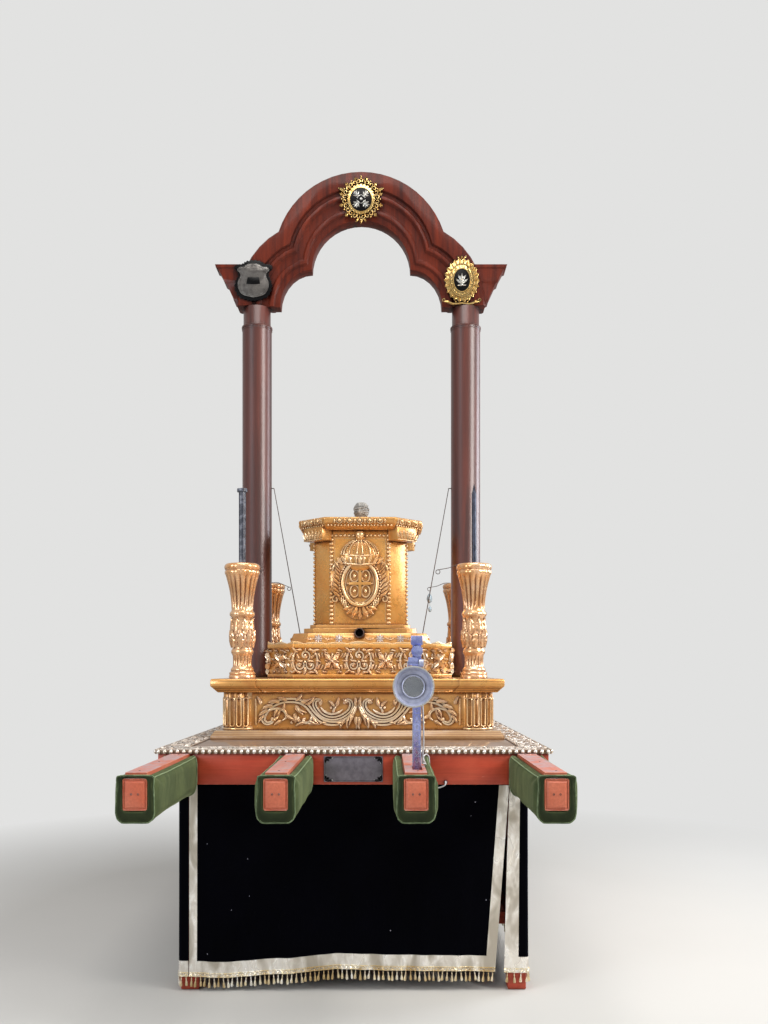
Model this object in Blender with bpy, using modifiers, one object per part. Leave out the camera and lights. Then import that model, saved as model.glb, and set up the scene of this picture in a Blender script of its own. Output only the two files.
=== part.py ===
"""A gilded processional palanquin on four padded carrying poles, standing on its own legs.

Metres, +Z up. The origin is on the floor under the middle of the deck, and the front faces -Y.
Every piece stands on the one below it, so the heights are added up from the floor.
"""

import math

import bmesh
import bpy
from mathutils import Vector

# Clearances between pieces
SEAT_GAP = 0.0003
RUNNING_GAP = 0.0006
CUT_OVERRUN = 0.02

# Deck
DECK_WIDTH = 1.94
DECK_LENGTH = 2.92
DECK_THICKNESS = 0.016
BORDER_WIDTH = 0.140
BORDER_RISE = 0.004
BORDER_EDGE = 0.006

# Carrying poles: a painted bar with a narrower wearing strip on top
POLE_LENGTH = 4.60
POLE_WIDTH = 0.100
POLE_HEIGHT = 0.130
POLE_BEVEL = 0.007
STRIP_WIDTH = 0.090
STRIP_RISE = 0.022
POLE_COUNT = 4
POLE_INSET = 0.1225
POLE_PITCH = (DECK_WIDTH - 2 * POLE_INSET) / (POLE_COUNT - 1)

# Shoulder pads round the pole ends
PAD_WIDTH = 0.160
PAD_BELOW = 0.053
PAD_STRIP_STEP = 0.008
PAD_LIP = 0.025
PAD_CORNER = 0.034
PAD_ARC_STEPS = 4

# End rails with the bearer under the poles, and side rails
RAIL_SETBACK = 0.008
RAIL_FACE = 0.022
BEARER_DEPTH = 0.060
BEARER_HEIGHT = 0.064
BEARER_INSET = 0.120
BEARER_WIDTH = DECK_WIDTH - 2 * BEARER_INSET
SIDE_RAIL_WIDTH = 0.060
PLATE_WIDTH = 0.289
PLATE_HEIGHT = 0.125
PLATE_THICKNESS = 0.004

# Legs and the frame that ties them
LEG_HEIGHT = 0.9494
LEG_SIZE = 0.090
LEG_BEVEL = 0.006
TIE_BAR = 0.040
TIE_HEIGHT = 0.060
TIE_LEVEL = 0.300
TIE_LAP = 0.040

# Velvet skirt
SKIRT_THICKNESS = 0.006
SKIRT_SIDE_GAP = 0.005
SKIRT_SETBACK = 0.011
SKIRT_HEM = 0.030
SKIRT_FRONT_HEM = 0.056
SKIRT_FOLD = 0.005
SKIRT_FOLD_PITCH = 0.230
SKIRT_POINTS_A_FOLD = 4
SKIRT_CORNER = 0.010
SKIRT_LEFT_WRAP = 0.048
SKIRT_RIGHT_WRAP = 0.088
SKIRT_SLIT_LEAN = 0.070
SKIRT_PANEL_GAP = 0.004

# Lower plinth: base, case with fluted corner drums, slab
PLINTH_MARGIN = 0.010
PLINTH_HALF = DECK_WIDTH / 2 - BORDER_WIDTH - PLINTH_MARGIN
BASE_HEIGHT = 0.050
BASE_INSET = 0.022
CASE_SETBACK = 0.085
CASE_HALF = PLINTH_HALF - CASE_SETBACK
CASE_HEIGHT = 0.213
DRUM_INSET = 0.063
DRUM_OFFSET = CASE_HALF - DRUM_INSET
DRUM_RADIUS = 0.097
DRUM_LOBES = 16
DRUM_LOBE_DEPTH = 0.011
DRUM_POINTS_A_LOBE = 4
SLAB_MOULD_HEIGHT = 0.026
SLAB_HEIGHT = 0.050
SLAB_BREAK = 0.016
SLAB_CORNER = 0.250
SLAB_EDGE = 0.010

# Balusters on the slab's corners, with their rods
BALUSTER_INSET_X = 0.1565
BALUSTER_INSET_Y = 0.150
BALUSTER_X = PLINTH_HALF - BALUSTER_INSET_X
BALUSTER_Y = PLINTH_HALF - BALUSTER_INSET_Y
BALUSTER_HEIGHT = 0.655
BALUSTER_RIM = 0.1015
BALUSTER_FLUTES = 12
FLUTE_DEPTH = 0.008
ROD_SINK = 0.080
LEFT_ROD_RADIUS = 0.020
LEFT_ROD_HEIGHT = 0.431
LEFT_ROD_CAP = 0.030
LEFT_ROD_CAP_HEIGHT = 0.018
RIGHT_ROD_RADIUS = 0.013
RIGHT_ROD_HEIGHT = 0.463
RIGHT_ROD_POINT = 0.060
ROD_SIDES = 12

# Second tier: eight-sided carved box
TIER_SETBACK = 0.265
TIER_HALF = PLINTH_HALF - TIER_SETBACK
TIER_CHAMFER = 0.170
TIER_HEIGHT = 0.2007
TIER_PANEL_INSET = 0.008
TIER_RAIL = 0.022

# Pedestal: stepped base, shaft and cornice
FOOT_HALF = 0.430
FOOT_TOP_HALF = 0.405
FOOT_CHAMFER = 0.110
FOOT_HEIGHT = 0.0684
STEP_LOW_HALF = 0.344
STEP_LOW_HEIGHT = 0.031
STEP_HIGH_HALF = 0.3075
STEP_HIGH_HEIGHT = 0.023
SHAFT_HALF = 0.287
SHAFT_CHAMFER = 0.107
SHAFT_HEIGHT = 0.578
CORNICE_HALF = 0.382
CORNICE_CHAMFER = 0.168
CORNICE_HEIGHT = 0.070
CAPITAL_WIDTH = 0.172
CAPITAL_DEPTH = 0.078
CAPITAL_HEIGHT = 0.063
KNOB_RADIUS = 0.048
KNOB_HEIGHT = 0.150
SOCKET_RADIUS = 0.030
SOCKET_WALL = 0.006
SOCKET_LENGTH = 0.190
SOCKET_PROUD = 0.020
SOCKET_SIDES = 20

# Crowned cartouche on the shaft's front
CARTOUCHE_THICKNESS = 0.014
CARTOUCHE_RELIEF = 0.014
OVAL_LEVEL = 0.251
OVAL_HALF_WIDTH = 0.116
OVAL_HALF_HEIGHT = 0.144
OVAL_RING = 0.022
WING_REACH = 0.178
CROWN_LEVEL = 0.422
CROWN_HALF_WIDTH = 0.116
CROWN_RISE = 0.098
CROWN_BULGE = 0.034
FINIAL_RADIUS = 0.026
CROSS_ARM = 0.068
CROSS_STEM = 0.080
CROSS_BAR = 0.018
SHELL_HALF_WIDTH = 0.096
DOME_SINK = 0.0098
FINIAL_SINK = 0.0050
SHELL_DROP = 0.220

# Columns
COLUMN_INSET = 0.150
COLUMN_X = PLINTH_HALF - COLUMN_INSET
COLUMN_RADIUS = 0.094
NECK_RADIUS = 0.087
COLUMN_HEIGHT = 2.363
NECK_HEIGHT = 0.126
ASTRAGAL = 0.010
COLUMN_FOOT_RADIUS = 0.101
COLUMN_FOOT_HEIGHT = 0.040
COLUMN_SIDES = 28

# Trefoil arch over the columns, measured from the foot's underside
ARCH_FOOT_INSIDE = 0.153
ARCH_FOOT_OUTSIDE = 0.120
ARCH_FOOT_INNER = COLUMN_X - ARCH_FOOT_INSIDE
ARCH_FOOT_OUTER = COLUMN_X + ARCH_FOOT_OUTSIDE
LOBE_SPAN = 0.2025
CUSP_X = ARCH_FOOT_INNER - LOBE_SPAN
CUSP_RISE = 0.237
CROWN_EASE = 0.0005
CROWN_BAND = 0.238
CROWN_INNER_RADIUS = CUSP_X + CROWN_EASE
CROWN_OUTER_RADIUS = CROWN_INNER_RADIUS + CROWN_BAND
CROWN_OUTER_RISE = 0.303
LOBE_OUTER_RISE = 0.530
ARCH_HALF_DEPTH = 0.075
WING_TOP_RISE = 0.264
WING_OVERHANG = 0.140
WING_TIP_X = ARCH_FOOT_OUTER + WING_OVERHANG
WING_HALF_DEPTH = 0.066
WING_FOOT_RISE = 0.004
WING_ROOT_INSET = 0.010
WING_ROOT_X = COLUMN_X - WING_ROOT_INSET
LOBE_STEPS = 7
CROWN_STEPS = 22

# Ornaments fixed to the arch's front
TOP_MEDAL_WIDTH = 0.284
TOP_MEDAL_HEIGHT = 0.306
TOP_MEDAL_ABOVE = 0.052
TOP_MEDAL_RISE = CROWN_OUTER_RISE + CROWN_INNER_RADIUS + TOP_MEDAL_ABOVE
TOP_MEDAL_LOBES = 12
SHIELD_WIDTH = 0.252
SHIELD_HEIGHT = 0.265
SHIELD_SHIFT = 0.013
SHIELD_X = -(COLUMN_X + SHIELD_SHIFT)
SHIELD_RISE = 0.153
OVAL_MEDAL_WIDTH = 0.240
OVAL_MEDAL_HEIGHT = 0.302
OVAL_MEDAL_SHIFT = 0.030
OVAL_MEDAL_X = COLUMN_X - OVAL_MEDAL_SHIFT
OVAL_MEDAL_RISE = 0.156
OVAL_MEDAL_LOBES = 22
MEDAL_THICKNESS = 0.018
MEDAL_LOBE_DEPTH = 0.010
SHIELD_THICKNESS = 0.012

# Wire stays between the columns and the pedestal's foot
STAY_RADIUS = 0.003
STAY_TOP_RISE = 1.213
STAY_ARM = 0.014
STAY_FOOT_X = 0.395

# Lamp on the third pole
LAMP_OFFSET_X = 0.010
LAMP_SETBACK = 0.255
SLOT_WIDTH = 0.042
SLOT_LENGTH = 0.130
SLOT_DEPTH = 0.030
BAR_WIDTH = 0.038
BAR_THICKNESS = 0.006
BAR_HEIGHT = 0.588
HEAD_WIDTH = 0.050
HEAD_DEPTH = 0.030
HEAD_HEIGHT = 0.038
SWING_BELOW_TOP = 0.066
SWING_STUD = 0.005
SWING_KNOB = 0.0244
SWING_KNOB_LENGTH = 0.026
LINK_WIDTH = 0.030
LINK_THICKNESS = 0.006
LINK_ABOVE = 0.014
TILT_BELOW_SWING = 0.050
TILT_OFFSET_X = -0.016
TILT_AHEAD = 0.020
LUG_WIDTH = 0.0425
LUG_HEIGHT = 0.034
LUG_BELOW_TILT = 0.010
LUG_DEPTH = 0.030
TILT_PIN = 0.004
CHEEK_THICKNESS = 0.004
CHEEK_DEPTH = 0.016
CHEEK_ABOVE = 0.008
TILT_KNOB = 0.0163
TILT_KNOB_LENGTH = 0.018
BOWL_RADIUS = 0.086
BOWL_DROP = 0.100
BOWL_DEPTH = 0.052
BOWL_WALL = 0.003
BOWL_BACK_RADIUS = 0.050
BOWL_HOUSING = 0.024
BOWL_BACK_AHEAD = 0.001
BOWL_SIDES = 32
LENS_RADIUS = 0.0455
LENS_THICKNESS = 0.006
LAMP_SIDES = 20

# Lamp cable, its clip on the bar and its grommet in the front rail
CABLE_RADIUS = 0.0035
CABLE_POINT_PITCH = 0.020
CLIP_WIDTH = 0.026
CLIP_DEPTH = 0.016
CLIP_HEIGHT = 0.020
CLIP_RISE = 0.372
CLIP_SHIFT = 0.012
GROMMET_RADIUS = 0.009
GROMMET_LENGTH = 0.008
GROMMET_X = 0.452
GROMMET_RISE = 0.012

# Heights added up from the floor
BEARER_BOTTOM = LEG_HEIGHT + SEAT_GAP
POLE_BOTTOM = BEARER_BOTTOM + BEARER_HEIGHT + SEAT_GAP
POLE_TOP = POLE_BOTTOM + POLE_HEIGHT
STRIP_TOP = POLE_TOP + STRIP_RISE
DECK_BOTTOM = STRIP_TOP + SEAT_GAP
DECK_TOP = DECK_BOTTOM + DECK_THICKNESS
BASE_BOTTOM = DECK_TOP + SEAT_GAP
CASE_BOTTOM = BASE_BOTTOM + BASE_HEIGHT + SEAT_GAP
SLAB_BOTTOM = CASE_BOTTOM + CASE_HEIGHT + SEAT_GAP
SLAB_TOP = SLAB_BOTTOM + SLAB_MOULD_HEIGHT + SLAB_HEIGHT
ON_SLAB = SLAB_TOP + SEAT_GAP
FOOT_BOTTOM = ON_SLAB + TIER_HEIGHT + SEAT_GAP
FOOT_TOP = FOOT_BOTTOM + FOOT_HEIGHT
SHAFT_BOTTOM = FOOT_TOP + STEP_LOW_HEIGHT + STEP_HIGH_HEIGHT + SEAT_GAP
CORNICE_BOTTOM = SHAFT_BOTTOM + SHAFT_HEIGHT + SEAT_GAP
CORNICE_TOP = CORNICE_BOTTOM + CORNICE_HEIGHT
ARCH_BOTTOM = ON_SLAB + COLUMN_HEIGHT + SEAT_GAP

# Planes worked out from the sizes above
POLE_END = POLE_LENGTH / 2
DECK_HALF = DECK_LENGTH / 2
RAIL_FRONT = DECK_HALF - RAIL_SETBACK
BEARER_FRONT = RAIL_FRONT - RAIL_FACE
BEARER_BACK = BEARER_FRONT - BEARER_DEPTH
BEARER_HALF = BEARER_WIDTH / 2
SIDE_SKIRT_X = BEARER_HALF + SKIRT_SIDE_GAP + SKIRT_THICKNESS / 2
FRONT_SKIRT_Y = RAIL_FRONT - SKIRT_SETBACK
SKIRT_TOP = POLE_BOTTOM - SEAT_GAP
LAMP_Y = -(POLE_END - LAMP_SETBACK)
BAR_FRONT = LAMP_Y - BAR_THICKNESS / 2

TURN = 2 * math.pi
UPRIGHT = (math.pi / 2, 0, 0)


def pole_x(index):
    """Where pole 0 to 3 lies across the deck."""
    return (index - (POLE_COUNT - 1) / 2) * POLE_PITCH


LAMP_X = pole_x(2) + LAMP_OFFSET_X


# Scene and materials


def new_scene():
    """Empties the scene and returns the collections for the parts and for the cutters."""
    for obj in list(bpy.data.objects):
        bpy.data.objects.remove(obj, do_unlink=True)
    collections = []
    for name in ("palanquin", "cutters"):
        collection = bpy.data.collections.new(name)
        bpy.context.scene.collection.children.link(collection)
        collections.append(collection)
    return collections


PARTS, CUTTERS = new_scene()


def principled(name, colour, roughness, metallic=0.0):
    """A Principled BSDF material with one colour, roughness and metallic value."""
    made = bpy.data.materials.new(name)
    made.use_nodes = True
    shader = made.node_tree.nodes["Principled BSDF"]
    shader.inputs["Base Color"].default_value = (*colour, 1)
    shader.inputs["Roughness"].default_value = roughness
    shader.inputs["Metallic"].default_value = metallic
    made.diffuse_color = (*colour, 1)
    return made


TERRACOTTA = principled("terracotta_paint", (0.42, 0.11, 0.055), 0.55)
GREEN_VELVET = principled("green_velvet", (0.055, 0.10, 0.045), 0.95)
BLACK_VELVET = principled("black_velvet", (0.008, 0.008, 0.018), 0.95)
GILDING = principled("warm_gilding", (0.78, 0.43, 0.14), 0.33, 1.0)
DECK_GILDING = principled("dusty_deck_metal", (0.50, 0.42, 0.31), 0.45, 0.8)
MAHOGANY = principled("mahogany", (0.12, 0.025, 0.015), 0.25)
BRIGHT_GOLD = principled("bright_gold", (0.95, 0.62, 0.16), 0.2, 1.0)
DARK_PLATE = principled("dark_plate", (0.10, 0.09, 0.09), 0.4, 0.8)
SHIELD_BLACK = principled("black_lacquer", (0.01, 0.01, 0.01), 0.3)
STEEL = principled("grey_steel", (0.33, 0.36, 0.45), 0.4, 0.9)
GREY_TAPE = principled("grey_tape", (0.22, 0.22, 0.22), 0.7)
DARK_ROD = principled("dark_rod", (0.05, 0.055, 0.07), 0.45, 0.5)
WIRE = principled("dark_wire", (0.06, 0.05, 0.05), 0.5, 0.7)
LENS = principled("lamp_glass", (0.75, 0.78, 0.80), 0.1)
CABLE = principled("white_cable", (0.72, 0.72, 0.72), 0.5)


# Modelling tools


def add(name, data, finish, collection=None):
    """Links data as a named object with one material."""
    obj = bpy.data.objects.new(name, data)
    (collection or PARTS).objects.link(obj)
    data.materials.append(finish)
    return obj


def finish_mesh(name, shape, finish):
    """Turns a bmesh into a named object with its faces outward."""
    bmesh.ops.recalc_face_normals(shape, faces=shape.faces)
    mesh = bpy.data.meshes.new(name)
    shape.to_mesh(mesh)
    shape.free()
    return add(name, mesh, finish)


def block(name, low, high, finish, bevel=0.0):
    """A box between two corners, with its edges bevelled if a width is given."""
    low, high = Vector(low), Vector(high)
    shape = bmesh.new()
    bmesh.ops.create_cube(shape, size=1)
    bmesh.ops.scale(shape, vec=high - low, verts=shape.verts)
    obj = finish_mesh(name, shape, finish)
    obj.location = (low + high) / 2
    if bevel:
        edge = obj.modifiers.new("Bevel", "BEVEL")
        edge.width = bevel
        edge.segments = 2
    return obj


def drum(name, radius, length, centre, axis, finish, sides=LAMP_SIDES):
    """A cylinder round a centre along the X, Y or Z axis."""
    shape = bmesh.new()
    bmesh.ops.create_cone(
        shape, cap_ends=True, segments=sides, radius1=radius, radius2=radius, depth=length
    )
    obj = finish_mesh(name, shape, finish)
    obj.location = centre
    obj.rotation_euler = {"X": (0, math.pi / 2, 0), "Y": UPRIGHT, "Z": (0, 0, 0)}[axis]
    obj.data.shade_smooth()
    obj.data.set_sharp_from_angle(angle=math.radians(40))
    return obj


def flat(name, loops, thickness, finish, centre=(0, 0, 0), rotation=(0, 0, 0)):
    """A flat outline with holes, as a 2D curve extruded by half its thickness each way."""
    curve = bpy.data.curves.new(name, "CURVE")
    curve.dimensions = "2D"
    curve.fill_mode = "BOTH"
    curve.extrude = thickness / 2
    for points in loops:
        spline = curve.splines.new("POLY")
        spline.points.add(len(points) - 1)
        for target, (x, y) in zip(spline.points, points):
            target.co = (x, y, 0, 1)
        spline.use_cyclic_u = True
    obj = add(name, curve, finish)
    obj.location = centre
    obj.rotation_euler = rotation
    return obj


def turned(name, profile, finish, sides, centre=(0, 0, 0), rotation=(0, 0, 0)):
    """A profile of (radius, height) points, listed from the top down, turned round Z."""
    mesh = bpy.data.meshes.new(name)
    points = [(radius, 0, height) for radius, height in profile]
    mesh.from_pydata(points, [(i, i + 1) for i in range(len(points) - 1)], [])
    obj = add(name, mesh, finish)
    obj.location = centre
    obj.rotation_euler = rotation
    screw = obj.modifiers.new("Screw", "SCREW")
    screw.steps = screw.render_steps = sides
    screw.use_merge_vertices = True
    screw.merge_threshold = SEAT_GAP / 10
    screw.use_smooth_shade = True
    return obj


def tube(name, points, radius, finish):
    """A round wire or cord along a list of points."""
    curve = bpy.data.curves.new(name, "CURVE")
    curve.dimensions = "3D"
    curve.bevel_depth = radius
    curve.bevel_resolution = 2
    curve.use_fill_caps = True
    spline = curve.splines.new("POLY")
    spline.points.add(len(points) - 1)
    for target, point in zip(spline.points, points):
        target.co = (*point, 1)
    return add(name, curve, finish)


def loft(name, rings, finish):
    """A closed skin over rings of equally many points, with flat ends."""
    shape = bmesh.new()
    levels = [[shape.verts.new(point) for point in ring] for ring in rings]
    count = len(levels[0])
    for lower, upper in zip(levels, levels[1:]):
        for i in range(count):
            after = (i + 1) % count
            shape.faces.new((lower[i], lower[after], upper[after], upper[i]))
    shape.faces.new(levels[0])
    shape.faces.new(levels[-1])
    return finish_mesh(name, shape, finish)


def moulded(name, outline, profile, finish):
    """A moulding carried round a plan: outline(inset) gives the plan, profile (inset, height)."""
    rings = [[(x, y, height) for x, y in outline(inset)] for inset, height in profile]
    return loft(name, rings, finish)


def as_mesh(obj):
    """The object as it is evaluated, as a mesh whose caps are welded on."""
    bpy.context.view_layer.update()
    graph = bpy.context.evaluated_depsgraph_get()
    mesh = bpy.data.meshes.new_from_object(obj.evaluated_get(graph))
    shape = bmesh.new()
    shape.from_mesh(mesh)
    bmesh.ops.remove_doubles(shape, verts=shape.verts, dist=SEAT_GAP / 10)
    shape.to_mesh(mesh)
    shape.free()
    name, placed = obj.name, obj.matrix_world.copy()
    bpy.data.objects.remove(obj, do_unlink=True)
    made = bpy.data.objects.new(name, mesh)
    PARTS.objects.link(made)
    made.matrix_world = placed
    return made


def combine(target, other, operation, solver="EXACT"):
    """Cuts other out of target or joins it on, and puts other among the cutters."""
    step = target.modifiers.new(operation.title(), "BOOLEAN")
    step.operation = operation
    step.solver = solver
    step.object = other
    other.hide_render = True
    other.display_type = "WIRE"
    PARTS.objects.unlink(other)
    CUTTERS.objects.link(other)
    return target


def chamfered_square(half, chamfer, inset):
    """The plan of a square with cut corners, drawn in by an inset on every side."""
    half, reach = half - inset, half - chamfer - inset * (math.sqrt(2) - 1)
    corners = []
    for x, y in ((1, -1), (1, 1), (-1, 1), (-1, -1)):
        pair = [(x * reach, y * half), (x * half, y * reach)]
        corners += pair if x * y < 0 else pair[::-1]
    return corners


def arc(centre, radii, start, end, steps):
    """Points of an elliptic arc between two angles in degrees, ends included."""
    points = []
    for i in range(steps + 1):
        angle = math.radians(start + (end - start) * i / steps)
        points.append(
            (centre[0] + radii[0] * math.cos(angle), centre[1] + radii[1] * math.sin(angle))
        )
    return points


def lobed(half_width, half_height, lobes, depth, points_a_lobe=4):
    """An oval whose edge is scalloped into convex lobes."""
    count = lobes * points_a_lobe
    points = []
    for i in range(count):
        angle = TURN * i / count
        dip = depth * (1 - abs(math.sin(lobes * angle / 2)))
        points.append(
            ((half_width - dip) * math.cos(angle), (half_height - dip) * math.sin(angle))
        )
    return points


def smooth_route(points, pitch):
    """A Catmull-Rom curve through the points, read at about the given pitch."""
    route = [Vector(point) for point in points]
    padded = [route[0] * 2 - route[1], *route, route[-1] * 2 - route[-2]]
    smooth = []
    for before, a, b, after in zip(padded, padded[1:], padded[2:], padded[3:]):
        steps = max(1, round((b - a).length / pitch))
        for i in range(steps):
            t = i / steps
            smooth.append(
                (
                    a * 2
                    + (b - before) * t
                    + (before * 2 - a * 5 + b * 4 - after) * t**2
                    + (a * 3 - before - b * 3 + after) * t**3
                )
                / 2
            )
    return [*smooth, route[-1]]


# Legs and their tie frame


def make_legs():
    """Four square posts under the bearers, and the frame between them."""
    x_low, x_high = BEARER_HALF - LEG_SIZE, BEARER_HALF
    y_low, y_high = BEARER_FRONT - LEG_SIZE, BEARER_FRONT
    names = {(-1, -1): "front_left", (1, -1): "front_right", (-1, 1): "rear_left", (1, 1): "rear_right"}
    for (side, end), place in names.items():
        xs = sorted((side * x_low, side * x_high))
        ys = sorted((end * y_low, end * y_high))
        block(
            f"leg_{place}",
            (xs[0], ys[0], 0),
            (xs[1], ys[1], LEG_HEIGHT),
            TERRACOTTA,
            LEG_BEVEL,
        )
    half_x, half_y = x_low + TIE_LAP, y_low - SEAT_GAP
    outer = rectangle(half_x, half_y)
    inner = rectangle(half_x - TIE_BAR, half_y - TIE_BAR)
    flat("leg_tie_frame", [outer, inner], TIE_HEIGHT, TERRACOTTA, (0, 0, TIE_LEVEL + TIE_HEIGHT / 2))


def rectangle(half_x, half_y):
    """The corners of a rectangle round the origin."""
    return [(-half_x, -half_y), (half_x, -half_y), (half_x, half_y), (-half_x, half_y)]


# Poles and pads


def make_pole(index):
    """A bar with a top strip that stops short of both ends, and bevelled end faces."""
    x = pole_x(index)
    bar = block(
        f"pole_{index + 1}",
        (x - POLE_WIDTH / 2, -POLE_END, POLE_BOTTOM),
        (x + POLE_WIDTH / 2, POLE_END, POLE_TOP),
        TERRACOTTA,
        POLE_BEVEL,
    )
    reach = POLE_END - PAD_LIP - SEAT_GAP
    strip = block(
        f"strip_{index + 1}",
        (x - STRIP_WIDTH / 2, -reach, POLE_TOP - STRIP_RISE),
        (x + STRIP_WIDTH / 2, reach, STRIP_TOP),
        TERRACOTTA,
    )
    combine(bar, strip, "UNION")
    if index == 2:
        slot = block(
            "lamp_slot",
            (LAMP_X - SLOT_WIDTH / 2, BAR_FRONT + BAR_THICKNESS + SEAT_GAP - SLOT_LENGTH, STRIP_TOP - SLOT_DEPTH),
            (LAMP_X + SLOT_WIDTH / 2, BAR_FRONT + BAR_THICKNESS + SEAT_GAP, STRIP_TOP + CUT_OVERRUN),
            TERRACOTTA,
        )
        combine(bar, slot, "DIFFERENCE")
    return bar


def pad_outline():
    """The pad's rounded outline, with the pole's underside at height zero."""
    half = PAD_WIDTH / 2
    low, high = -PAD_BELOW, POLE_HEIGHT + STRIP_RISE - PAD_STRIP_STEP
    lift, small = PAD_CORNER, PAD_CORNER / 3
    points = []
    for corner_x, corner_z, radius, start in (
        (half - lift, low + lift, lift, -90),
        (half - small, high - small, small, 0),
        (-half + small, high - small, small, 90),
        (-half + lift, low + lift, lift, 180),
    ):
        points += arc((corner_x, corner_z), (radius, radius), start, start + 90, PAD_ARC_STEPS)
    return points


def make_pad(index, end):
    """A velvet pad round one end of a pole, open on top behind its front lip."""
    place = "front" if end < 0 else "rear"
    outer, inner = POLE_END, RAIL_FRONT + SEAT_GAP
    length = outer - inner
    middle = end * (outer + inner) / 2
    x = pole_x(index)
    pad = as_mesh(
        flat(f"pad_{place}_{index + 1}", [pad_outline()], length, GREEN_VELVET, (x, middle, POLE_BOTTOM), UPRIGHT)
    )
    grow = SEAT_GAP
    core = block(
        f"pole_room_{place}_{index + 1}",
        (x - POLE_WIDTH / 2 - grow, middle - length, POLE_BOTTOM - grow),
        (x + POLE_WIDTH / 2 + grow, middle + length, POLE_TOP + grow),
        GREEN_VELVET,
    )
    lip = end * (POLE_END - PAD_LIP)
    ys = sorted((lip, lip - end * (length + CUT_OVERRUN)))
    crown = block(
        f"strip_room_{place}_{index + 1}",
        (x - STRIP_WIDTH / 2 - grow, ys[0], POLE_BOTTOM + grow),
        (x + STRIP_WIDTH / 2 + grow, ys[1], STRIP_TOP + CUT_OVERRUN),
        GREEN_VELVET,
    )
    combine(pad, core, "DIFFERENCE")
    combine(pad, crown, "DIFFERENCE")
    return pad


# Rails and deck


def rail_outline():
    """The comb that one end rail makes: boards between the poles on one long bearer."""
    outline = [(-BEARER_HALF, BEARER_BOTTOM), (BEARER_HALF, BEARER_BOTTOM)]
    seat = POLE_BOTTOM - SEAT_GAP
    outline.append((BEARER_HALF, seat))
    for index in reversed(range(POLE_COUNT)):
        side = POLE_WIDTH / 2 + SEAT_GAP
        right, left = pole_x(index) + side, pole_x(index) - side
        if index < POLE_COUNT - 1:
            outline += [(right, STRIP_TOP), (right, seat)]
        if index > 0:
            outline += [(left, seat), (left, STRIP_TOP)]
    outline.append((-BEARER_HALF, seat))
    return outline


def make_end_rail(end):
    """Boards between the poles, with the bearer under them set back behind the skirt."""
    place = "front" if end < 0 else "rear"
    middle = end * (RAIL_FRONT + BEARER_BACK) / 2
    depth = RAIL_FRONT - BEARER_BACK
    rail = as_mesh(
        flat(f"end_rail_{place}", [rail_outline()], depth, TERRACOTTA, (0, middle, 0), UPRIGHT)
    )
    ys = sorted((end * BEARER_FRONT, end * (RAIL_FRONT + CUT_OVERRUN)))
    room = block(
        f"skirt_room_{place}",
        (-BEARER_HALF - CUT_OVERRUN, ys[0], BEARER_BOTTOM - CUT_OVERRUN),
        (BEARER_HALF + CUT_OVERRUN, ys[1], POLE_BOTTOM),
        TERRACOTTA,
    )
    return combine(rail, room, "DIFFERENCE")


def make_side_rail(side):
    """A board along the outer pole, under the deck's edge."""
    place = "left" if side < 0 else "right"
    inner = abs(pole_x(0)) + POLE_WIDTH / 2 + SEAT_GAP
    xs = sorted((side * inner, side * (inner + SIDE_RAIL_WIDTH)))
    block(
        f"side_rail_{place}",
        (xs[0], -RAIL_FRONT, POLE_BOTTOM),
        (xs[1], RAIL_FRONT, STRIP_TOP),
        TERRACOTTA,
    )


def make_deck():
    """The boarded deck and its repousse border, both lying on the poles."""
    half_x, half_y = DECK_WIDTH / 2, DECK_HALF
    inner_x, inner_y = half_x - BORDER_WIDTH, half_y - BORDER_WIDTH
    block(
        "deck_board",
        (-inner_x + SEAT_GAP, -inner_y + SEAT_GAP, DECK_BOTTOM),
        (inner_x - SEAT_GAP, inner_y - SEAT_GAP, DECK_TOP),
        DECK_GILDING,
    )
    thickness = DECK_THICKNESS + BORDER_RISE
    flat(
        "deck_border",
        [rectangle(half_x, half_y), rectangle(inner_x, inner_y)],
        thickness,
        DECK_GILDING,
        (0, 0, DECK_BOTTOM + thickness / 2),
    )


def make_rail_plate():
    """A blank metal plate in the middle of the front rail."""
    middle = (POLE_BOTTOM + STRIP_TOP) / 2
    front = -RAIL_FRONT - SEAT_GAP
    block(
        "rail_plate",
        (-PLATE_WIDTH / 2, front - PLATE_THICKNESS, middle - PLATE_HEIGHT / 2),
        (PLATE_WIDTH / 2, front, middle + PLATE_HEIGHT / 2),
        DARK_PLATE,
    )


# Velvet skirt


def ribbon(path, thickness, height):
    """A closed ring of given thickness round a path in plan, at one height."""
    path = [Vector(point) for point in path]
    near, far = [], []
    for i, point in enumerate(path):
        along = path[min(i + 1, len(path) - 1)] - path[max(i - 1, 0)]
        normal = Vector((-along.y, along.x)).normalized() * thickness / 2
        near.append((*(point - normal), height))
        far.append((*(point + normal), height))
    return near + far[::-1]


def folds(start, end, size):
    """Points of a gently folded line between two points in plan."""
    start, end = Vector(start), Vector(end)
    run = end - start
    waves = max(1, round(run.length / SKIRT_FOLD_PITCH))
    normal = Vector((-run.y, run.x)).normalized()
    count = waves * SKIRT_POINTS_A_FOLD
    return [
        start + run * i / count + normal * size * math.sin(TURN * waves * i / count)
        for i in range(count + 1)
    ]


def make_flat_skirt(place, left, right, lean, hem):
    """The front or rear panel: a cloth from under the rail to its hem."""
    y = FRONT_SKIRT_Y * (-1 if place == "front" else 1)
    middle_share = 0.5
    rings = []
    for share in (0, middle_share, 1):
        height = SKIRT_TOP + (hem - SKIRT_TOP) * share
        path = folds((left, y), (right - lean * share, y), SKIRT_FOLD * share)
        rings.append(ribbon(path, SKIRT_THICKNESS, height))
    loft(f"skirt_{place}", rings, BLACK_VELVET)


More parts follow.
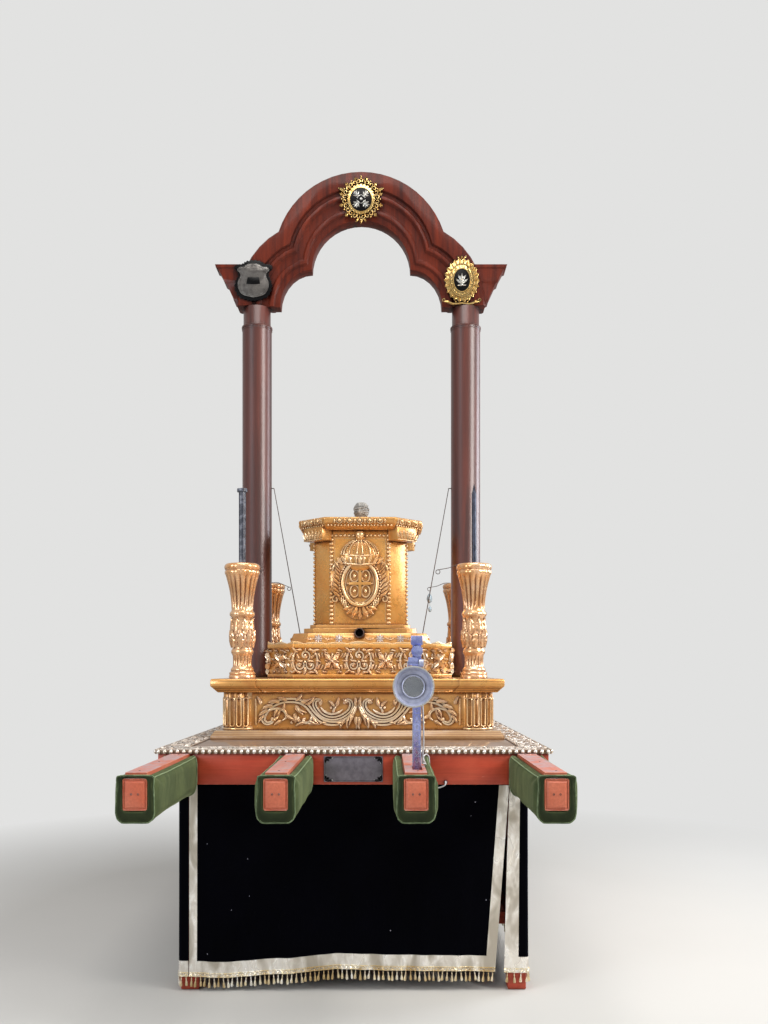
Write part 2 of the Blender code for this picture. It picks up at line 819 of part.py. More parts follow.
def make_side_skirt(side):
    """A side panel that turns in round the front and rear corners."""
    place = "left" if side < 0 else "right"
    wrap = SKIRT_LEFT_WRAP if side < 0 else SKIRT_RIGHT_WRAP
    corner = SKIRT_CORNER
    x, y = SIDE_SKIRT_X, FRONT_SKIRT_Y
    middle_share = 0.5
    rings = []
    for share in (0, middle_share, 1):
        height = SKIRT_TOP + (SKIRT_HEM - SKIRT_TOP) * share
        path = [Vector((x - wrap, -y))]
        path += [Vector(point) for point in arc((x - corner, -y + corner), (corner, corner), -90, 0, 3)]
        path += folds((x, -y + 2 * corner), (x, y - 2 * corner), SKIRT_FOLD * share)
        path += [Vector(point) for point in arc((x - corner, y - corner), (corner, corner), 0, 90, 3)]
        path.append(Vector((x - SKIRT_LEFT_WRAP, y)))
        path = [Vector((side * point.x, point.y)) for point in path]
        rings.append(ribbon(path, SKIRT_THICKNESS, height))
    loft(f"skirt_{place}", rings, BLACK_VELVET)


def make_skirts():
    """Front and rear panels between the side panels' turned-in edges."""
    left = -(SIDE_SKIRT_X - SKIRT_LEFT_WRAP) + SKIRT_PANEL_GAP
    right = SIDE_SKIRT_X - SKIRT_RIGHT_WRAP - SKIRT_PANEL_GAP
    make_flat_skirt("front", left, right, SKIRT_SLIT_LEAN, SKIRT_FRONT_HEM)
    make_flat_skirt("rear", left, -left, 0, SKIRT_HEM)
    make_side_skirt(-1)
    make_side_skirt(1)


# Lower plinth


def case_outline():
    """The plinth case in plan: straight sides between fluted corner drums."""
    points = []
    reach = math.degrees(math.acos((CASE_HALF - DRUM_OFFSET) / DRUM_RADIUS))
    swing = 90 + 2 * reach
    lobes = round(DRUM_LOBES * swing / 360)
    steps = lobes * DRUM_POINTS_A_LOBE
    for x, y, middle in ((1, -1, -45), (1, 1, 45), (-1, 1, 135), (-1, -1, 225)):
        for i in range(steps + 1):
            angle = math.radians(middle + swing * (i / steps - 1 / 2))
            dip = DRUM_LOBE_DEPTH * (1 - abs(math.sin(math.pi * lobes * i / steps)))
            radius = DRUM_RADIUS - dip * (0 < i < steps)
            points.append(
                (
                    x * DRUM_OFFSET + radius * math.cos(angle),
                    y * DRUM_OFFSET + radius * math.sin(angle),
                )
            )
    return points


def slab_outline(inset):
    """The slab in plan: a square whose corners step outwards over the drums."""
    outer = PLINTH_HALF - inset
    inner = outer - SLAB_BREAK
    turn = PLINTH_HALF - SLAB_CORNER - inset
    points = []
    for x, y in ((1, -1), (1, 1), (-1, 1), (-1, -1)):
        corner = [(x * turn, y * inner), (x * turn, y * outer), (x * outer, y * outer)]
        corner += [(x * outer, y * turn), (x * inner, y * turn)]
        points += corner if x * y < 0 else corner[::-1]
    return points


def square_outline(half):
    """A function of the inset that gives a square's plan."""
    return lambda inset: rectangle(half - inset, half - inset)


def make_plinth():
    """Base moulding, case and slab, one on the other."""
    low, high = BASE_BOTTOM, BASE_BOTTOM + BASE_HEIGHT
    lip_share, neck_share = 0.4, 0.7
    moulded(
        "plinth_base",
        square_outline(PLINTH_HALF),
        [
            (0, low),
            (0, low + BASE_HEIGHT * lip_share),
            (BASE_INSET / 2, low + BASE_HEIGHT * neck_share),
            (BASE_INSET, high),
        ],
        GILDING,
    )
    flat("plinth_case", [case_outline()], CASE_HEIGHT, GILDING, (0, 0, CASE_BOTTOM + CASE_HEIGHT / 2))
    neck = SLAB_BOTTOM + SLAB_MOULD_HEIGHT
    moulded(
        "plinth_slab",
        slab_outline,
        [
            (SLAB_MOULD_HEIGHT + SLAB_EDGE, SLAB_BOTTOM),
            (SLAB_MOULD_HEIGHT, SLAB_BOTTOM + SLAB_EDGE),
            (SLAB_EDGE * 2, neck - SLAB_EDGE),
            (SLAB_EDGE, neck),
            (0, neck + SLAB_EDGE),
            (0, SLAB_TOP - SLAB_EDGE),
            (SLAB_EDGE / 2, SLAB_TOP),
        ],
        GILDING,
    )


# Balusters and rods


def flute(obj, bands, count, depth, core):
    """Draws a turned mesh in between its ribs, in each (low, high) band and outside the core."""
    for vertex in obj.data.vertices:
        x, y, z = vertex.co
        radius = math.hypot(x, y)
        if radius < core or not any(low <= z <= high for low, high in bands):
            continue
        groove = depth * (1 - math.cos(count * math.atan2(y, x))) / 2
        vertex.co = (x * (1 - groove / radius), y * (1 - groove / radius), z)


def baluster_profile():
    """The baluster's outline from its rim down, as (radius share, height share) rows."""
    shares = [
        (0.88, 1.0),
        (1.0, 0.985),
        (1.0, 0.955),
        (0.95, 0.945),
        (0.98, 0.925),
        (0.93, 0.90),
        (0.81, 0.838),
        (0.69, 0.748),
        (0.62, 0.660),
        (0.62, 0.600),
        (0.71, 0.58),
        (0.71, 0.548),
        (0.61, 0.52),
        (0.66, 0.42),
        (0.69, 0.33),
        (0.6, 0.262),
        (0.63, 0.245),
        (0.6, 0.225),
        (0.53, 0.208),
        (0.52, 0.115),
        (0.62, 0.095),
        (0.64, 0.07),
        (0.74, 0.045),
        (0.75, 0.0),
    ]
    return [(BALUSTER_RIM * wide, BALUSTER_HEIGHT * high) for wide, high in shares]


def make_baluster(place, x, y, rod_radius):
    """A fluted baluster; the front ones are bored from the top for a rod."""
    bore = rod_radius + SEAT_GAP if rod_radius else 0
    floor = BALUSTER_HEIGHT - ROD_SINK
    top = [(0, floor), (bore, floor), (bore, BALUSTER_HEIGHT)] if bore else [(0, BALUSTER_HEIGHT)]
    profile = [*top, *baluster_profile(), (0, 0)]
    obj = as_mesh(
        turned(f"baluster_{place}", profile, GILDING, 2 * BALUSTER_FLUTES, (x, y, ON_SLAB))
    )
    bell_shares, foot_shares = (0.64, 0.91), (0.11, 0.21)
    bands = [[BALUSTER_HEIGHT * share for share in pair] for pair in (bell_shares, foot_shares)]
    flute(obj, bands, BALUSTER_FLUTES, FLUTE_DEPTH, LEFT_ROD_RADIUS + FLUTE_DEPTH)
    return obj


def make_balusters():
    """One baluster on each corner of the slab."""
    for place, x, y, rod in (
        ("front_left", -1, -1, LEFT_ROD_RADIUS),
        ("front_right", 1, -1, RIGHT_ROD_RADIUS),
        ("rear_left", -1, 1, 0),
        ("rear_right", 1, 1, 0),
    ):
        make_baluster(place, x * BALUSTER_X, y * BALUSTER_Y, rod)


def make_rods():
    """A taped rod with a flat cap on the left, a pointed rod on the right."""
    floor = ON_SLAB + BALUSTER_HEIGHT - ROD_SINK + SEAT_GAP
    top = ROD_SINK - SEAT_GAP + LEFT_ROD_HEIGHT
    radius, cap = LEFT_ROD_RADIUS, LEFT_ROD_CAP
    under = top - LEFT_ROD_CAP_HEIGHT
    turned(
        "rod_left",
        [(0, top), (cap, top), (cap, under), (radius, under), (radius, 0), (0, 0)],
        GREY_TAPE,
        ROD_SIDES,
        (-BALUSTER_X, -BALUSTER_Y, floor),
    )
    top = ROD_SINK - SEAT_GAP + RIGHT_ROD_HEIGHT
    radius = RIGHT_ROD_RADIUS
    turned(
        "rod_right",
        [(0, top), (radius, top - RIGHT_ROD_POINT), (radius, 0), (0, 0)],
        DARK_ROD,
        ROD_SIDES,
        (BALUSTER_X, -BALUSTER_Y, floor),
    )


# Second tier and pedestal


def make_tier():
    """An eight-sided box with a panel sunk between its rails."""
    low, high = ON_SLAB, ON_SLAB + TIER_HEIGHT
    inset, rail = TIER_PANEL_INSET, TIER_RAIL
    moulded(
        "tier_box",
        lambda step: chamfered_square(TIER_HALF, TIER_CHAMFER, step),
        [
            (0, low),
            (0, low + rail),
            (inset, low + rail + inset),
            (inset, high - rail - inset),
            (0, high - rail),
            (0, high),
        ],
        GILDING,
    )


def stepped_base():
    """The pedestal's tapered foot and two steps as one block."""
    step = FOOT_TOP + STEP_LOW_HEIGHT
    top = step + STEP_HIGH_HEIGHT
    low_inset, high_inset = FOOT_HALF - STEP_LOW_HALF, FOOT_HALF - STEP_HIGH_HALF
    taper = FOOT_HALF - FOOT_TOP_HALF
    return moulded(
        "pedestal_base",
        lambda inset: chamfered_square(FOOT_HALF, FOOT_CHAMFER, inset),
        [
            (0, FOOT_BOTTOM),
            (taper, FOOT_TOP),
            (low_inset, FOOT_TOP),
            (low_inset, step),
            (high_inset, step),
            (high_inset, top),
        ],
        GILDING,
    )


def make_pedestal():
    """Stepped base with its pipe socket, chamfered shaft, cornice and knob."""
    base = stepped_base()
    front = -FOOT_HALF - SOCKET_PROUD
    middle = (0, front + SOCKET_LENGTH / 2, FOOT_TOP)
    bore = drum(
        "socket_bore",
        SOCKET_RADIUS + SEAT_GAP,
        SOCKET_LENGTH + 2 * SEAT_GAP,
        middle,
        "Y",
        GILDING,
        SOCKET_SIDES,
    )
    combine(base, bore, "DIFFERENCE")
    pipe = drum("socket_pipe", SOCKET_RADIUS, SOCKET_LENGTH, middle, "Y", STEEL, SOCKET_SIDES)
    room = drum(
        "socket_room",
        SOCKET_RADIUS - SOCKET_WALL,
        SOCKET_LENGTH,
        (middle[0], middle[1] - SOCKET_WALL, middle[2]),
        "Y",
        STEEL,
        SOCKET_SIDES,
    )
    combine(pipe, room, "DIFFERENCE")
    moulded(
        "pedestal_shaft",
        lambda inset: chamfered_square(SHAFT_HALF, SHAFT_CHAMFER, inset),
        [(0, SHAFT_BOTTOM), (0, SHAFT_BOTTOM + SHAFT_HEIGHT)],
        GILDING,
    )
    make_cornice()
    neck_share, waist_share, belly_share, brow_share = 0.18, 0.55, 0.62, 0.9
    turned(
        "top_knob",
        [
            (0, KNOB_HEIGHT),
            (KNOB_RADIUS * waist_share, KNOB_HEIGHT),
            (KNOB_RADIUS * brow_share, KNOB_HEIGHT * brow_share),
            (KNOB_RADIUS, KNOB_HEIGHT * belly_share),
            (KNOB_RADIUS * brow_share, KNOB_HEIGHT * waist_share / 2 + KNOB_HEIGHT * neck_share / 2),
            (KNOB_RADIUS * waist_share, KNOB_HEIGHT * neck_share),
            (KNOB_RADIUS * waist_share, 0),
            (0, 0),
        ],
        GREY_TAPE,
        SOCKET_SIDES,
        (0, 0, CORNICE_TOP + SEAT_GAP),
    )


def make_cornice():
    """The pedestal's moulded top, with a capital block under each canted corner."""
    low, high = CORNICE_BOTTOM, CORNICE_TOP
    bed, lip_share, cap_share = CORNICE_HALF - SHAFT_HALF, 0.25, 0.45
    lip = CORNICE_HEIGHT * lip_share
    cornice = moulded(
        "pedestal_cornice",
        lambda inset: chamfered_square(CORNICE_HALF, CORNICE_CHAMFER, inset),
        [
            (bed / 2, low),
            (bed / 3, low + lip / 2),
            (lip / 2, low + CORNICE_HEIGHT * cap_share),
            (0, high - lip),
            (0, high - lip / 3),
            (lip / 3, high),
        ],
        GILDING,
    )
    face = (2 * SHAFT_HALF - SHAFT_CHAMFER) / math.sqrt(2) + SEAT_GAP
    middle = (face + CAPITAL_DEPTH / 2) / math.sqrt(2)
    for corner, (x, y) in enumerate(((1, -1), (1, 1), (-1, 1), (-1, -1))):
        lower = CORNICE_BOTTOM - CAPITAL_HEIGHT
        size = Vector((CAPITAL_DEPTH, CAPITAL_WIDTH, CAPITAL_HEIGHT + lip)) / 2
        capital = block(f"capital_{corner + 1}", -size, size, GILDING)
        capital.location = (x * middle, y * middle, lower + size.z)
        capital.rotation_euler = (0, 0, math.atan2(y, x))
        combine(cornice, capital, "UNION")
    return cornice


# Cartouche


def cartouche_outline():
    """The backing's outline: crown, shoulders, feathered wings and shell, right side then left."""
    oval, crown = OVAL_LEVEL, CROWN_LEVEL
    base = oval - OVAL_HALF_HEIGHT
    wing_low_share, wing_high_share, hip_share = 0.55, 0.72, 0.8
    shell = arc((0, base), (SHELL_HALF_WIDTH, SHELL_DROP - OVAL_HALF_HEIGHT), -90, 0, 5)
    wing = [
        (OVAL_HALF_WIDTH, oval - OVAL_HALF_HEIGHT * hip_share),
        (WING_REACH * hip_share, oval - OVAL_HALF_HEIGHT * wing_low_share),
        (WING_REACH, oval - OVAL_HALF_HEIGHT * wing_low_share / 2),
        (WING_REACH, oval + OVAL_HALF_HEIGHT * wing_low_share),
        (WING_REACH * hip_share, oval + OVAL_HALF_HEIGHT * wing_high_share),
        (CROWN_HALF_WIDTH, oval + OVAL_HALF_HEIGHT),
    ]
    dome = arc((0, crown), (CROWN_HALF_WIDTH, CROWN_RISE), 0, 90, 6)
    right = shell + wing + dome
    return right + [(-x, z) for x, z in reversed(right[1:-1])]


def make_cartouche():
    """Backing plate with an oval ring, a domed crown, a finial and a plain cross."""
    face = -SHAFT_HALF - SEAT_GAP - CARTOUCHE_THICKNESS
    back = face + CARTOUCHE_THICKNESS / 2
    made = as_mesh(
        flat("cartouche", [cartouche_outline()], CARTOUCHE_THICKNESS, GILDING, (0, back, SHAFT_BOTTOM), UPRIGHT)
    )
    level = SHAFT_BOTTOM + OVAL_LEVEL
    rise = CARTOUCHE_RELIEF + CARTOUCHE_THICKNESS / 2
    outer = arc((0, 0), (OVAL_HALF_WIDTH, OVAL_HALF_HEIGHT), 0, 360, 28)[:-1]
    inner = arc((0, 0), (OVAL_HALF_WIDTH - OVAL_RING, OVAL_HALF_HEIGHT - OVAL_RING), 0, 360, 28)[:-1]
    centre = (0, face - CARTOUCHE_RELIEF + rise / 2, level)
    ring = as_mesh(flat("oval_ring", [outer, inner], rise, GILDING, centre, UPRIGHT))
    combine(made, ring, "UNION", "MANIFOLD")
    arm, stem, bar = CROSS_ARM, CROSS_STEM, CROSS_BAR / 2
    cross_points = [
        (-bar, -stem), (bar, -stem), (bar, -bar), (arm, -bar), (arm, bar), (bar, bar),
        (bar, stem), (-bar, stem), (-bar, bar), (-arm, bar), (-arm, -bar), (-bar, -bar),
    ]
    cross = as_mesh(flat("plain_cross", [cross_points], rise, GILDING, centre, UPRIGHT))
    combine(made, cross, "UNION", "MANIFOLD")
    finial_level = CROWN_LEVEL + CROWN_RISE + FINIAL_RADIUS / 2
    for name, height, size, sink in (
        ("crown_dome", CROWN_LEVEL, (CROWN_HALF_WIDTH, CROWN_BULGE, CROWN_RISE), DOME_SINK),
        ("crown_finial", finial_level, (FINIAL_RADIUS,) * 3, FINIAL_SINK),
    ):
        dome = half_dome(name, size, sink, (0, face, SHAFT_BOTTOM + height))
        combine(made, dome, "UNION", "MANIFOLD")
    return made


def half_dome(name, size, sink, centre):
    """A stretched ball whose back is cut off at a depth inside the cartouche's backing."""
    shape = bmesh.new()
    bmesh.ops.create_uvsphere(shape, u_segments=16, v_segments=8, radius=1)
    bmesh.ops.scale(shape, vec=size, verts=shape.verts)
    bmesh.ops.bisect_plane(
        shape,
        geom=[*shape.verts, *shape.edges, *shape.faces],
        plane_co=(0, sink, 0),
        plane_no=(0, 1, 0),
        clear_outer=True,
    )
    bmesh.ops.holes_fill(shape, edges=shape.edges, sides=0)
    bmesh.ops.triangulate(shape, faces=shape.faces)
    dome = finish_mesh(name, shape, GILDING)
    dome.location = centre
    return dome


# Columns and arch


def make_column(side):
    """A smooth column with a foot ring, and an astragal under a slightly slimmer neck."""
    place = "left" if side < 0 else "right"
    ring = COLUMN_HEIGHT - NECK_HEIGHT
    foot, bead = COLUMN_FOOT_HEIGHT, ASTRAGAL
    profile = [
        (0, COLUMN_HEIGHT),
        (NECK_RADIUS, COLUMN_HEIGHT),
        (NECK_RADIUS, ring + bead),
        (COLUMN_RADIUS, ring + bead),
        (COLUMN_RADIUS + bead / 2, ring + bead / 2),
        (COLUMN_RADIUS, ring),
        (COLUMN_RADIUS, foot + bead),
        (COLUMN_FOOT_RADIUS, foot),
        (COLUMN_FOOT_RADIUS, 0),
        (0, 0),
    ]
    turned(f"column_{place}", profile, MAHOGANY, COLUMN_SIDES, (side * COLUMN_X, 0, ON_SLAB))


def arch_section_shares():
    """The arch's face from its outer to its inner edge, as (share across, share of depth)."""
    return [
        (0.0, 0.78),
        (0.04, 1.0),
        (0.34, 1.0),
        (0.37, 0.80),
        (0.42, 0.78),
        (0.46, 0.95),
        (0.52, 0.95),
        (0.57, 0.72),
        (0.72, 0.66),
        (0.77, 0.80),
        (0.84, 0.80),
        (0.88, 0.64),
        (1.0, 0.64),
    ]


def arch_stations():
    """Pairs of (outer, inner) points from the right foot over the crown to the left foot."""
    lobe = (CUSP_X, 0)
    outer_radii = (ARCH_FOOT_OUTER - CUSP_X, LOBE_OUTER_RISE)
    inner_radii = (ARCH_FOOT_INNER - CUSP_X, CUSP_RISE)
    lobe_turn = lobe_end_angle(outer_radii)
    outer_lobe = arc(lobe, outer_radii, 0, lobe_turn, LOBE_STEPS)
    inner_lobe = arc(lobe, inner_radii, 0, 90, LOBE_STEPS)
    corner = outer_lobe[-1]
    start = math.degrees(math.atan2(corner[1] - CROWN_OUTER_RISE, corner[0]))
    outer_crown = arc((0, CROWN_OUTER_RISE), (CROWN_OUTER_RADIUS,) * 2, start, 180 - start, CROWN_STEPS)
    inner_crown = arc((0, CUSP_RISE), (CUSP_X, CROWN_INNER_RADIUS), 0, 180, CROWN_STEPS)
    right = list(zip(outer_lobe, inner_lobe))
    crown = list(zip(outer_crown, inner_crown))[1:-1]
    left = [((-a[0], a[1]), (-b[0], b[1])) for a, b in reversed(right)]
    return right + crown + left


def lobe_end_angle(radii):
    """The angle at which the outer lobe meets the crown's outer arc, found by halving."""
    low, high = 0.0, 90.0
    for _ in range(40):
        angle = (low + high) / 2
        x, z = arc((CUSP_X, 0), radii, angle, angle, 1)[0]
        if math.hypot(x, z - CROWN_OUTER_RISE) > CROWN_OUTER_RADIUS:
            low = angle
        else:
            high = angle
    return low


def make_arch():
    """The trefoil arch, its face mouldings mitred at the cusps, with a wing at each foot."""
    face = arch_section_shares()
    section = face + [(across, -depth) for across, depth in reversed(face)]
    rings = []
    for outer, inner in arch_stations():
        ring = []
        for across, depth in section:
            x = outer[0] + (inner[0] - outer[0]) * across
            z = outer[1] + (inner[1] - outer[1]) * across
            ring.append((x, -depth * ARCH_HALF_DEPTH, ARCH_BOTTOM + z))
        rings.append(ring)
    arch = loft("arch", rings, MAHOGANY)
    for side in (-1, 1):
        combine(arch, make_wing(side), "UNION")
    return arch


def make_wing(side):
    """The moulded wing that leans out over one column, as a stack of plan rectangles."""
    shares = [
        (0.0, 0.0, 0.80),
        (0.10, 0.06, 0.80),
        (0.14, 0.16, 0.88),
        (0.22, 0.20, 0.88),
        (0.55, 0.48, 0.84),
        (0.60, 0.60, 0.94),
        (0.70, 0.66, 0.94),
        (0.90, 0.86, 0.92),
        (0.93, 0.96, 1.0),
        (1.0, 1.0, 1.0),
    ]
    rings = []
    for high, out, deep in shares:
        tip = ARCH_FOOT_OUTER + (WING_TIP_X - ARCH_FOOT_OUTER) * out
        depth = WING_HALF_DEPTH * deep
        z = ARCH_BOTTOM + WING_FOOT_RISE + (WING_TOP_RISE - WING_FOOT_RISE) * high
        corners = ((WING_ROOT_X, -depth), (tip, -depth), (tip, depth), (WING_ROOT_X, depth))
        rings.append([(side * x, y, z) for x, y in corners])
    return loft("wing_left" if side < 0 else "wing_right", rings, MAHOGANY)


# Ornaments on the arch


def shield_outline():
    """A plain shield with a notched top and a swelling lower half."""
    shares = [
        (0.0, -1.0),
        (0.34, -0.95),
        (0.72, -0.80),
        (0.92, -0.45),
        (0.96, -0.10),
        (0.82, 0.22),
        (0.84, 0.45),
        (1.0, 0.62),
        (0.88, 0.78),
        (0.62, 0.80),
        (0.40, 0.92),
        (0.0, 1.0),
    ]
    right = [(SHIELD_WIDTH / 2 * wide, SHIELD_HEIGHT / 2 * high) for wide, high in shares]
    return right + [(-x, z) for x, z in reversed(right[1:-1])]


def make_ornaments():
    """The crown medallion, the left shield and the right oval, flat against the arch's face."""
    back = -ARCH_HALF_DEPTH - SEAT_GAP
    middle = back - MEDAL_THICKNESS / 2
    flat(
        "medallion_top",
        [lobed(TOP_MEDAL_WIDTH / 2, TOP_MEDAL_HEIGHT / 2, TOP_MEDAL_LOBES, MEDAL_LOBE_DEPTH)],
        MEDAL_THICKNESS,
        BRIGHT_GOLD,
        (0, middle, ARCH_BOTTOM + TOP_MEDAL_RISE),
        UPRIGHT,
    )
    flat(
        "medallion_right",
        [lobed(OVAL_MEDAL_WIDTH / 2, OVAL_MEDAL_HEIGHT / 2, OVAL_MEDAL_LOBES, MEDAL_LOBE_DEPTH)],
        MEDAL_THICKNESS,
        BRIGHT_GOLD,
        (OVAL_MEDAL_X, middle, ARCH_BOTTOM + OVAL_MEDAL_RISE),
        UPRIGHT,
    )
    flat(
        "shield_plaque",
        [shield_outline()],
        SHIELD_THICKNESS,
        SHIELD_BLACK,
        (SHIELD_X, back - SHIELD_THICKNESS / 2, ARCH_BOTTOM + SHIELD_RISE),
        UPRIGHT,
    )


def make_stays():
    """A bent wire from each column's inner side down to the pedestal's foot."""
    for side, place in ((-1, "left"), (1, "right")):
        top = ON_SLAB + STAY_TOP_RISE
        wall = side * (COLUMN_X - COLUMN_RADIUS - SEAT_GAP)
        elbow = wall - side * STAY_ARM
        foot = side * STAY_FOOT_X
        tube(
            f"stay_{place}",
            [
                (wall, 0, top),
                (elbow, 0, top),
                (foot, 0, FOOT_TOP + SEAT_GAP + STAY_ARM),
                (foot, 0, FOOT_TOP + SEAT_GAP),
            ],
            STAY_RADIUS,
            WIRE,
        )


# Lamp


def make_lamp_bar():
    """A flat bar standing in the pole's slot, with a head block and a stud for the link."""
    floor = STRIP_TOP - SLOT_DEPTH + SEAT_GAP
    top = floor + BAR_HEIGHT
    bar = block(
        "lamp_bar",
        (LAMP_X - BAR_WIDTH / 2, BAR_FRONT, floor),
        (LAMP_X + BAR_WIDTH / 2, BAR_FRONT + BAR_THICKNESS, top),
        STEEL,
    )
    head = block(
        "lamp_bar_head",
        (LAMP_X - HEAD_WIDTH / 2, LAMP_Y - HEAD_DEPTH / 2, top - HEAD_HEIGHT),
        (LAMP_X + HEAD_WIDTH / 2, LAMP_Y + HEAD_DEPTH / 2, top + SEAT_GAP),
        STEEL,
    )
    combine(bar, head, "UNION")
    swing = top - SWING_BELOW_TOP
    reach = LINK_THICKNESS + SWING_KNOB_LENGTH / 2
    stud = drum(
        "lamp_stud",
        SWING_STUD,
        reach + BAR_THICKNESS / 2,
        (LAMP_X, BAR_FRONT - (reach - BAR_THICKNESS / 2) / 2, swing),
        "Y",
        STEEL,
        LAMP_SIDES // 2,
    )
    combine(bar, stud, "UNION")
    return swing


def make_lamp_link(swing):
    """The link that swings on the bar: plate, hand knob and the lug for the bowl."""
    back = BAR_FRONT - RUNNING_GAP
    front = back - LINK_THICKNESS
    tilt = swing - TILT_BELOW_SWING
    tilt_x = LAMP_X + TILT_OFFSET_X
    lug_low = tilt - LUG_BELOW_TILT
    link = block(
        "lamp_link",
        (LAMP_X - LINK_WIDTH / 2, front, lug_low),
        (LAMP_X + LINK_WIDTH / 2, back, swing + LINK_ABOVE),
        STEEL,
    )
    knob = drum(
        "swing_knob",
        SWING_KNOB,
        SWING_KNOB_LENGTH + LINK_THICKNESS / 2,
        (LAMP_X, front - (SWING_KNOB_LENGTH - LINK_THICKNESS / 2) / 2, swing),
        "Y",
        STEEL,
    )
    combine(link, knob, "UNION")
    lug = block(
        "tilt_lug",
        (tilt_x - LUG_WIDTH / 2, front - LUG_DEPTH, lug_low),
        (tilt_x + LUG_WIDTH / 2, front + LINK_THICKNESS / 2, lug_low + LUG_HEIGHT),
        STEEL,
    )
    combine(link, lug, "UNION")
    stud_room = drum(
        "stud_room",
        SWING_STUD + RUNNING_GAP,
        2 * (LINK_THICKNESS + SWING_KNOB_LENGTH / 2 + RUNNING_GAP),
        (LAMP_X, back, swing),
        "Y",
        STEEL,
        LAMP_SIDES // 2,
    )
    combine(link, stud_room, "DIFFERENCE")
    pin_room = drum(
        "pin_room",
        TILT_PIN + RUNNING_GAP,
        LUG_WIDTH + CUT_OVERRUN,
        (tilt_x, front - TILT_AHEAD, tilt),
        "X",
        STEEL,
        LAMP_SIDES // 2,
    )
    combine(link, pin_room, "DIFFERENCE")
    return tilt_x, front - TILT_AHEAD, tilt


def bowl_profile():
    """The bowl's wall from its back to the rim and in again, as (radius, distance ahead)."""
    belly_share, rim_share = 0.86, 0.35
    back, wall = BOWL_BACK_RADIUS, BOWL_WALL
    bend = BOWL_DEPTH * rim_share
    inner_wall = [
        (0, BOWL_HOUSING),
        (back - wall, BOWL_HOUSING),
        (BOWL_RADIUS * belly_share - wall, bend + wall * 3),
        (BOWL_RADIUS - wall, BOWL_DEPTH),
    ]
    outer_wall = [
        (BOWL_RADIUS, BOWL_DEPTH),
        (BOWL_RADIUS * belly_share, bend + wall),
        (back + wall, BOWL_HOUSING / 2),
        (back, 0),
        (0, 0),
    ]
    return inner_wall + outer_wall


def make_lamp_head(tilt_x, tilt_y, tilt):
    """The bowl with its cheeks, pin and side knob, and the round lens inside it."""
    middle = tilt - BOWL_DROP
    back = tilt_y + BOWL_BACK_AHEAD
    bowl = as_mesh(
        turned("lamp_bowl", bowl_profile(), STEEL, BOWL_SIDES, (tilt_x, back, middle), UPRIGHT)
    )
    cheek_inner = LUG_WIDTH / 2 + RUNNING_GAP
    for side in (-1, 1):
        xs = sorted((tilt_x + side * cheek_inner, tilt_x + side * (cheek_inner + CHEEK_THICKNESS)))
        cheek = block(
            "cheek_left" if side < 0 else "cheek_right",
            (xs[0], tilt_y - CHEEK_DEPTH / 2, middle + BOWL_BACK_RADIUS / 2),
            (xs[1], tilt_y + CHEEK_DEPTH / 2 - BOWL_WALL, tilt + CHEEK_ABOVE),
            STEEL,
        )
        combine(bowl, cheek, "UNION")
    cheek_outer = cheek_inner + CHEEK_THICKNESS
    pin = drum(
        "tilt_pin",
        TILT_PIN,
        2 * cheek_inner + CHEEK_THICKNESS,
        (tilt_x, tilt_y, tilt),
        "X",
        STEEL,
        LAMP_SIDES // 2,
    )
    combine(bowl, pin, "UNION")
    knob = drum(
        "tilt_knob",
        TILT_KNOB,
        TILT_KNOB_LENGTH + CHEEK_THICKNESS / 2,
        (tilt_x + cheek_outer + TILT_KNOB_LENGTH / 2 - CHEEK_THICKNESS / 4, tilt_y, tilt),
        "X",
        STEEL,
    )
    combine(bowl, knob, "UNION")
    drum(
        "lamp_lens",
        LENS_RADIUS,
        LENS_THICKNESS,
        (tilt_x, back - BOWL_HOUSING - SEAT_GAP - LENS_THICKNESS / 2, middle),
        "Y",
        LENS,
        BOWL_SIDES,
    )


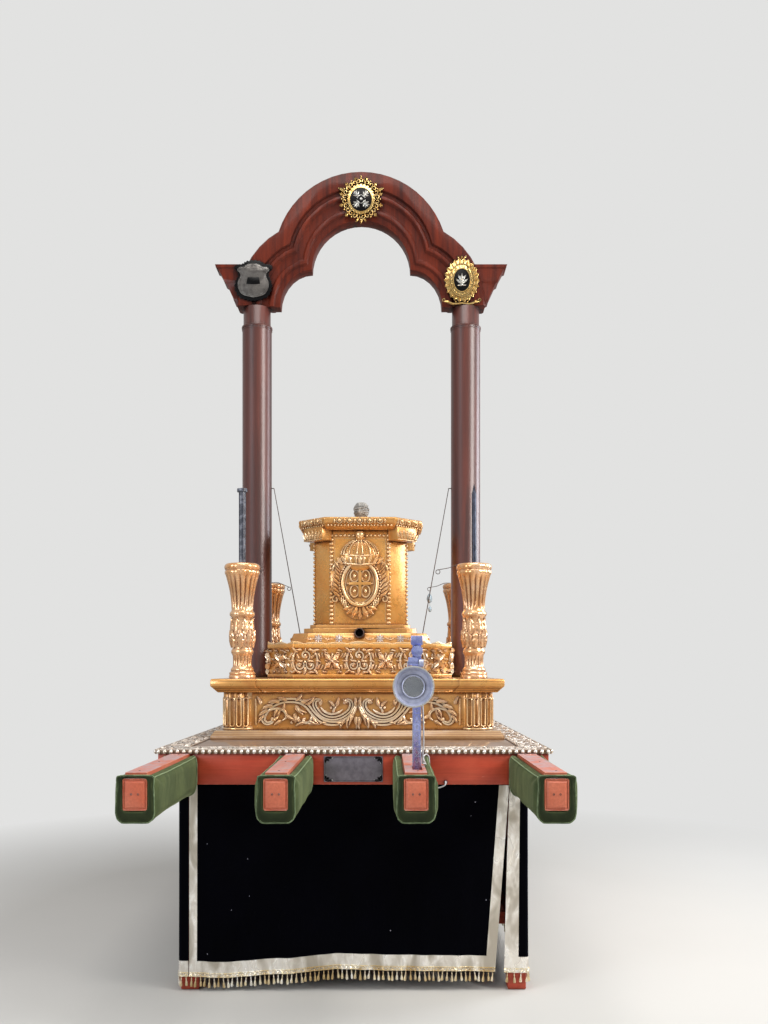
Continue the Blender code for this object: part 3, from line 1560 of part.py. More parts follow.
def make_lamp_cable():
    """The cable from its clip on the bar, down the bar and along the pole to the front rail."""
    bar_back = BAR_FRONT + BAR_THICKNESS + SEAT_GAP
    bar_side = LAMP_X + BAR_WIDTH / 2
    clip_low = STRIP_TOP - SLOT_DEPTH + CLIP_RISE
    clip_x = LAMP_X + CLIP_SHIFT
    block(
        "cable_clip",
        (clip_x - CLIP_WIDTH / 2, bar_back, clip_low),
        (clip_x + CLIP_WIDTH / 2, bar_back + CLIP_DEPTH, clip_low + CLIP_HEIGHT),
        STEEL,
    )
    rail_face = -RAIL_FRONT
    grommet_z = POLE_BOTTOM + GROMMET_RISE
    drum(
        "cable_grommet",
        GROMMET_RADIUS,
        GROMMET_LENGTH,
        (GROMMET_X, rail_face - SEAT_GAP - GROMMET_LENGTH / 2, grommet_z),
        "Y",
        DARK_ROD,
        LAMP_SIDES // 2,
    )
    radius = CABLE_RADIUS
    lie = SEAT_GAP + radius
    strip_side = pole_x(2) + STRIP_WIDTH / 2
    pad_side = pole_x(2) + PAD_WIDTH / 2
    pad_top = STRIP_TOP - PAD_STRIP_STEP
    behind = bar_back + CLIP_DEPTH / 2
    mouth = rail_face - SEAT_GAP - GROMMET_LENGTH - SEAT_GAP
    route = [
        (clip_x, behind, clip_low - SEAT_GAP),
        (clip_x, behind, clip_low - 4 * radius),
        (clip_x + radius, behind, clip_low - 12 * radius),
        (bar_side + 2 * radius, behind, clip_low - 24 * radius),
        (bar_side + 3 * radius, behind, STRIP_TOP + 30 * radius),
        (bar_side + 2 * radius, behind, STRIP_TOP + 12 * radius),
        (bar_side + 2 * radius, behind + 2 * radius, STRIP_TOP + 4 * radius),
        (bar_side + 4 * radius, behind + 8 * radius, STRIP_TOP + 2 * lie),
        (strip_side + lie, behind + 16 * radius, pad_top + 3 * lie),
        (strip_side + 2 * lie, behind + 30 * radius, pad_top + 1.4 * lie),
        (strip_side + 2 * lie, behind + 80 * radius, pad_top + 1.1 * lie),
        (strip_side + 3 * lie, rail_face - 36 * radius, pad_top + 1.4 * lie),
        (pad_side - 2 * radius, rail_face - 10 * radius, pad_top + 2 * lie),
        (pad_side + 2 * radius, rail_face - 4 * radius, pad_top - 2 * radius),
        (pad_side + 3 * radius, rail_face - 2 * lie, pad_top - 12 * radius),
        (pad_side + 4 * radius, rail_face - 2 * lie, POLE_BOTTOM + 14 * radius),
        (pad_side + 7 * radius, rail_face - 2 * lie, POLE_BOTTOM + 2 * radius),
        (pad_side + 14 * radius, rail_face - 3 * lie, POLE_BOTTOM - 4 * radius),
        (GROMMET_X - 2 * radius, mouth - 4 * radius, grommet_z - 4 * radius),
        (GROMMET_X, mouth - 2 * radius, grommet_z),
        (GROMMET_X, mouth, grommet_z),
    ]
    tube("lamp_cable", smooth_route(route, CABLE_POINT_PITCH), radius, CABLE)


def make_lamp():
    """The lamp's three moving stages and its cable."""
    swing = make_lamp_bar()
    tilt_place = make_lamp_link(swing)
    make_lamp_head(*tilt_place)
    make_lamp_cable()


def main():
    make_legs()
    for index in range(POLE_COUNT):
        make_pole(index)
        make_pad(index, -1)
        make_pad(index, 1)
    for sign in (-1, 1):
        make_end_rail(sign)
        make_side_rail(sign)
        make_column(sign)
    make_deck()
    make_rail_plate()
    make_skirts()
    make_plinth()
    make_balusters()
    make_rods()
    make_tier()
    make_pedestal()
    make_cartouche()
    make_arch()
    make_ornaments()
    make_stays()
    make_lamp()


main()
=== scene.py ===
"""Looks of a gilded processional palanquin, modelled and painted over its CAD frame.

Metres, +Z up, the front faces -Y. Each sub-assembly is a class whose fields are its sizes. Its build
method models the pieces at their place in the frame, dresses them in a finish and lets them ride on
their body.
"""
import logging
import math
from contextlib import contextmanager
from dataclasses import dataclass
from enum import Enum
from typing import Callable, Iterator, Sequence

import bmesh
import bpy
from mathutils import Matrix, Vector, noise


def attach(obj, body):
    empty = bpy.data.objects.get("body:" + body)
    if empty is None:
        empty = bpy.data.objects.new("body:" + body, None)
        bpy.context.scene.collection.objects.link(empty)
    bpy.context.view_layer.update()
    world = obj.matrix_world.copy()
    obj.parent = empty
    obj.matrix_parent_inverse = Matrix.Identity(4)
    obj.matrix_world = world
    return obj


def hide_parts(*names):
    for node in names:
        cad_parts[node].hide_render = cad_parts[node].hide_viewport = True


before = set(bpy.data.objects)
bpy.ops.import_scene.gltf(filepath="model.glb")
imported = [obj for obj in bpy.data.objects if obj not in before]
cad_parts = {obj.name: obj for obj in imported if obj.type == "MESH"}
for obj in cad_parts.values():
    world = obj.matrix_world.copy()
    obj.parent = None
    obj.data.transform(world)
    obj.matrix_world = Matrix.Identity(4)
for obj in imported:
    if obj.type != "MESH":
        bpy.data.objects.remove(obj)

LOG = logging.getLogger("palanquin")
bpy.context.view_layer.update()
TURN = 2 * math.pi
Colour = tuple[float, float, float, float]
Point = Sequence[float]
Spot = tuple[float, float, float, float]
Socket = bpy.types.NodeSocket
Obj = bpy.types.Object
Value = float | Socket
POLE_X = (-0.8475, -0.2825, 0.2825, 0.8475)
POLE_END = 2.30


class Body(Enum):
    """The bodies of the frame that a piece can ride on."""

    LITTER = "litter"
    LINK = "lamp_link"
    HEAD = "lamp_head"


class Facing(Enum):
    """The four faces of a square stage of the litter, as turns about +Z from the front."""

    FRONT = 0
    RIGHT = 90
    REAR = 180
    LEFT = 270

    @property
    def turn(self) -> Matrix:
        """The rotation that carries the front face to this one."""
        return Matrix.Rotation(math.radians(self.value), 4, "Z")

    @property
    def canted(self) -> Matrix:
        """The rotation that carries the front face to the canted face after this one."""
        return Matrix.Rotation(math.radians(self.value + 45), 4, "Z")


def srgb(red: float, green: float, blue: float) -> Colour:
    """A colour from its 0 to 255 values, in Blender's linear terms."""
    shares = [value / 255 for value in (red, green, blue)]
    linear = [s / 12.92 if s <= 0.04045 else ((s + 0.055) / 1.055) ** 2.4 for s in shares]
    return (*linear, 1.0)


# Wiring of materials


class Desk:
    """A node tree being wired: each call adds a node, sets its values and links its inputs."""

    def __init__(self, tree: bpy.types.NodeTree) -> None:
        """Starts on an empty tree."""
        self.tree = tree
        tree.nodes.clear()

    def add(self, kind: str, inputs: dict | None = None, **settings) -> bpy.types.Node:
        """Adds one node.

        Args:
            kind: the node's type without its ShaderNode prefix, or a full type name.
            inputs: values or sockets by input name or number.
            settings: the node's own properties.

        Returns:
            The new node.
        """
        node = self.tree.nodes.new(kind if kind.startswith("Node") else f"ShaderNode{kind}")
        for key, value in settings.items():
            setattr(node, key, value)
        for key, value in (inputs or {}).items():
            if isinstance(value, Socket):
                self.tree.links.new(value, node.inputs[key])
            else:
                node.inputs[key].default_value = value
        return node

    def place(self, stretch: Point = (1, 1, 1), turn: Point = (0, 0, 0)) -> Socket:
        """Object coordinates, stretched and turned."""
        source = self.add("TexCoord").outputs["Object"]
        inputs = {"Vector": source, "Scale": stretch, "Rotation": turn}
        return self.add("Mapping", inputs).outputs[0]

    def noise(
        self, where: Socket, scale: float, detail: float = 4, rough: float = 0.55, warp: float = 0
    ) -> Socket:
        """Fractal noise from 0 to 1."""
        inputs = {"Vector": where, "Scale": scale, "Detail": detail, "Roughness": rough, "Distortion": warp}
        return self.add("TexNoise", inputs).outputs[0]

    def maths(self, operation: str, a: Value, b: Value = 0.0, clamp: bool = False) -> Socket:
        """One sum."""
        return self.add("Math", {0: a, 1: b}, operation=operation, use_clamp=clamp).outputs[0]

    def span(self, value: Socket, low: float, high: float, to_low: float = 0, to_high: float = 1) -> Socket:
        """A value carried from one range to another, held inside it."""
        inputs = {"Value": value, "From Min": low, "From Max": high, "To Min": to_low, "To Max": to_high}
        return self.add("MapRange", inputs).outputs[0]

    def mix(self, share: Value, a: Colour | Socket, b: Colour | Socket) -> Socket:
        """Two colours mixed."""
        return self.add("Mix", {0: share, 6: a, 7: b}, data_type="RGBA").outputs[2]

    def bump(self, height: Socket, strength: float, depth: float, under: Socket | None = None) -> Socket:
        """A normal raised by a height."""
        inputs = {"Height": height, "Strength": strength, "Distance": depth}
        if under is not None:
            inputs["Normal"] = under
        return self.add("Bump", inputs).outputs[0]

    def group(self, tree: bpy.types.NodeTree, **inputs) -> bpy.types.Node:
        """Places a shared effect with its own values; an underscore in a name stands for a space."""
        node = self.add("Group", node_tree=tree)
        for key, value in inputs.items():
            socket = node.inputs[key.replace("_", " ")]
            if isinstance(value, Socket):
                self.tree.links.new(value, socket)
            else:
                socket.default_value = value
        return node


def new_group(
    name: str, inputs: dict[str, float], outputs: dict[str, str]
) -> tuple[Desk, dict, bpy.types.Node]:
    """An empty shared effect.

    Args:
        name: the group's name.
        inputs: numbers that a material may set, with their defaults.
        outputs: names with Float or Vector.

    Returns:
        The desk to wire it on, its input sockets by name, and its output node.
    """
    tree = bpy.data.node_groups.new(name, "ShaderNodeTree")
    for key, value in inputs.items():
        made = tree.interface.new_socket(name=key, in_out="INPUT", socket_type="NodeSocketFloat")
        made.default_value = value
    for key, kind in outputs.items():
        tree.interface.new_socket(name=key, in_out="OUTPUT", socket_type=f"NodeSocket{kind}")
    desk = Desk(tree)
    entry = desk.add("NodeGroupInput")
    return desk, {key: entry.outputs[key] for key in inputs}, desk.add("NodeGroupOutput")


class Effects:
    """Shader effects that several finishes share, each built once."""

    def __init__(self) -> None:
        """Builds the four groups."""
        self.painted_shade = self.build_painted_shade()
        self.wear = self.build_edge_wear_and_highlight()
        self.dust = self.build_dust()
        self.grain = self.build_grain()

    @staticmethod
    def build_painted_shade() -> bpy.types.NodeTree:
        """A mask of painted shade, 1 deep in carving and corners by ambient occlusion, broken up by noise."""
        desk, given, out = new_group("painted_shade", {"Reach": 0.02, "Strength": 1.6}, {"Mask": "Float"})
        shelter = desk.add("AmbientOcclusion", {"Distance": given["Reach"]}, samples=6)
        closed = desk.maths("SUBTRACT", 1.0, shelter.outputs["AO"])
        patchy = desk.span(desk.noise(desk.place(), 38), 0.3, 0.7, 0.7, 1.25)
        strong = desk.maths("MULTIPLY", desk.maths("MULTIPLY", closed, patchy), given["Strength"], clamp=True)
        desk.tree.links.new(strong, out.inputs["Mask"])
        return desk.tree

    @staticmethod
    def build_edge_wear_and_highlight() -> bpy.types.NodeTree:
        """A mask that is 1 on outer edges: worn edges on paint, and a painted highlight on gilding, varnish and
        metal.
        """
        desk, given, out = new_group("edge wear and highlight", {"Reach": 0.004, "Amount": 1.0}, {"Mask": "Float"})
        rounded = desk.add("Bevel", {"Radius": given["Reach"]}, samples=4).outputs[0]
        flat = desk.add("NewGeometry").outputs["Normal"]
        dot = desk.add("VectorMath", {0: rounded, 1: flat}, operation="DOT_PRODUCT").outputs["Value"]
        edge = desk.span(dot, 0.99, 0.86)
        patchy = desk.span(desk.noise(desk.place(), 55, 6), 0.42, 0.62)
        worn = desk.maths("MULTIPLY", desk.maths("MULTIPLY", edge, patchy), given["Amount"], clamp=True)
        desk.tree.links.new(worn, out.inputs["Mask"])
        return desk.tree

    @staticmethod
    def build_dust() -> bpy.types.NodeTree:
        """A mask that is 1 where dust settles on what looks up."""
        desk, given, out = new_group("dust", {"Amount": 0.5, "Scale": 9.0}, {"Mask": "Float"})
        normal = desk.add("NewGeometry").outputs["Normal"]
        up = desk.span(desk.add("SeparateXYZ", {0: normal}).outputs[2], 0.55, 0.95)
        patchy = desk.span(desk.noise(desk.place(), given["Scale"], 7, 0.65), 0.34, 0.62)
        dusty = desk.maths("MULTIPLY", desk.maths("MULTIPLY", up, patchy), given["Amount"], clamp=True)
        desk.tree.links.new(dusty, out.inputs["Mask"])
        return desk.tree

    @staticmethod
    def build_grain() -> bpy.types.NodeTree:
        """Wood grain along Z: fine pores and broad figure."""
        desk, given, out = new_group("grain", {"Scale": 1.0}, {"Figure": "Float", "Pores": "Float"})
        long = desk.place((9, 9, 0.55))
        scaled = desk.add("VectorMath", {0: long, 3: given["Scale"]}, operation="SCALE").outputs[0]
        figure = desk.noise(scaled, 1.6, 6, 0.6, 1.4)
        fine = desk.place((230, 230, 5))
        pores = desk.span(desk.noise(fine, 1.0, 3, 0.6), 0.42, 0.66)
        desk.tree.links.new(figure, out.inputs["Figure"])
        desk.tree.links.new(pores, out.inputs["Pores"])
        return desk.tree


EFFECTS = Effects()


def new_material(name: str) -> tuple[bpy.types.Material, Desk]:
    """A material with an empty tree and the desk to wire it on."""
    material = bpy.data.materials.new(name)
    material.use_nodes = True
    return material, Desk(material.node_tree)


def output(desk: Desk, shader: bpy.types.Node) -> None:
    """Ends a material in its shader."""
    desk.add("OutputMaterial", {"Surface": shader.outputs[0]})


def principled(desk: Desk, inputs: dict, **plain: float | Colour) -> None:
    """Ends a material in a Principled shader.

    Args:
        desk: the desk that it is wired on.
        inputs: what changes over the surface.
        plain: constants by name; an underscore stands for a space.
    """
    constants = {key.replace("_", " "): value for key, value in plain.items()}
    output(desk, desk.add("BsdfPrincipled", {**inputs, **constants}))


# Finishes


@dataclass(frozen=True)
class Gilding:
    """Leaf over a red ground on carved wood, worn through to the ground in patches, with painted shade in carving
    and corners and a painted highlight on the outer edges.
    """

    name: str
    leaf: Colour = srgb(214, 150, 76)
    bright: Colour = srgb(236, 186, 112)
    # colour of the painted shade in carving, corners and quirks
    hollow_shade: Colour = srgb(112, 58, 24)
    bole: Colour = srgb(184, 104, 54)
    grey: Colour = srgb(150, 132, 112)
    roughness: float = 0.30
    dust: float = 0.35
    reach: float = 0.018
    depth: float = 0.9
    metal: float = 0.52
    quirks: tuple[float, ...] = ()

    def build(self) -> bpy.types.Material:
        """Wires the finish; its quirks are moulding lines at those heights, bumped in and darkened with painted
        shade.
        """
        material, desk = new_material(self.name)
        place = desk.place()
        clouds = desk.noise(place, 7, 5)
        rubbed_and_highlight = desk.span(desk.noise(place, 11, 8, 0.66, 0.3), 0.56, 0.74, 0, 0.5)
        colour = desk.mix(desk.span(clouds, 0.35, 0.75, 0, 0.6), self.leaf, self.bright)
        colour = desk.mix(rubbed_and_highlight, colour, self.bole)
        # painted shade: carving and corners darkened by ambient occlusion
        painted_shade = desk.group(EFFECTS.painted_shade, Reach=self.reach, Strength=self.depth * 2).outputs[0]
        colour = desk.mix(painted_shade, colour, self.hollow_shade)
        # painted highlight: outer edges lightened to the bright colour
        wear = desk.group(EFFECTS.wear, Reach=0.003, Amount=0.7).outputs[0]
        colour = desk.mix(wear, colour, self.bright)
        cut = self.moulding(desk, place) if self.quirks else None
        # painted shade: the quirk lines darkened
        if cut is not None:
            colour = desk.mix(desk.maths("MULTIPLY", cut, 0.75), colour, self.hollow_shade)
        dust = desk.group(EFFECTS.dust, Amount=self.dust).outputs[0]
        colour = desk.mix(dust, colour, self.grey)
        rough = desk.span(desk.noise(place, 22, 5), 0.3, 0.7, self.roughness - 0.07, self.roughness + 0.12)
        rough = desk.maths("ADD", rough, desk.maths("MULTIPLY", dust, 0.4), clamp=True)
        dull = desk.maths("MAXIMUM", dust, desk.maths("MULTIPLY", painted_shade, 0.5))
        metal = desk.span(dull, 0, 1, self.metal, 0.10)
        tool = desk.noise(place, 60, 3, 0.5, 0.6)
        leafing = desk.noise(place, 260, 2)
        normal = desk.bump(leafing, 0.12, 0.0004, desk.bump(tool, 0.35, 0.0012))
        if cut is not None:
            normal = desk.bump(cut, -0.8, 0.0025, normal)
        inputs = {"Base Color": colour, "Metallic": metal, "Roughness": rough, "Normal": normal}
        principled(desk, inputs, Coat_Weight=0.55, Coat_Roughness=0.12)
        return material

    def moulding(self, desk: Desk, place: Socket) -> Socket:
        """A mask that is 1 along the quirks."""
        level = desk.add("SeparateXYZ", {0: place}).outputs[2]
        lines = []
        for height in self.quirks:
            gap = desk.maths("ABSOLUTE", desk.maths("SUBTRACT", level, height))
            lines.append(desk.span(gap, 0.0009, 0.0021, 1, 0))
        cut = lines[0]
        for line in lines[1:]:
            cut = desk.maths("MAXIMUM", cut, line)
        return cut


@dataclass(frozen=True)
class Varnish:
    """Dark red-brown wood under a glossy varnish, its grain along Z, with painted shade in its carving and corners
    and a painted highlight on its edges.
    """

    name: str
    dark: Colour = srgb(56, 17, 10)
    light: Colour = srgb(94, 34, 19)
    coat: float = 0.14
    gloss: float = 0.14
    shine: float = 0.12

    def build(self) -> bpy.types.Material:
        """Wires the finish."""
        material, desk = new_material(self.name)
        grain = desk.group(EFFECTS.grain, Scale=1.0)
        figure, pores = grain.outputs["Figure"], grain.outputs["Pores"]
        colour = desk.mix(desk.span(figure, 0.3, 0.7), self.dark, self.light)
        colour = desk.mix(desk.maths("MULTIPLY", pores, 0.18), colour, srgb(36, 11, 8))
        # painted shade: carving and corners darkened by ambient occlusion
        painted_shade = desk.group(EFFECTS.painted_shade, Reach=0.04, Strength=1.7).outputs[0]
        colour = desk.mix(painted_shade, colour, srgb(20, 5, 5))
        # painted highlight: outer edges lightened to an orange-brown
        wear = desk.group(EFFECTS.wear, Reach=0.003, Amount=0.55).outputs[0]
        colour = desk.mix(wear, colour, srgb(150, 62, 36))
        dust = desk.group(EFFECTS.dust, Amount=0.4).outputs[0]
        colour = desk.mix(dust, colour, srgb(120, 98, 86))
        smear = desk.noise(desk.place((1, 1, 0.25)), 11, 5)
        rough = desk.span(smear, 0.3, 0.7, 0.44, 0.58)
        waves = desk.noise(desk.place((3, 3, 0.6)), 5, 2)
        normal = desk.bump(pores, 0.10, 0.0004, desk.bump(waves, 0.12, 0.004))
        inputs = {"Base Color": colour, "Roughness": rough, "Normal": normal}
        coat = {"Coat_Weight": self.coat, "Coat_Roughness": self.gloss}
        principled(desk, inputs, Specular_IOR_Level=self.shine, **coat)
        return material


@dataclass(frozen=True)
class Paint:
    """Brick-red paint on wood, brushed, chalky on top, worn to pale wood at the edges and darkened with painted
    shade in its corners.
    """

    name: str
    colour: Colour
    faded: Colour
    roughness: float = 0.5
    along: Point = (1.2, 22, 22)
    wear: float = 0.9
    dust: float = 0.5
    settled: Colour = srgb(170, 128, 114)
    shelter: float = 0.9

    def build(self) -> bpy.types.Material:
        """Wires the finish."""
        material, desk = new_material(self.name)
        brush = desk.noise(desk.place(self.along), 4, 5, 0.6, 0.3)
        clouds = desk.noise(desk.place(), 5, 6, 0.6)
        colour = desk.mix(desk.span(clouds, 0.35, 0.68), self.colour, self.faded)
        colour = desk.mix(desk.span(brush, 0.35, 0.7, 0, 0.28), colour, srgb(112, 40, 22))
        # painted shade: corners darkened by ambient occlusion
        painted_shade = desk.group(EFFECTS.painted_shade, Reach=0.02, Strength=self.shelter).outputs[0]
        colour = desk.mix(painted_shade, colour, srgb(66, 20, 12))
        wear = desk.group(EFFECTS.wear, Reach=0.004, Amount=self.wear).outputs[0]
        colour = desk.mix(wear, colour, srgb(214, 150, 118))
        scuffs = desk.span(desk.noise(desk.place((3, 3, 3)), 9, 9, 0.72, 0.8), 0.66, 0.72)
        colour = desk.mix(desk.maths("MULTIPLY", scuffs, 0.5), colour, srgb(226, 176, 150))
        dust = desk.group(EFFECTS.dust, Amount=self.dust, Scale=14.0).outputs[0]
        colour = desk.mix(dust, colour, self.settled)
        rough = desk.span(brush, 0.2, 0.8, self.roughness - 0.1, self.roughness + 0.15)
        normal = desk.bump(brush, 0.18, 0.0008, desk.bump(clouds, 0.15, 0.003))
        inputs = {"Base Color": colour, "Roughness": rough, "Normal": normal}
        principled(desk, inputs, Coat_Weight=0.15, Coat_Roughness=0.35)
        return material


@dataclass(frozen=True)
class Velvet:
    """Pile fabric with a soft sheen, brushed in patches, its nap a fine bump; painted shade darkens its creases
    and the faces that look to the front and the rear.
    """

    name: str
    colour: Colour
    brushed: Colour
    sheen: Colour
    sheen_weight: float = 0.6
    patch: float = 6.0
    lint: float = 0.0
    shine: float = 0.2

    def build(self) -> bpy.types.Material:
        """Wires the finish."""
        material, desk = new_material(self.name)
        place = desk.place()
        patches = desk.noise(desk.place((1, 1, 0.7)), self.patch, 5, 0.6, 0.8)
        nap = desk.noise(place, 900, 2)
        colour = desk.mix(desk.span(patches, 0.36, 0.70, 0, 0.7), self.colour, self.brushed)
        colour = desk.mix(desk.span(nap, 0.3, 0.7, 0, 0.35), colour, self.brushed)
        # painted shade: creases darkened by ambient occlusion
        painted_shade = desk.group(EFFECTS.painted_shade, Reach=0.025, Strength=0.9).outputs[0]
        dark = tuple(value * 0.25 for value in self.colour[:3]) + (1.0,)
        colour = desk.mix(painted_shade, colour, dark)
        # painted shade: faces that look along Y, to the front and the rear, darkened
        ends = desk.add("SeparateXYZ", {0: desk.add("NewGeometry").outputs["Normal"]}).outputs[1]
        painted_end_shade = desk.span(desk.maths("ABSOLUTE", ends), 0.70, 0.95, 0, 0.75)
        colour = desk.mix(painted_end_shade, colour, dark)
        if self.lint:
            flecks = desk.add("TexVoronoi", {"Vector": place, "Scale": 10.0}).outputs["Distance"]
            colour = desk.mix(desk.span(flecks, 0.028, 0.018, 0, self.lint), colour, srgb(190, 190, 205))
        normal = desk.bump(nap, 0.30, 0.0006, desk.bump(patches, 0.20, 0.004))
        sheen = {"Sheen_Weight": self.sheen_weight, "Sheen_Roughness": 0.35, "Sheen_Tint": self.sheen}
        inputs = {"Base Color": colour, "Normal": normal}
        principled(desk, inputs, Roughness=0.92, Specular_IOR_Level=self.shine, **sheen)
        return material


@dataclass(frozen=True)
class Lame:
    """Pale metallic cloth: satin threads, crushed along its length, its folds coloured paler and deeper as painted
    light and shade, with painted highlight spots on the crushes.
    """

    name: str
    pale: Colour = srgb(240, 234, 224)
    deep: Colour = srgb(184, 175, 160)
    painted_glint: Colour = srgb(255, 252, 246)

    def build(self) -> bpy.types.Material:
        """Wires the finish."""
        material, desk = new_material(self.name)
        crush = desk.noise(desk.place((1, 1, 0.5)), 30, 4, 0.6, 0.8)
        fold = desk.noise(desk.place((1, 1, 0.45)), 11, 2, 0.5, 0.7)
        thread = desk.noise(desk.place((1, 1, 1)), 700, 2)
        # painted light and shade: the folds coloured paler and deeper
        colour = desk.mix(desk.span(fold, 0.38, 0.60), self.deep, self.pale)
        # painted highlight spots on the crushes over the paler side of the folds
        painted_glint = desk.maths("MULTIPLY", desk.span(crush, 0.46, 0.62), desk.span(fold, 0.44, 0.58))
        colour = desk.mix(painted_glint, colour, self.painted_glint)
        rough = desk.span(fold, 0.35, 0.65, 0.44, 0.24)
        normal = desk.bump(thread, 0.15, 0.0004, desk.bump(crush, 0.45, 0.006, desk.bump(fold, 0.7, 0.020)))
        inputs = {"Base Color": colour, "Roughness": rough, "Normal": normal}
        principled(desk, inputs, Metallic=0.62, Sheen_Weight=0.2, Sheen_Roughness=0.4)
        return material


@dataclass(frozen=True)
class Metal:
    """Bare, plated or painted metal with scratches and stains, painted shade in its grooves and corners and a
    painted highlight on its edges.
    """

    name: str
    colour: Colour
    stain: Colour
    metallic: float = 0.9
    roughness: float = 0.32
    reach: float = 0.006
    shelter: float = 1.4

    def build(self) -> bpy.types.Material:
        """Wires the finish."""
        material, desk = new_material(self.name)
        clouds = desk.noise(desk.place(), 30, 6, 0.6)
        scratch = desk.noise(desk.place((12, 220, 220)), 1.2, 4, 0.6)
        colour = desk.mix(desk.span(clouds, 0.40, 0.70), self.colour, self.stain)
        # painted shade: grooves and corners darkened by ambient occlusion
        painted_shade = desk.group(EFFECTS.painted_shade, Reach=self.reach, Strength=self.shelter).outputs[0]
        dark = tuple(value * 0.2 for value in self.stain[:3]) + (1.0,)
        colour = desk.mix(painted_shade, colour, dark)
        # painted highlight: outer edges lightened halfway to white
        rubbed_and_highlight = tuple(0.5 + value * 0.5 for value in self.colour[:3]) + (1.0,)
        colour = desk.mix(desk.group(EFFECTS.wear, Reach=0.0015, Amount=0.7).outputs[0], colour, rubbed_and_highlight)
        rough = desk.span(clouds, 0.3, 0.7, self.roughness - 0.08, self.roughness + 0.14)
        normal = desk.bump(scratch, 0.08, 0.0005, desk.bump(clouds, 0.10, 0.0010))
        principled(desk, {"Base Color": colour, "Roughness": rough, "Normal": normal}, Metallic=self.metallic)
        return material


@dataclass(frozen=True)
class Wrap:
    """Dull tape or plastic with a fine tooth, smudged, with painted shade in its creases and corners."""

    name: str
    colour: Colour
    smudge: Colour
    roughness: float = 0.6
    scale: float = 18.0
    shine: float = 0.5

    def build(self) -> bpy.types.Material:
        """Wires the finish."""
        material, desk = new_material(self.name)
        smudges = desk.noise(desk.place(), self.scale, 6, 0.65, 0.5)
        tooth = desk.noise(desk.place(), self.scale * 30, 2)
        colour = desk.mix(desk.span(smudges, 0.45, 0.66), self.colour, self.smudge)
        # painted shade: creases and corners darkened by ambient occlusion
        painted_shade = desk.group(EFFECTS.painted_shade, Reach=0.008, Strength=1.1).outputs[0]
        dark = tuple(value * 0.3 for value in self.colour[:3]) + (1.0,)
        colour = desk.mix(painted_shade, colour, dark)
        rough = desk.span(smudges, 0.3, 0.7, self.roughness, self.roughness - 0.2)
        normal = desk.bump(tooth, 0.25, 0.0004, desk.bump(smudges, 0.2, 0.001))
        inputs = {"Base Color": colour, "Roughness": rough, "Normal": normal}
        principled(desk, inputs, Specular_IOR_Level=self.shine)
        return material


@dataclass(frozen=True)
class ClearGlass:
    """A lamp's clear lens with a few smears."""

    name: str

    def build(self) -> bpy.types.Material:
        """Wires the finish."""
        material, desk = new_material(self.name)
        smears = desk.noise(desk.place((3, 3, 3)), 14, 5, 0.6, 0.6)
        rough = desk.span(smears, 0.45, 0.7, 0.0, 0.10)
        normal = desk.bump(desk.noise(desk.place(), 9, 2), 0.006, 0.001)
        inputs = {"Base Color": srgb(226, 232, 238), "Roughness": rough, "Normal": normal}
        principled(desk, inputs, Transmission_Weight=0.85, Coat_Weight=1.0, IOR=1.5)
        return material


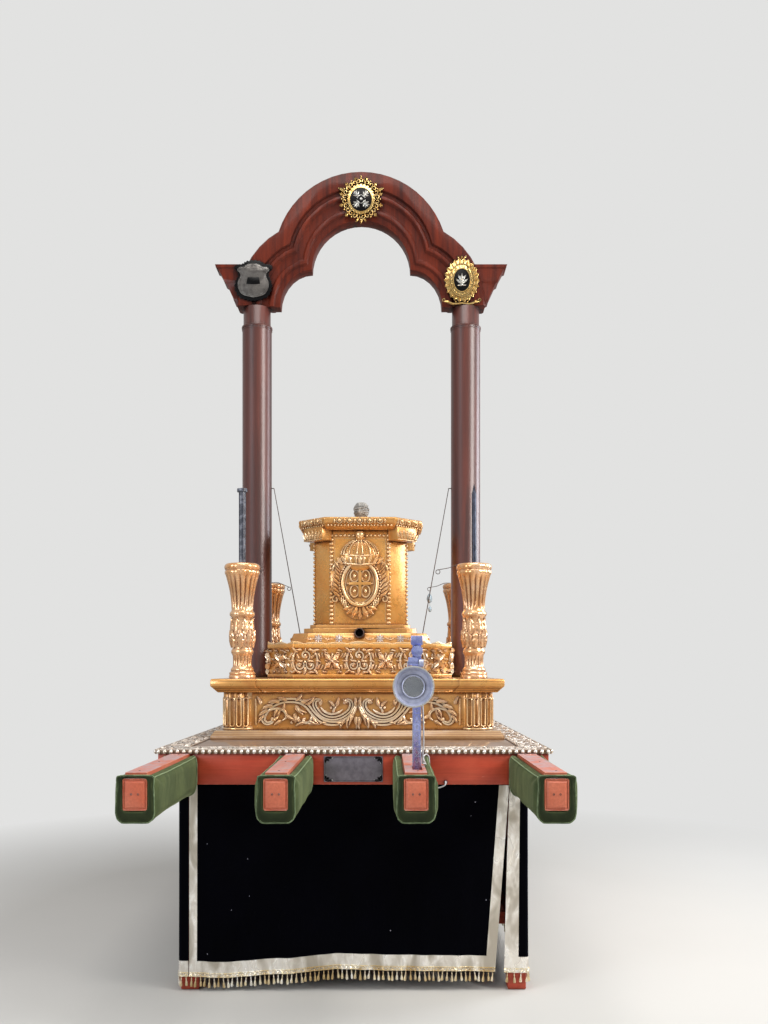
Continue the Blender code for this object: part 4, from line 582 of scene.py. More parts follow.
class Finishes:
    """Every finish on the litter, built once."""

    def __init__(self) -> None:
        """Builds the materials."""
        self.gilding = Gilding("warm gilding").build()
        self.carving = Gilding(
            "carved gilding",
            leaf=srgb(242, 192, 126),
            bright=srgb(255, 238, 204),
            hollow_shade=srgb(132, 68, 28),
            reach=0.010,
            depth=0.75,
            roughness=0.18,
            dust=0.05,
            metal=0.55,
        ).build()
        self.relief = Gilding(
            "pale relief gilding",
            leaf=srgb(248, 214, 166),
            bright=srgb(255, 248, 232),
            hollow_shade=srgb(146, 78, 34),
            reach=0.009,
            depth=0.62,
            roughness=0.16,
            dust=0.0,
            metal=0.50,
        ).build()
        self.turning = Gilding(
            "turned gilding",
            leaf=srgb(232, 166, 100),
            bright=srgb(255, 234, 204),
            hollow_shade=srgb(124, 56, 24),
            reach=0.016,
            depth=1.05,
            roughness=0.20,
            dust=0.05,
            metal=0.58,
        ).build()
        self.shaft = Gilding(
            "smooth gilding",
            leaf=srgb(236, 164, 76),
            bright=srgb(250, 202, 124),
            bole=srgb(204, 120, 58),
            dust=0.1,
            roughness=0.26,
        ).build()
        self.slab = Gilding("slab gilding", depth=0.4, dust=0.5, quirks=(1.4580, 1.4690, 1.5090)).build()
        self.base = Gilding(
            "dusty base gilding",
            leaf=srgb(166, 128, 82),
            bright=srgb(190, 158, 120),
            bole=srgb(138, 96, 60),
            grey=srgb(170, 150, 128),
            dust=1.0,
            depth=0.5,
            roughness=0.42,
            metal=0.30,
            quirks=(1.1930, 1.2030, 1.2130, 1.2225),
        ).build()
        self.deck_metal = Gilding(
            "embossed deck silver",
            leaf=srgb(206, 192, 176),
            bright=srgb(248, 244, 238),
            hollow_shade=srgb(84, 60, 46),
            bole=srgb(150, 122, 100),
            grey=srgb(196, 184, 178),
            dust=0.55,
            reach=0.006,
        ).build()
        self.deck_sheet = Gilding(
            "dusty deck sheet",
            leaf=srgb(124, 94, 66),
            bright=srgb(158, 132, 106),
            hollow_shade=srgb(62, 42, 32),
            bole=srgb(104, 72, 50),
            grey=srgb(136, 116, 104),
            dust=0.9,
            reach=0.010,
            roughness=0.40,
            metal=0.35,
        ).build()
        self.varnish = Varnish(
            "mahogany varnish", srgb(48, 13, 8), srgb(108, 38, 18), 0.17, 0.18, 0.12
        ).build()
        self.column = Varnish("column varnish", srgb(50, 16, 10), srgb(98, 42, 30), 0.85, 0.30, 0.3).build()
        self.red = Paint("terracotta paint", srgb(180, 60, 32), srgb(198, 80, 50)).build()
        self.pole_red = Paint(
            "pole paint",
            srgb(200, 98, 66),
            srgb(212, 122, 92),
            along=(22, 1.2, 22),
            dust=1.0,
            settled=srgb(172, 148, 150),
            shelter=0.25,
        ).build()
        self.olive = Velvet(
            "olive velvet", srgb(46, 58, 36), srgb(96, 106, 66), srgb(150, 160, 120), 0.4, patch=8.0
        ).build()
        self.olive_dark = Velvet(
            "olive piping", srgb(104, 122, 86), srgb(150, 166, 128), srgb(190, 204, 170), 0.5, patch=60.0
        ).build()
        self.black = Velvet(
            "blue-black velvet",
            srgb(2, 2, 7),
            srgb(9, 9, 24),
            srgb(40, 40, 90),
            sheen_weight=0.06,
            patch=3.0,
            lint=0.9,
            shine=0.04,
        ).build()
        self.lame = Lame("pale lame").build()
        self.fringe = Lame("fringe thread", srgb(240, 224, 186), srgb(196, 168, 118)).build()
        self.bright_gold = Metal(
            "bright gold plate", srgb(232, 200, 132), srgb(196, 152, 84), 1.0, 0.2, reach=0.010, shelter=2.2
        ).build()
        self.silver = Metal(
            "chased silver plate", srgb(224, 224, 218), srgb(176, 176, 172), 0.7, 0.28
        ).build()
        self.dull_silver = Metal(
            "dull silver plate", srgb(116, 112, 108), srgb(66, 62, 60), 0.8, 0.34
        ).build()
        self.dark_plate = Metal("dark blank plate", srgb(126, 120, 128), srgb(100, 95, 102), 0.6, 0.4).build()
        self.lacquer = Wrap("black lacquer", srgb(5, 5, 6), srgb(14, 13, 15), 0.42, shine=0.12).build()
        self.steel = Metal("lamp bar steel", srgb(182, 192, 244), srgb(122, 132, 212), 0.82, 0.22).build()
        self.enamel = Metal("lamp bowl enamel", srgb(188, 192, 214), srgb(150, 156, 184), 0.25, 0.34).build()
        self.beads = Metal(
            "silver beads", srgb(246, 240, 232), srgb(206, 188, 164), 0.6, 0.22, reach=0.007, shelter=1.9
        ).build()
        self.star = Metal(
            "silver stars", srgb(236, 232, 230), srgb(204, 192, 184), 0.4, 0.3, 0.004, 0.7
        ).build()
        self.wire = Metal("dark wire", srgb(70, 58, 56), srgb(110, 92, 84), 0.6, 0.5).build()
        self.tape = Wrap("grey tape", srgb(132, 130, 126), srgb(196, 192, 184), 0.62, 26.0).build()
        self.rod_tape = Wrap("rod tape", srgb(42, 44, 56), srgb(112, 114, 126), 0.45, 34.0).build()
        self.rod = Metal("dark rod", srgb(48, 52, 64), srgb(76, 80, 96), 0.7, 0.34).build()
        self.glass = ClearGlass("lamp glass").build()
        self.sheath = Wrap("white sheath", srgb(206, 206, 208), srgb(176, 176, 180), 0.45, 40.0).build()
        self.drop = Wrap("pale blue drop", srgb(170, 196, 214), srgb(206, 222, 232), 0.3, 60.0).build()


# Bench: the modelling moves


def clear() -> None:
    """Leaves edit mode and deselects everything."""
    if bpy.context.object and bpy.context.object.mode != "OBJECT":
        bpy.ops.object.mode_set(mode="OBJECT")
    bpy.ops.object.select_all(action="DESELECT")


def take(obj: Obj) -> Obj:
    """Makes one object the only one selected."""
    clear()
    obj.select_set(True)
    bpy.context.view_layer.objects.active = obj
    return obj


@contextmanager
def editing(obj: Obj) -> Iterator[bmesh.types.BMesh]:
    """Edit mode on one object, its mesh open to selection by code."""
    take(obj)
    bpy.ops.object.mode_set(mode="EDIT")
    yield bmesh.from_edit_mesh(obj.data)
    bmesh.update_edit_mesh(obj.data)
    bpy.ops.object.mode_set(mode="OBJECT")


def modify(obj: Obj, kind: str, **settings) -> Obj:
    """Adds a modifier and applies it."""
    take(obj)
    modifier = obj.modifiers.new(kind.lower(), kind)
    for key, value in settings.items():
        setattr(modifier, key, value)
    bpy.ops.object.modifier_apply(modifier=modifier.name)
    return obj


def soften(obj: Obj, degrees: float = 35) -> Obj:
    """Smooth shading over every edge flatter than an angle."""
    take(obj)
    bpy.ops.object.shade_smooth_by_angle(angle=math.radians(degrees))
    return obj


def new_object(name: str, data: bpy.types.ID) -> Obj:
    """A new object in the scene round a mesh, curve, camera or light."""
    obj = bpy.data.objects.new(name, data)
    bpy.context.scene.collection.objects.link(obj)
    return obj


def settle(obj: Obj, name: str, matrix: Matrix | None = None) -> Obj:
    """Names an object and puts its place, and a further move, into its mesh."""
    take(obj)
    bpy.ops.object.transform_apply(location=True, rotation=True, scale=True)
    if matrix is not None:
        obj.data.transform(matrix)
    obj.name = name
    obj.data.name = name
    return obj


def reface(obj: Obj) -> Obj:
    """Merges doubles and points the faces outwards."""
    with editing(obj):
        bpy.ops.mesh.select_all(action="SELECT")
        bpy.ops.mesh.remove_doubles(threshold=1e-5)
        bpy.ops.mesh.normals_make_consistent(inside=False)
    return obj


def join(name: str, pieces: Sequence[Obj]) -> Obj:
    """Several objects made one."""
    take(pieces[0])
    for piece in pieces:
        piece.select_set(True)
    bpy.ops.object.join()
    return settle(bpy.context.object, name)


def spread(name: str, model: Obj, places: Sequence[Matrix], keep: bool = False) -> Obj:
    """Copies a model to many places in one mesh.

    Args:
        name: the new object's name.
        model: the piece that is repeated.
        places: one matrix for each copy.
        keep: leaves the model in the scene.

    Returns:
        The object that holds the copies.
    """
    shape = bmesh.new()
    for place in places:
        before = len(shape.verts)
        shape.from_mesh(model.data)
        shape.verts.ensure_lookup_table()
        fresh = shape.verts[before:]
        bmesh.ops.transform(shape, matrix=place, verts=fresh)
        if place.determinant() < 0:
            faces = {face for vertex in fresh for face in vertex.link_faces}
            bmesh.ops.reverse_faces(shape, faces=list(faces))
    mesh = bpy.data.meshes.new(name)
    shape.to_mesh(mesh)
    shape.free()
    made = new_object(name, mesh)
    for slot in model.data.materials:
        mesh.materials.append(slot)
    if not keep:
        bpy.data.objects.remove(model, do_unlink=True)
    return made


def at(x: float, y: float, z: float, turn: float = 0, size: float | Point = 1, axis: str = "Z") -> Matrix:
    """A place: moved, turned by degrees about an axis and scaled."""
    scale = Vector((size,) * 3) if isinstance(size, (int, float)) else Vector(size)
    rotation = Matrix.Rotation(math.radians(turn), 3, axis).to_quaternion()
    return Matrix.LocRotScale(Vector((x, y, z)), rotation, scale)


FACE = Matrix(((1, 0, 0, 0), (0, 0, -1, 0), (0, 1, 0, 0), (0, 0, 0, 1)))
"""Carries a relief drawn in X and Y, raised in Z, onto an upright face that looks to -Y."""


def upright(x: float, y: float, z: float) -> Matrix:
    """A place for a relief on an upright face that looks to -Y."""
    return Matrix.Translation((x, y, z)) @ FACE


def circle(
    wide: float, high: float, count: int, z: float = 0.0, centre: Point = (0.0, 0.0), closed: bool = True
) -> list[Vector]:
    """Points round an oval, evenly by angle from +X.

    Args:
        wide: its reach along X.
        high: its reach along Y.
        count: how many there are.
        z: their height.
        centre: its middle.
        closed: ends on the first point again.

    Returns:
        The points.
    """
    made = []
    for i in range(count + closed):
        angle = TURN * i / count
        made.append(Vector((centre[0] + wide * math.cos(angle), centre[1] + high * math.sin(angle), z)))
    return made


def bead(radius: float, height: float = 1.0, segments: int = 10) -> Obj:
    """A pearl cut flat on its hidden side, raised in +Z."""
    clear()
    bpy.ops.mesh.primitive_uv_sphere_add(segments=segments, ring_count=segments // 2 + 2, radius=radius)
    pearl = bpy.context.object
    with editing(pearl):
        bpy.ops.mesh.select_all(action="SELECT")
        bpy.ops.mesh.bisect(plane_co=(0, 0, -radius / 4), plane_no=(0, 0, 1), clear_inner=True, use_fill=True)
        bpy.ops.mesh.select_all(action="SELECT")
        bpy.ops.transform.resize(value=(1, 1, height))
    return settle(soften(pearl, 60), "pearl")


def turned(name: str, profile: Sequence[Point], sides: int, closed: bool = True) -> Obj:
    """A turned piece about Z, extruded up its profile ring by ring.

    Args:
        name: its name.
        profile: (radius, height) rows from the foot to the top.
        sides: facets round it.
        closed: caps the first and the last ring; an open one meets itself as a hoop.

    Returns:
        The new object.
    """
    clear()
    (first, low), *rest = profile
    fill = "NGON" if closed else "NOTHING"
    bpy.ops.mesh.primitive_circle_add(vertices=sides, radius=first, location=(0, 0, low), fill_type=fill)
    made = bpy.context.object
    with editing(made):
        bpy.ops.mesh.select_all(action="SELECT")
        radius, level = first, low
        for wide, high in rest:
            bpy.ops.mesh.extrude_region_move(TRANSFORM_OT_translate={"value": (0, 0, high - level)})
            share = wide / radius
            bpy.ops.transform.resize(value=(share, share, 1), center_override=(0, 0, high))
            radius, level = wide, high
    return reface(settle(made, name))


def strand(name: str, points: Sequence[Point], radii: Sequence[float], depth: float, facets: int) -> Obj:
    """A rounded curve through points, closed at its ends.

    Args:
        name: its name.
        points: places that it passes through.
        radii: its thickness at each point, as a share of its depth.
        depth: its radius where that share is 1.
        facets: further facets to a quarter of its round.

    Returns:
        The new curve object.
    """
    curve = bpy.data.curves.new(name, "CURVE")
    curve.dimensions = "3D"
    curve.bevel_depth = depth
    curve.bevel_resolution = facets
    curve.use_fill_caps = True
    spline = curve.splines.new("POLY")
    spline.points.add(len(points) - 1)
    for row, place, size in zip(spline.points, points, radii):
        row.co = (*place, 1)
        row.radius = size
    return new_object(name, curve)


def tube(name: str, points: Sequence[Point], radii: Sequence[float] | float, sides: int = 2) -> Obj:
    """A rounded rib along a smooth line, tapering by its radii, closed at its ends.

    Args:
        name: its name.
        points: places that it passes through.
        radii: its radius at each point, or one for all.
        sides: quarter facets round it.

    Returns:
        The new mesh object.
    """
    sizes = [radii] * len(points) if isinstance(radii, (int, float)) else list(radii)
    take(strand(name, points, sizes, 1.0, sides - 1))
    bpy.ops.object.convert(target="MESH")
    return soften(reface(bpy.context.object), 60)


def eased(points: Sequence[Point], steps: int = 6) -> list[Vector]:
    """A smooth line through points, with steps to each stretch."""
    rows = [Vector(point).to_3d() for point in points]
    rows = [2 * rows[0] - rows[1], *rows, 2 * rows[-1] - rows[-2]]
    made = []
    for a, b, c, d in zip(rows, rows[1:], rows[2:], rows[3:]):
        for step in range(steps):
            t = step / steps
            bend = (2 * a - 5 * b + 4 * c - d) * t * t
            made.append(0.5 * (2 * b + (c - a) * t + bend + (3 * b - a - 3 * c + d) * t ** 3))
    return made + [rows[-2]]


def spiral(centre: Point, start: float, end: float, radius: float, inner: float) -> list[Vector]:
    """Points that wind in round a centre, from an outer to an inner radius, by angles in degrees."""
    made = []
    steps = 22
    for step in range(steps + 1):
        share = step / steps
        angle = math.radians(start + (end - start) * share)
        reach = radius + (inner - radius) * share ** 0.8
        made.append(Vector((centre[0] + reach * math.cos(angle), centre[1] + reach * math.sin(angle), 0)))
    return made


def taper(count: int, size: float, start: float = 0.35, end: float = 0.5) -> list[float]:
    """Radii that swell from the start and thin to the end."""
    made = []
    for i in range(count):
        swell, thin = min(1, start + 3 * i / count), min(1, end + 2.2 * (count - 1 - i) / count)
        made.append(size * swell * thin)
    return made


def leaf(
    length: float, width: float, lobes: int = 3, rise: float = 0.25, curl: float = 0.0, sweep: float = 0.0
) -> Obj:
    """An acanthus leaf along +Y, lobed at its sides, ribbed down its middle and raised in +Z.

    Args:
        length: from its root to its tip.
        width: across its widest part.
        lobes: notches on each side.
        rise: its height as a share of its width.
        curl: how far its tip lifts, as a share of its length.
        sweep: how far its tip swings to +X, as a share of its length.

    Returns:
        The new object, its back open.
    """
    clear()
    across, along = 6, 4 * lobes + 2
    bpy.ops.mesh.primitive_grid_add(x_subdivisions=across, y_subdivisions=along, size=1)
    made = bpy.context.object
    with editing(made) as shape:
        for vertex in shape.verts:
            side, v = vertex.co.x * 2, vertex.co.y + 0.5
            belly = math.sin(math.pi * min(1, 0.10 + 0.90 * v) ** 0.8) ** 0.75 if v < 1 else 0
            notch = 1 - 0.28 * (0.5 - 0.5 * math.cos(TURN * lobes * v)) * abs(side)
            reach = max(belly * notch, 0.04)
            arch = (1 - side * side) * 0.75 + 0.25 * math.cos(side * TURN * 1.5) * (1 - abs(side))
            lift = rise * width * max(arch, 0) * (0.35 + 0.65 * belly)
            drop = -abs(side) * abs(side) * width * 0.06 * (1 - math.cos(TURN * lobes * v))
            vertex.co = (
                side * reach * width / 2 + sweep * length * (v * v - 0.35 * v),
                v * length + abs(side) * 0.10 * length * (1 - v),
                lift + drop + curl * length * v * v,
            )
    return settle(soften(made, 80), "leaf")


def wear(obj: Obj, finish: bpy.types.Material, slot: str, body: Body = Body.LITTER) -> Obj:
    """Dresses a piece and lets it ride on its body."""
    obj.data.materials.clear()
    obj.data.materials.append(finish)
    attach(obj, body.value)
    LOG.info("%s on %s in %s", obj.name, body.value, finish.name)
    return obj


def refined(
    node: str,
    finish: bpy.types.Material,
    slot: str,
    bevel: float = 0.0015,
    body: Body = Body.LITTER,
    angle: float = 35,
) -> Obj:
    """A CAD node's own shape with eased edges and smooth shading, in its place.

    Args:
        node: the CAD node.
        finish: its material.
        slot: not used.
        bevel: the width of its eased edges.
        body: what it rides on.
        angle: edges flatter than this are shaded smooth.

    Returns:
        The new object, which stands for the node.
    """
    made = new_object(f"{node}_dressed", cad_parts[node].data.copy())
    with editing(made):
        bpy.ops.mesh.select_all(action="SELECT")
        bpy.ops.mesh.remove_doubles(threshold=1e-5)
        bpy.ops.mesh.dissolve_limited(angle_limit=math.radians(0.5))
    if bevel:
        modify(made, "BEVEL", width=bevel, segments=2, limit_method="ANGLE", angle_limit=math.radians(angle))
    soften(made, angle)
    wear(made, finish, slot, body)
    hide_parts(node)
    return made


# Studio


@dataclass
class Studio:
    """The camera at the photograph's viewpoint, a pale floor and soft light."""

    eye: Point = (0.165, -6.11, 1.60)
    focal: float = 950.0
    frame_height: float = 1024.0
    shift_right: float = -3.0
    shift_up: float = 153.0
    sensor: float = 36.0
    backdrop: Colour = srgb(226, 226, 225)

    def build(self) -> None:
        """Makes the camera, the floor, the lights and the world."""
        data = bpy.data.cameras.new("camera")
        data.sensor_width = self.sensor
        data.lens = self.sensor * self.focal / self.frame_height
        data.shift_x = self.shift_right / self.frame_height
        data.shift_y = self.shift_up / self.frame_height
        data.clip_end = 200
        camera = new_object("camera", data)
        camera.location = self.eye
        camera.rotation_euler = (math.pi / 2, 0, 0)
        bpy.context.scene.camera = camera
        bpy.context.scene.view_settings.view_transform = "Standard"
        self.floor()
        self.light("key", (5.0, -3.6, 4.6), (0.0, -0.6, 1.7), 2.6, 335, (1.0, 0.97, 0.93))
        self.light("fill", (-4.6, -5.2, 3.0), (0.0, -0.4, 2.0), 2.4, 150, (0.86, 0.92, 1.0))
        self.light("side", (5.6, 1.6, 3.6), (0.2, 0.2, 2.2), 2.6, 200, (0.86, 0.92, 1.0))
        self.light("top", (0.0, -2.6, 7.6), (0.0, -0.6, 1.2), 3.6, 220, (1.0, 0.98, 0.95))
        self.sky()

    def floor(self) -> None:
        """A wide pale floor that keeps the litter's shadow."""
        clear()
        bpy.ops.mesh.primitive_plane_add(size=90, location=(0, 0, 0))
        floor = bpy.context.object
        floor.name = "floor"
        material, desk = new_material("pale floor")
        cloud = desk.noise(desk.place(), 0.8, 3)
        colour = desk.mix(cloud, srgb(204, 202, 198), srgb(210, 208, 204))
        matt = {"Roughness": 1.0, "Specular IOR Level": 0.0}
        shader = desk.add("BsdfPrincipled", {"Base Color": colour, **matt})
        far = desk.add("VectorMath", {0: desk.place()}, operation="LENGTH").outputs["Value"]
        path = desk.add("LightPath")
        share = desk.maths("MULTIPLY", desk.span(far, 2.2, 5.0), path.outputs["Is Camera Ray"])
        plain = desk.add("Emission", {"Color": self.backdrop, "Strength": 1.0})
        output(desk, desk.add("MixShader", {0: share, 1: shader.outputs[0], 2: plain.outputs[0]}))
        floor.data.materials.append(material)

    @staticmethod
    def light(name: str, place: Point, aim: Point, size: float, power: float, tint: Point) -> None:
        """One soft square lamp aimed at a point."""
        data = bpy.data.lights.new(name, "AREA")
        data.shape = "SQUARE"
        data.size = size
        data.energy = power
        data.color = tint
        lamp = new_object(name, data)
        lamp.location = place
        lamp.rotation_euler = (Vector(aim) - Vector(place)).to_track_quat("-Z", "Y").to_euler()

    def sky(self) -> None:
        """A pale world for the camera and reflections, dimmer for the light it gives."""
        world = bpy.data.worlds.new("sky")
        bpy.context.scene.world = world
        world.use_nodes = True
        desk = Desk(world.node_tree)
        path = desk.add("LightPath")
        seen = desk.maths("MAXIMUM", path.outputs["Is Camera Ray"], path.outputs["Is Transmission Ray"])
        seen = desk.maths("MAXIMUM", seen, desk.maths("MULTIPLY", path.outputs["Is Glossy Ray"], 0.45))
        strength = desk.span(seen, 0, 1, 0.46, 1.0)
        shade = desk.add("Background", {"Color": self.backdrop, "Strength": strength})
        desk.add("OutputWorld", {"Surface": shade.outputs[0]})


# The cable


@dataclass
class LampCable:
    """The white cable from the lamp's clip, over the deck's edge and into the front rail."""

    radius: float = 0.0035
    route: tuple[Point, ...] = (
        (0.3045, -2.0337, 1.5077), (0.3045, -2.0337, 1.494), (0.308, -2.0337, 1.466),
        (0.3185, -2.0337, 1.424), (0.322, -2.0337, 1.271), (0.3185, -2.0337, 1.208),
        (0.3185, -2.0267, 1.180), (0.3255, -2.0057, 1.1736), (0.3313, -1.9777, 1.1694),
        (0.3351, -1.9287, 1.1633), (0.3351, -1.7537, 1.1622), (0.3389, -1.578, 1.1633),
        (0.3555, -1.487, 1.1656), (0.3695, -1.466, 1.151), (0.373, -1.4596, 1.116),
        (0.3765, -1.4596, 1.063), (0.387, -1.4596, 1.021), (0.4115, -1.4634, 1.000),
        (0.445, -1.4746, 1.012), (0.452, -1.4676, 1.026), (0.452, -1.4606, 1.026),
    )

    def line(self) -> list[Vector]:
        """The cable's centreline, evenly smoothed through its route."""
        return eased(self.route, 5)

    def sleeve(self, name: str, points: Sequence[Vector], finish: bpy.types.Material) -> Obj:
        """A tapered strain relief over one end of the line."""
        radii = [self.radius * (1.75 - 0.6 * i / (len(points) - 1)) for i in range(len(points))]
        return wear(tube(name, points, radii, 3), finish, "white_cable")

    def build(self, looks: Finishes) -> None:
        """Makes the cable as one curve with a strain relief at each end."""
        line = self.line()
        cable = strand("lamp_cable_run", line, [1.0] * len(line), self.radius, 3)
        wear(cable, looks.sheath, "white_cable")
        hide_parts("lamp_cable")
        top = self.sleeve("cable_relief_top", line[:8], looks.sheath)
        foot = self.sleeve("cable_relief_foot", line[:-10:-1], looks.sheath)


# The velvet skirt


@dataclass
class Panel:
    """One hanging panel of the skirt, cut along a line in plan.

    Its points are found by the share along the line and the height, so that bands and fringe lie on it.
    """

    name: str
    node: str
    line: list[Vector]
    hem: Callable[[float], float]
    lean: float = 0.0
    lead: float = 0.0
    top: float = 1.0137
    seed: float = 0.0

    def __post_init__(self) -> None:
        """Measures the line."""
        self.steps = [0.0]
        for a, b in zip(self.line, self.line[1:]):
            self.steps.append(self.steps[-1] + (b - a).length)
        self.width = self.steps[-1]

    def plan(self, share: float) -> tuple[Vector, Vector]:
        """The point and the outward normal at a share of the line."""
        reach = max(0.0, min(1.0, share)) * self.width
        row = max(i for i, step in enumerate(self.steps[:-1]) if step <= reach + 1e-9)
        a, b = self.line[row], self.line[row + 1]
        part = (reach - self.steps[row]) / (self.steps[row + 1] - self.steps[row])
        along = (b - a).normalized()
        return a.lerp(b, part), Vector((along.y, -along.x))

    def point(self, share: float, height: float, out: float = 0.0) -> Vector:
        """A place on the cloth, or out from it."""
        base, normal = self.plan(share)
        hang = max(0.0, min(1.05, (self.top - height) / (self.top - self.hem(share))))
        s = share * self.width + self.seed
        wave = 0.42 * math.sin(TURN * s / 0.41 + 0.5) + 0.34 * math.sin(TURN * s / 0.173 + 1.9)
        wave += 0.24 * math.sin(TURN * s / 0.097 + 0.4 * math.sin(9 * s))
        wave += 0.5 * noise.noise(Vector((s * 3.1, height * 1.7, self.seed)))
        edge = min(1.0, 12 * share + 0.2, 12 * (1 - share) + 0.2)
        push = hang ** 1.2 * (0.0045 + 0.0075 * wave) * edge
        base = base + normal * (push + out)
        x = base.x - self.lean * hang * share
        if self.lead:
            x -= self.lead * hang ** 0.7 * max(0.0, 1 - share / 0.0255)
        return Vector((x, base.y, height))

    def strip(
        self,
        name: str,
        shares: tuple[float, float],
        heights: Callable[[float, float], float],
        cells: tuple[int, int],
        out: float,
        thick: float,
    ) -> Obj:
        """A length of cloth on the panel.

        Args:
            name: its name.
            shares: where it starts and ends along the line.
            heights: height by share along the line and share down the strip.
            cells: its grid.
            out: how far it lies out from the panel.
            thick: its thickness.

        Returns:
            The new object.
        """
        clear()
        bpy.ops.mesh.primitive_grid_add(x_subdivisions=cells[0], y_subdivisions=cells[1], size=1)
        made = bpy.context.object
        low, high = shares
        with editing(made) as shape:
            for vertex in shape.verts:
                share = low + (high - low) * (vertex.co.x + 0.5)
                vertex.co = self.point(share, heights(share, 0.5 - vertex.co.y), out)
        modify(made, "SOLIDIFY", thickness=thick, offset=0.0)
        return soften(settle(made, name), 60)


@dataclass
class Skirt:
    """Black velvet panels with pale bands, a braid and a tassel fringe."""

    front_y: float = 1.441
    side_x: float = 0.858
    wrap_left: float = 0.048
    wrap_right: float = 0.088
    gap: float = 0.004
    corner: float = 0.012
    lean: float = 0.070
    band: float = 0.050
    hem_band: float = 0.073
    tassel: float = 0.048
    pitch: float = 0.0236
    cloth: float = 0.003
    band_cloth: float = 0.0016
    full_width: float = 1.02
    full_height: float = 1.04

    @staticmethod
    def front_hem(share: float) -> float:
        """The front hem's height above the floor, sagging at the left."""
        rows = (
            (0.0, 0.074), (0.12, 0.070), (0.3, 0.088), (0.5, 0.112), (0.7, 0.104), (0.88, 0.102), (1.0, 0.098),
        )
        for (a, low), (b, high) in zip(rows, rows[1:]):
            if share <= b:
                t = (share - a) / (b - a)
                return low + (high - low) * t * t * (3 - 2 * t)
        return rows[-1][1]

    def side_line(self, wrap: float) -> list[Vector]:
        """The right panel's line in plan, from its front edge to its rear edge."""
        x, y, r = self.side_x, self.front_y, self.corner
        line = [Vector((x - wrap, -y))]
        for centre, start in (((x - r, -y + r), -90), ((x - r, y - r), 0)):
            for step in range(5):
                angle = math.radians(start + 22.5 * step)
                line.append(Vector((centre[0] + r * math.cos(angle), centre[1] + r * math.sin(angle))))
        return line + [Vector((x - self.wrap_left, y))]

    def panels(self) -> list[Panel]:
        """The four panels, each running so that its outside is on the same hand."""
        left = -(self.side_x - self.wrap_left) + self.gap
        right = self.side_x - self.wrap_right - self.gap
        y = self.front_y
        front, rear = [Vector((left, -y)), Vector((right, -y))], [Vector((-left, y)), Vector((left, y))]
        side = self.side_line(self.wrap_right)
        mirrored = [Vector((-point.x, point.y)) for point in reversed(self.side_line(self.wrap_left))]
        return [
            Panel("front", "skirt_front", front, self.front_hem, self.lean),
            Panel("right", "skirt_right", side, lambda s: 0.094 - 0.012 * s, lead=0.030, seed=1.7),
            Panel("rear", "skirt_rear", rear, lambda s: 0.078, seed=3.1),
            Panel("left", "skirt_left", mirrored, lambda s: 0.080 - 0.006 * s, seed=5.3),
        ]

    def model_tassel(self) -> Obj:
        """One tassel hanging from its top."""
        shares = ((0.0062, 1), (0.0072, 0.84), (0.0050, 0.56), (0.0022, 0.36), (0.0040, 0.27), (0.0018, 0.16))
        rows = [(radius, -self.tassel * share) for radius, share in shares]
        return soften(turned("tassel", [*rows, (0.0014, 0.002)], 7), 50)

    def lace(self, panel: Panel, count: int) -> Obj:
        """The fringe's heading over the hem band: a zigzag under a cord, a point for each tassel."""
        lift = self.cloth / 2 + 0.0024
        zigzag, cord = [], []
        for i in range(2 * count + 1):
            share = i / (2 * count)
            foot = panel.hem(share)
            zigzag.append(panel.point(share, foot + (0.0030 if i % 2 else 0.0150), lift))
            cord.append(panel.point(share, foot + 0.0165, lift))
        sizes = [0.0030 if i % 2 else 0.0022 for i in range(len(cord))]
        return join(f"lace_{panel.name}", [tube("zigzag", zigzag, 0.0030, 1), tube("cord", cord, sizes, 2)])

    def bands(self, panel: Panel, lift: float, looks: Finishes) -> list[Obj]:
        """The pale bands along the hem and up the edges of a panel."""
        name, top, hem = panel.name, panel.top, panel.hem
        fall = lambda share, down: hem(share) + self.hem_band * (1 - down)
        cells = (self.columns(panel), 6)
        made = [panel.strip(f"hem_band_{name}", (0, 1), fall, cells, lift, self.band_cloth)]
        share = self.band / panel.width
        spans = {"start": (0.0, share), "end": (1 - share, 1.0)}
        if name == "left":
            del spans["end"]
        if name == "front":
            spans["start"] = (0.0, 0.8 * share)
        drop = lambda share, down: top - 0.004 + (hem(share) + self.hem_band - top) * down
        for end, span in spans.items():
            made.append(panel.strip(f"edge_band_{name}_{end}", span, drop, (6, 70), lift, self.band_cloth))
        return [wear(band, looks.lame, "black_velvet") for band in made]

    def trim(self, panel: Panel, lift: float, looks: Finishes) -> list[Obj]:
        """The braid, the lace and the tassel fringe along the hem of a panel."""
        name, hem = panel.name, panel.hem
        count = round(panel.width / self.pitch)
        shares = [i / (2 * count) for i in range(2 * count + 1)]
        rows = [panel.point(share, hem(share) - 0.001, lift) for share in shares]
        braid = tube(f"braid_{name}", rows, [0.0042 if i % 2 else 0.0034 for i in range(len(rows))], 2)
        made = [braid, self.lace(panel, count)]
        places = []
        for i in range(count):
            spot = (i + 0.5) / count
            place = panel.point(spot, hem(spot) - 0.003, lift)
            sway = 5 * math.sin(2.3 * i + panel.seed) + 3 * math.sin(0.7 * i)
            places.append(at(*place, turn=sway, axis="Y", size=(1, 1, 1 + 0.06 * math.sin(1.9 * i))))
        made.append(spread(f"fringe_{name}", self.model_tassel(), places))
        return [wear(piece, looks.fringe, "black_velvet") for piece in made]

    @staticmethod
    def columns(panel: Panel) -> int:
        """How many cells a panel's cloth has along its line."""
        return max(60, round(panel.width / 0.014))

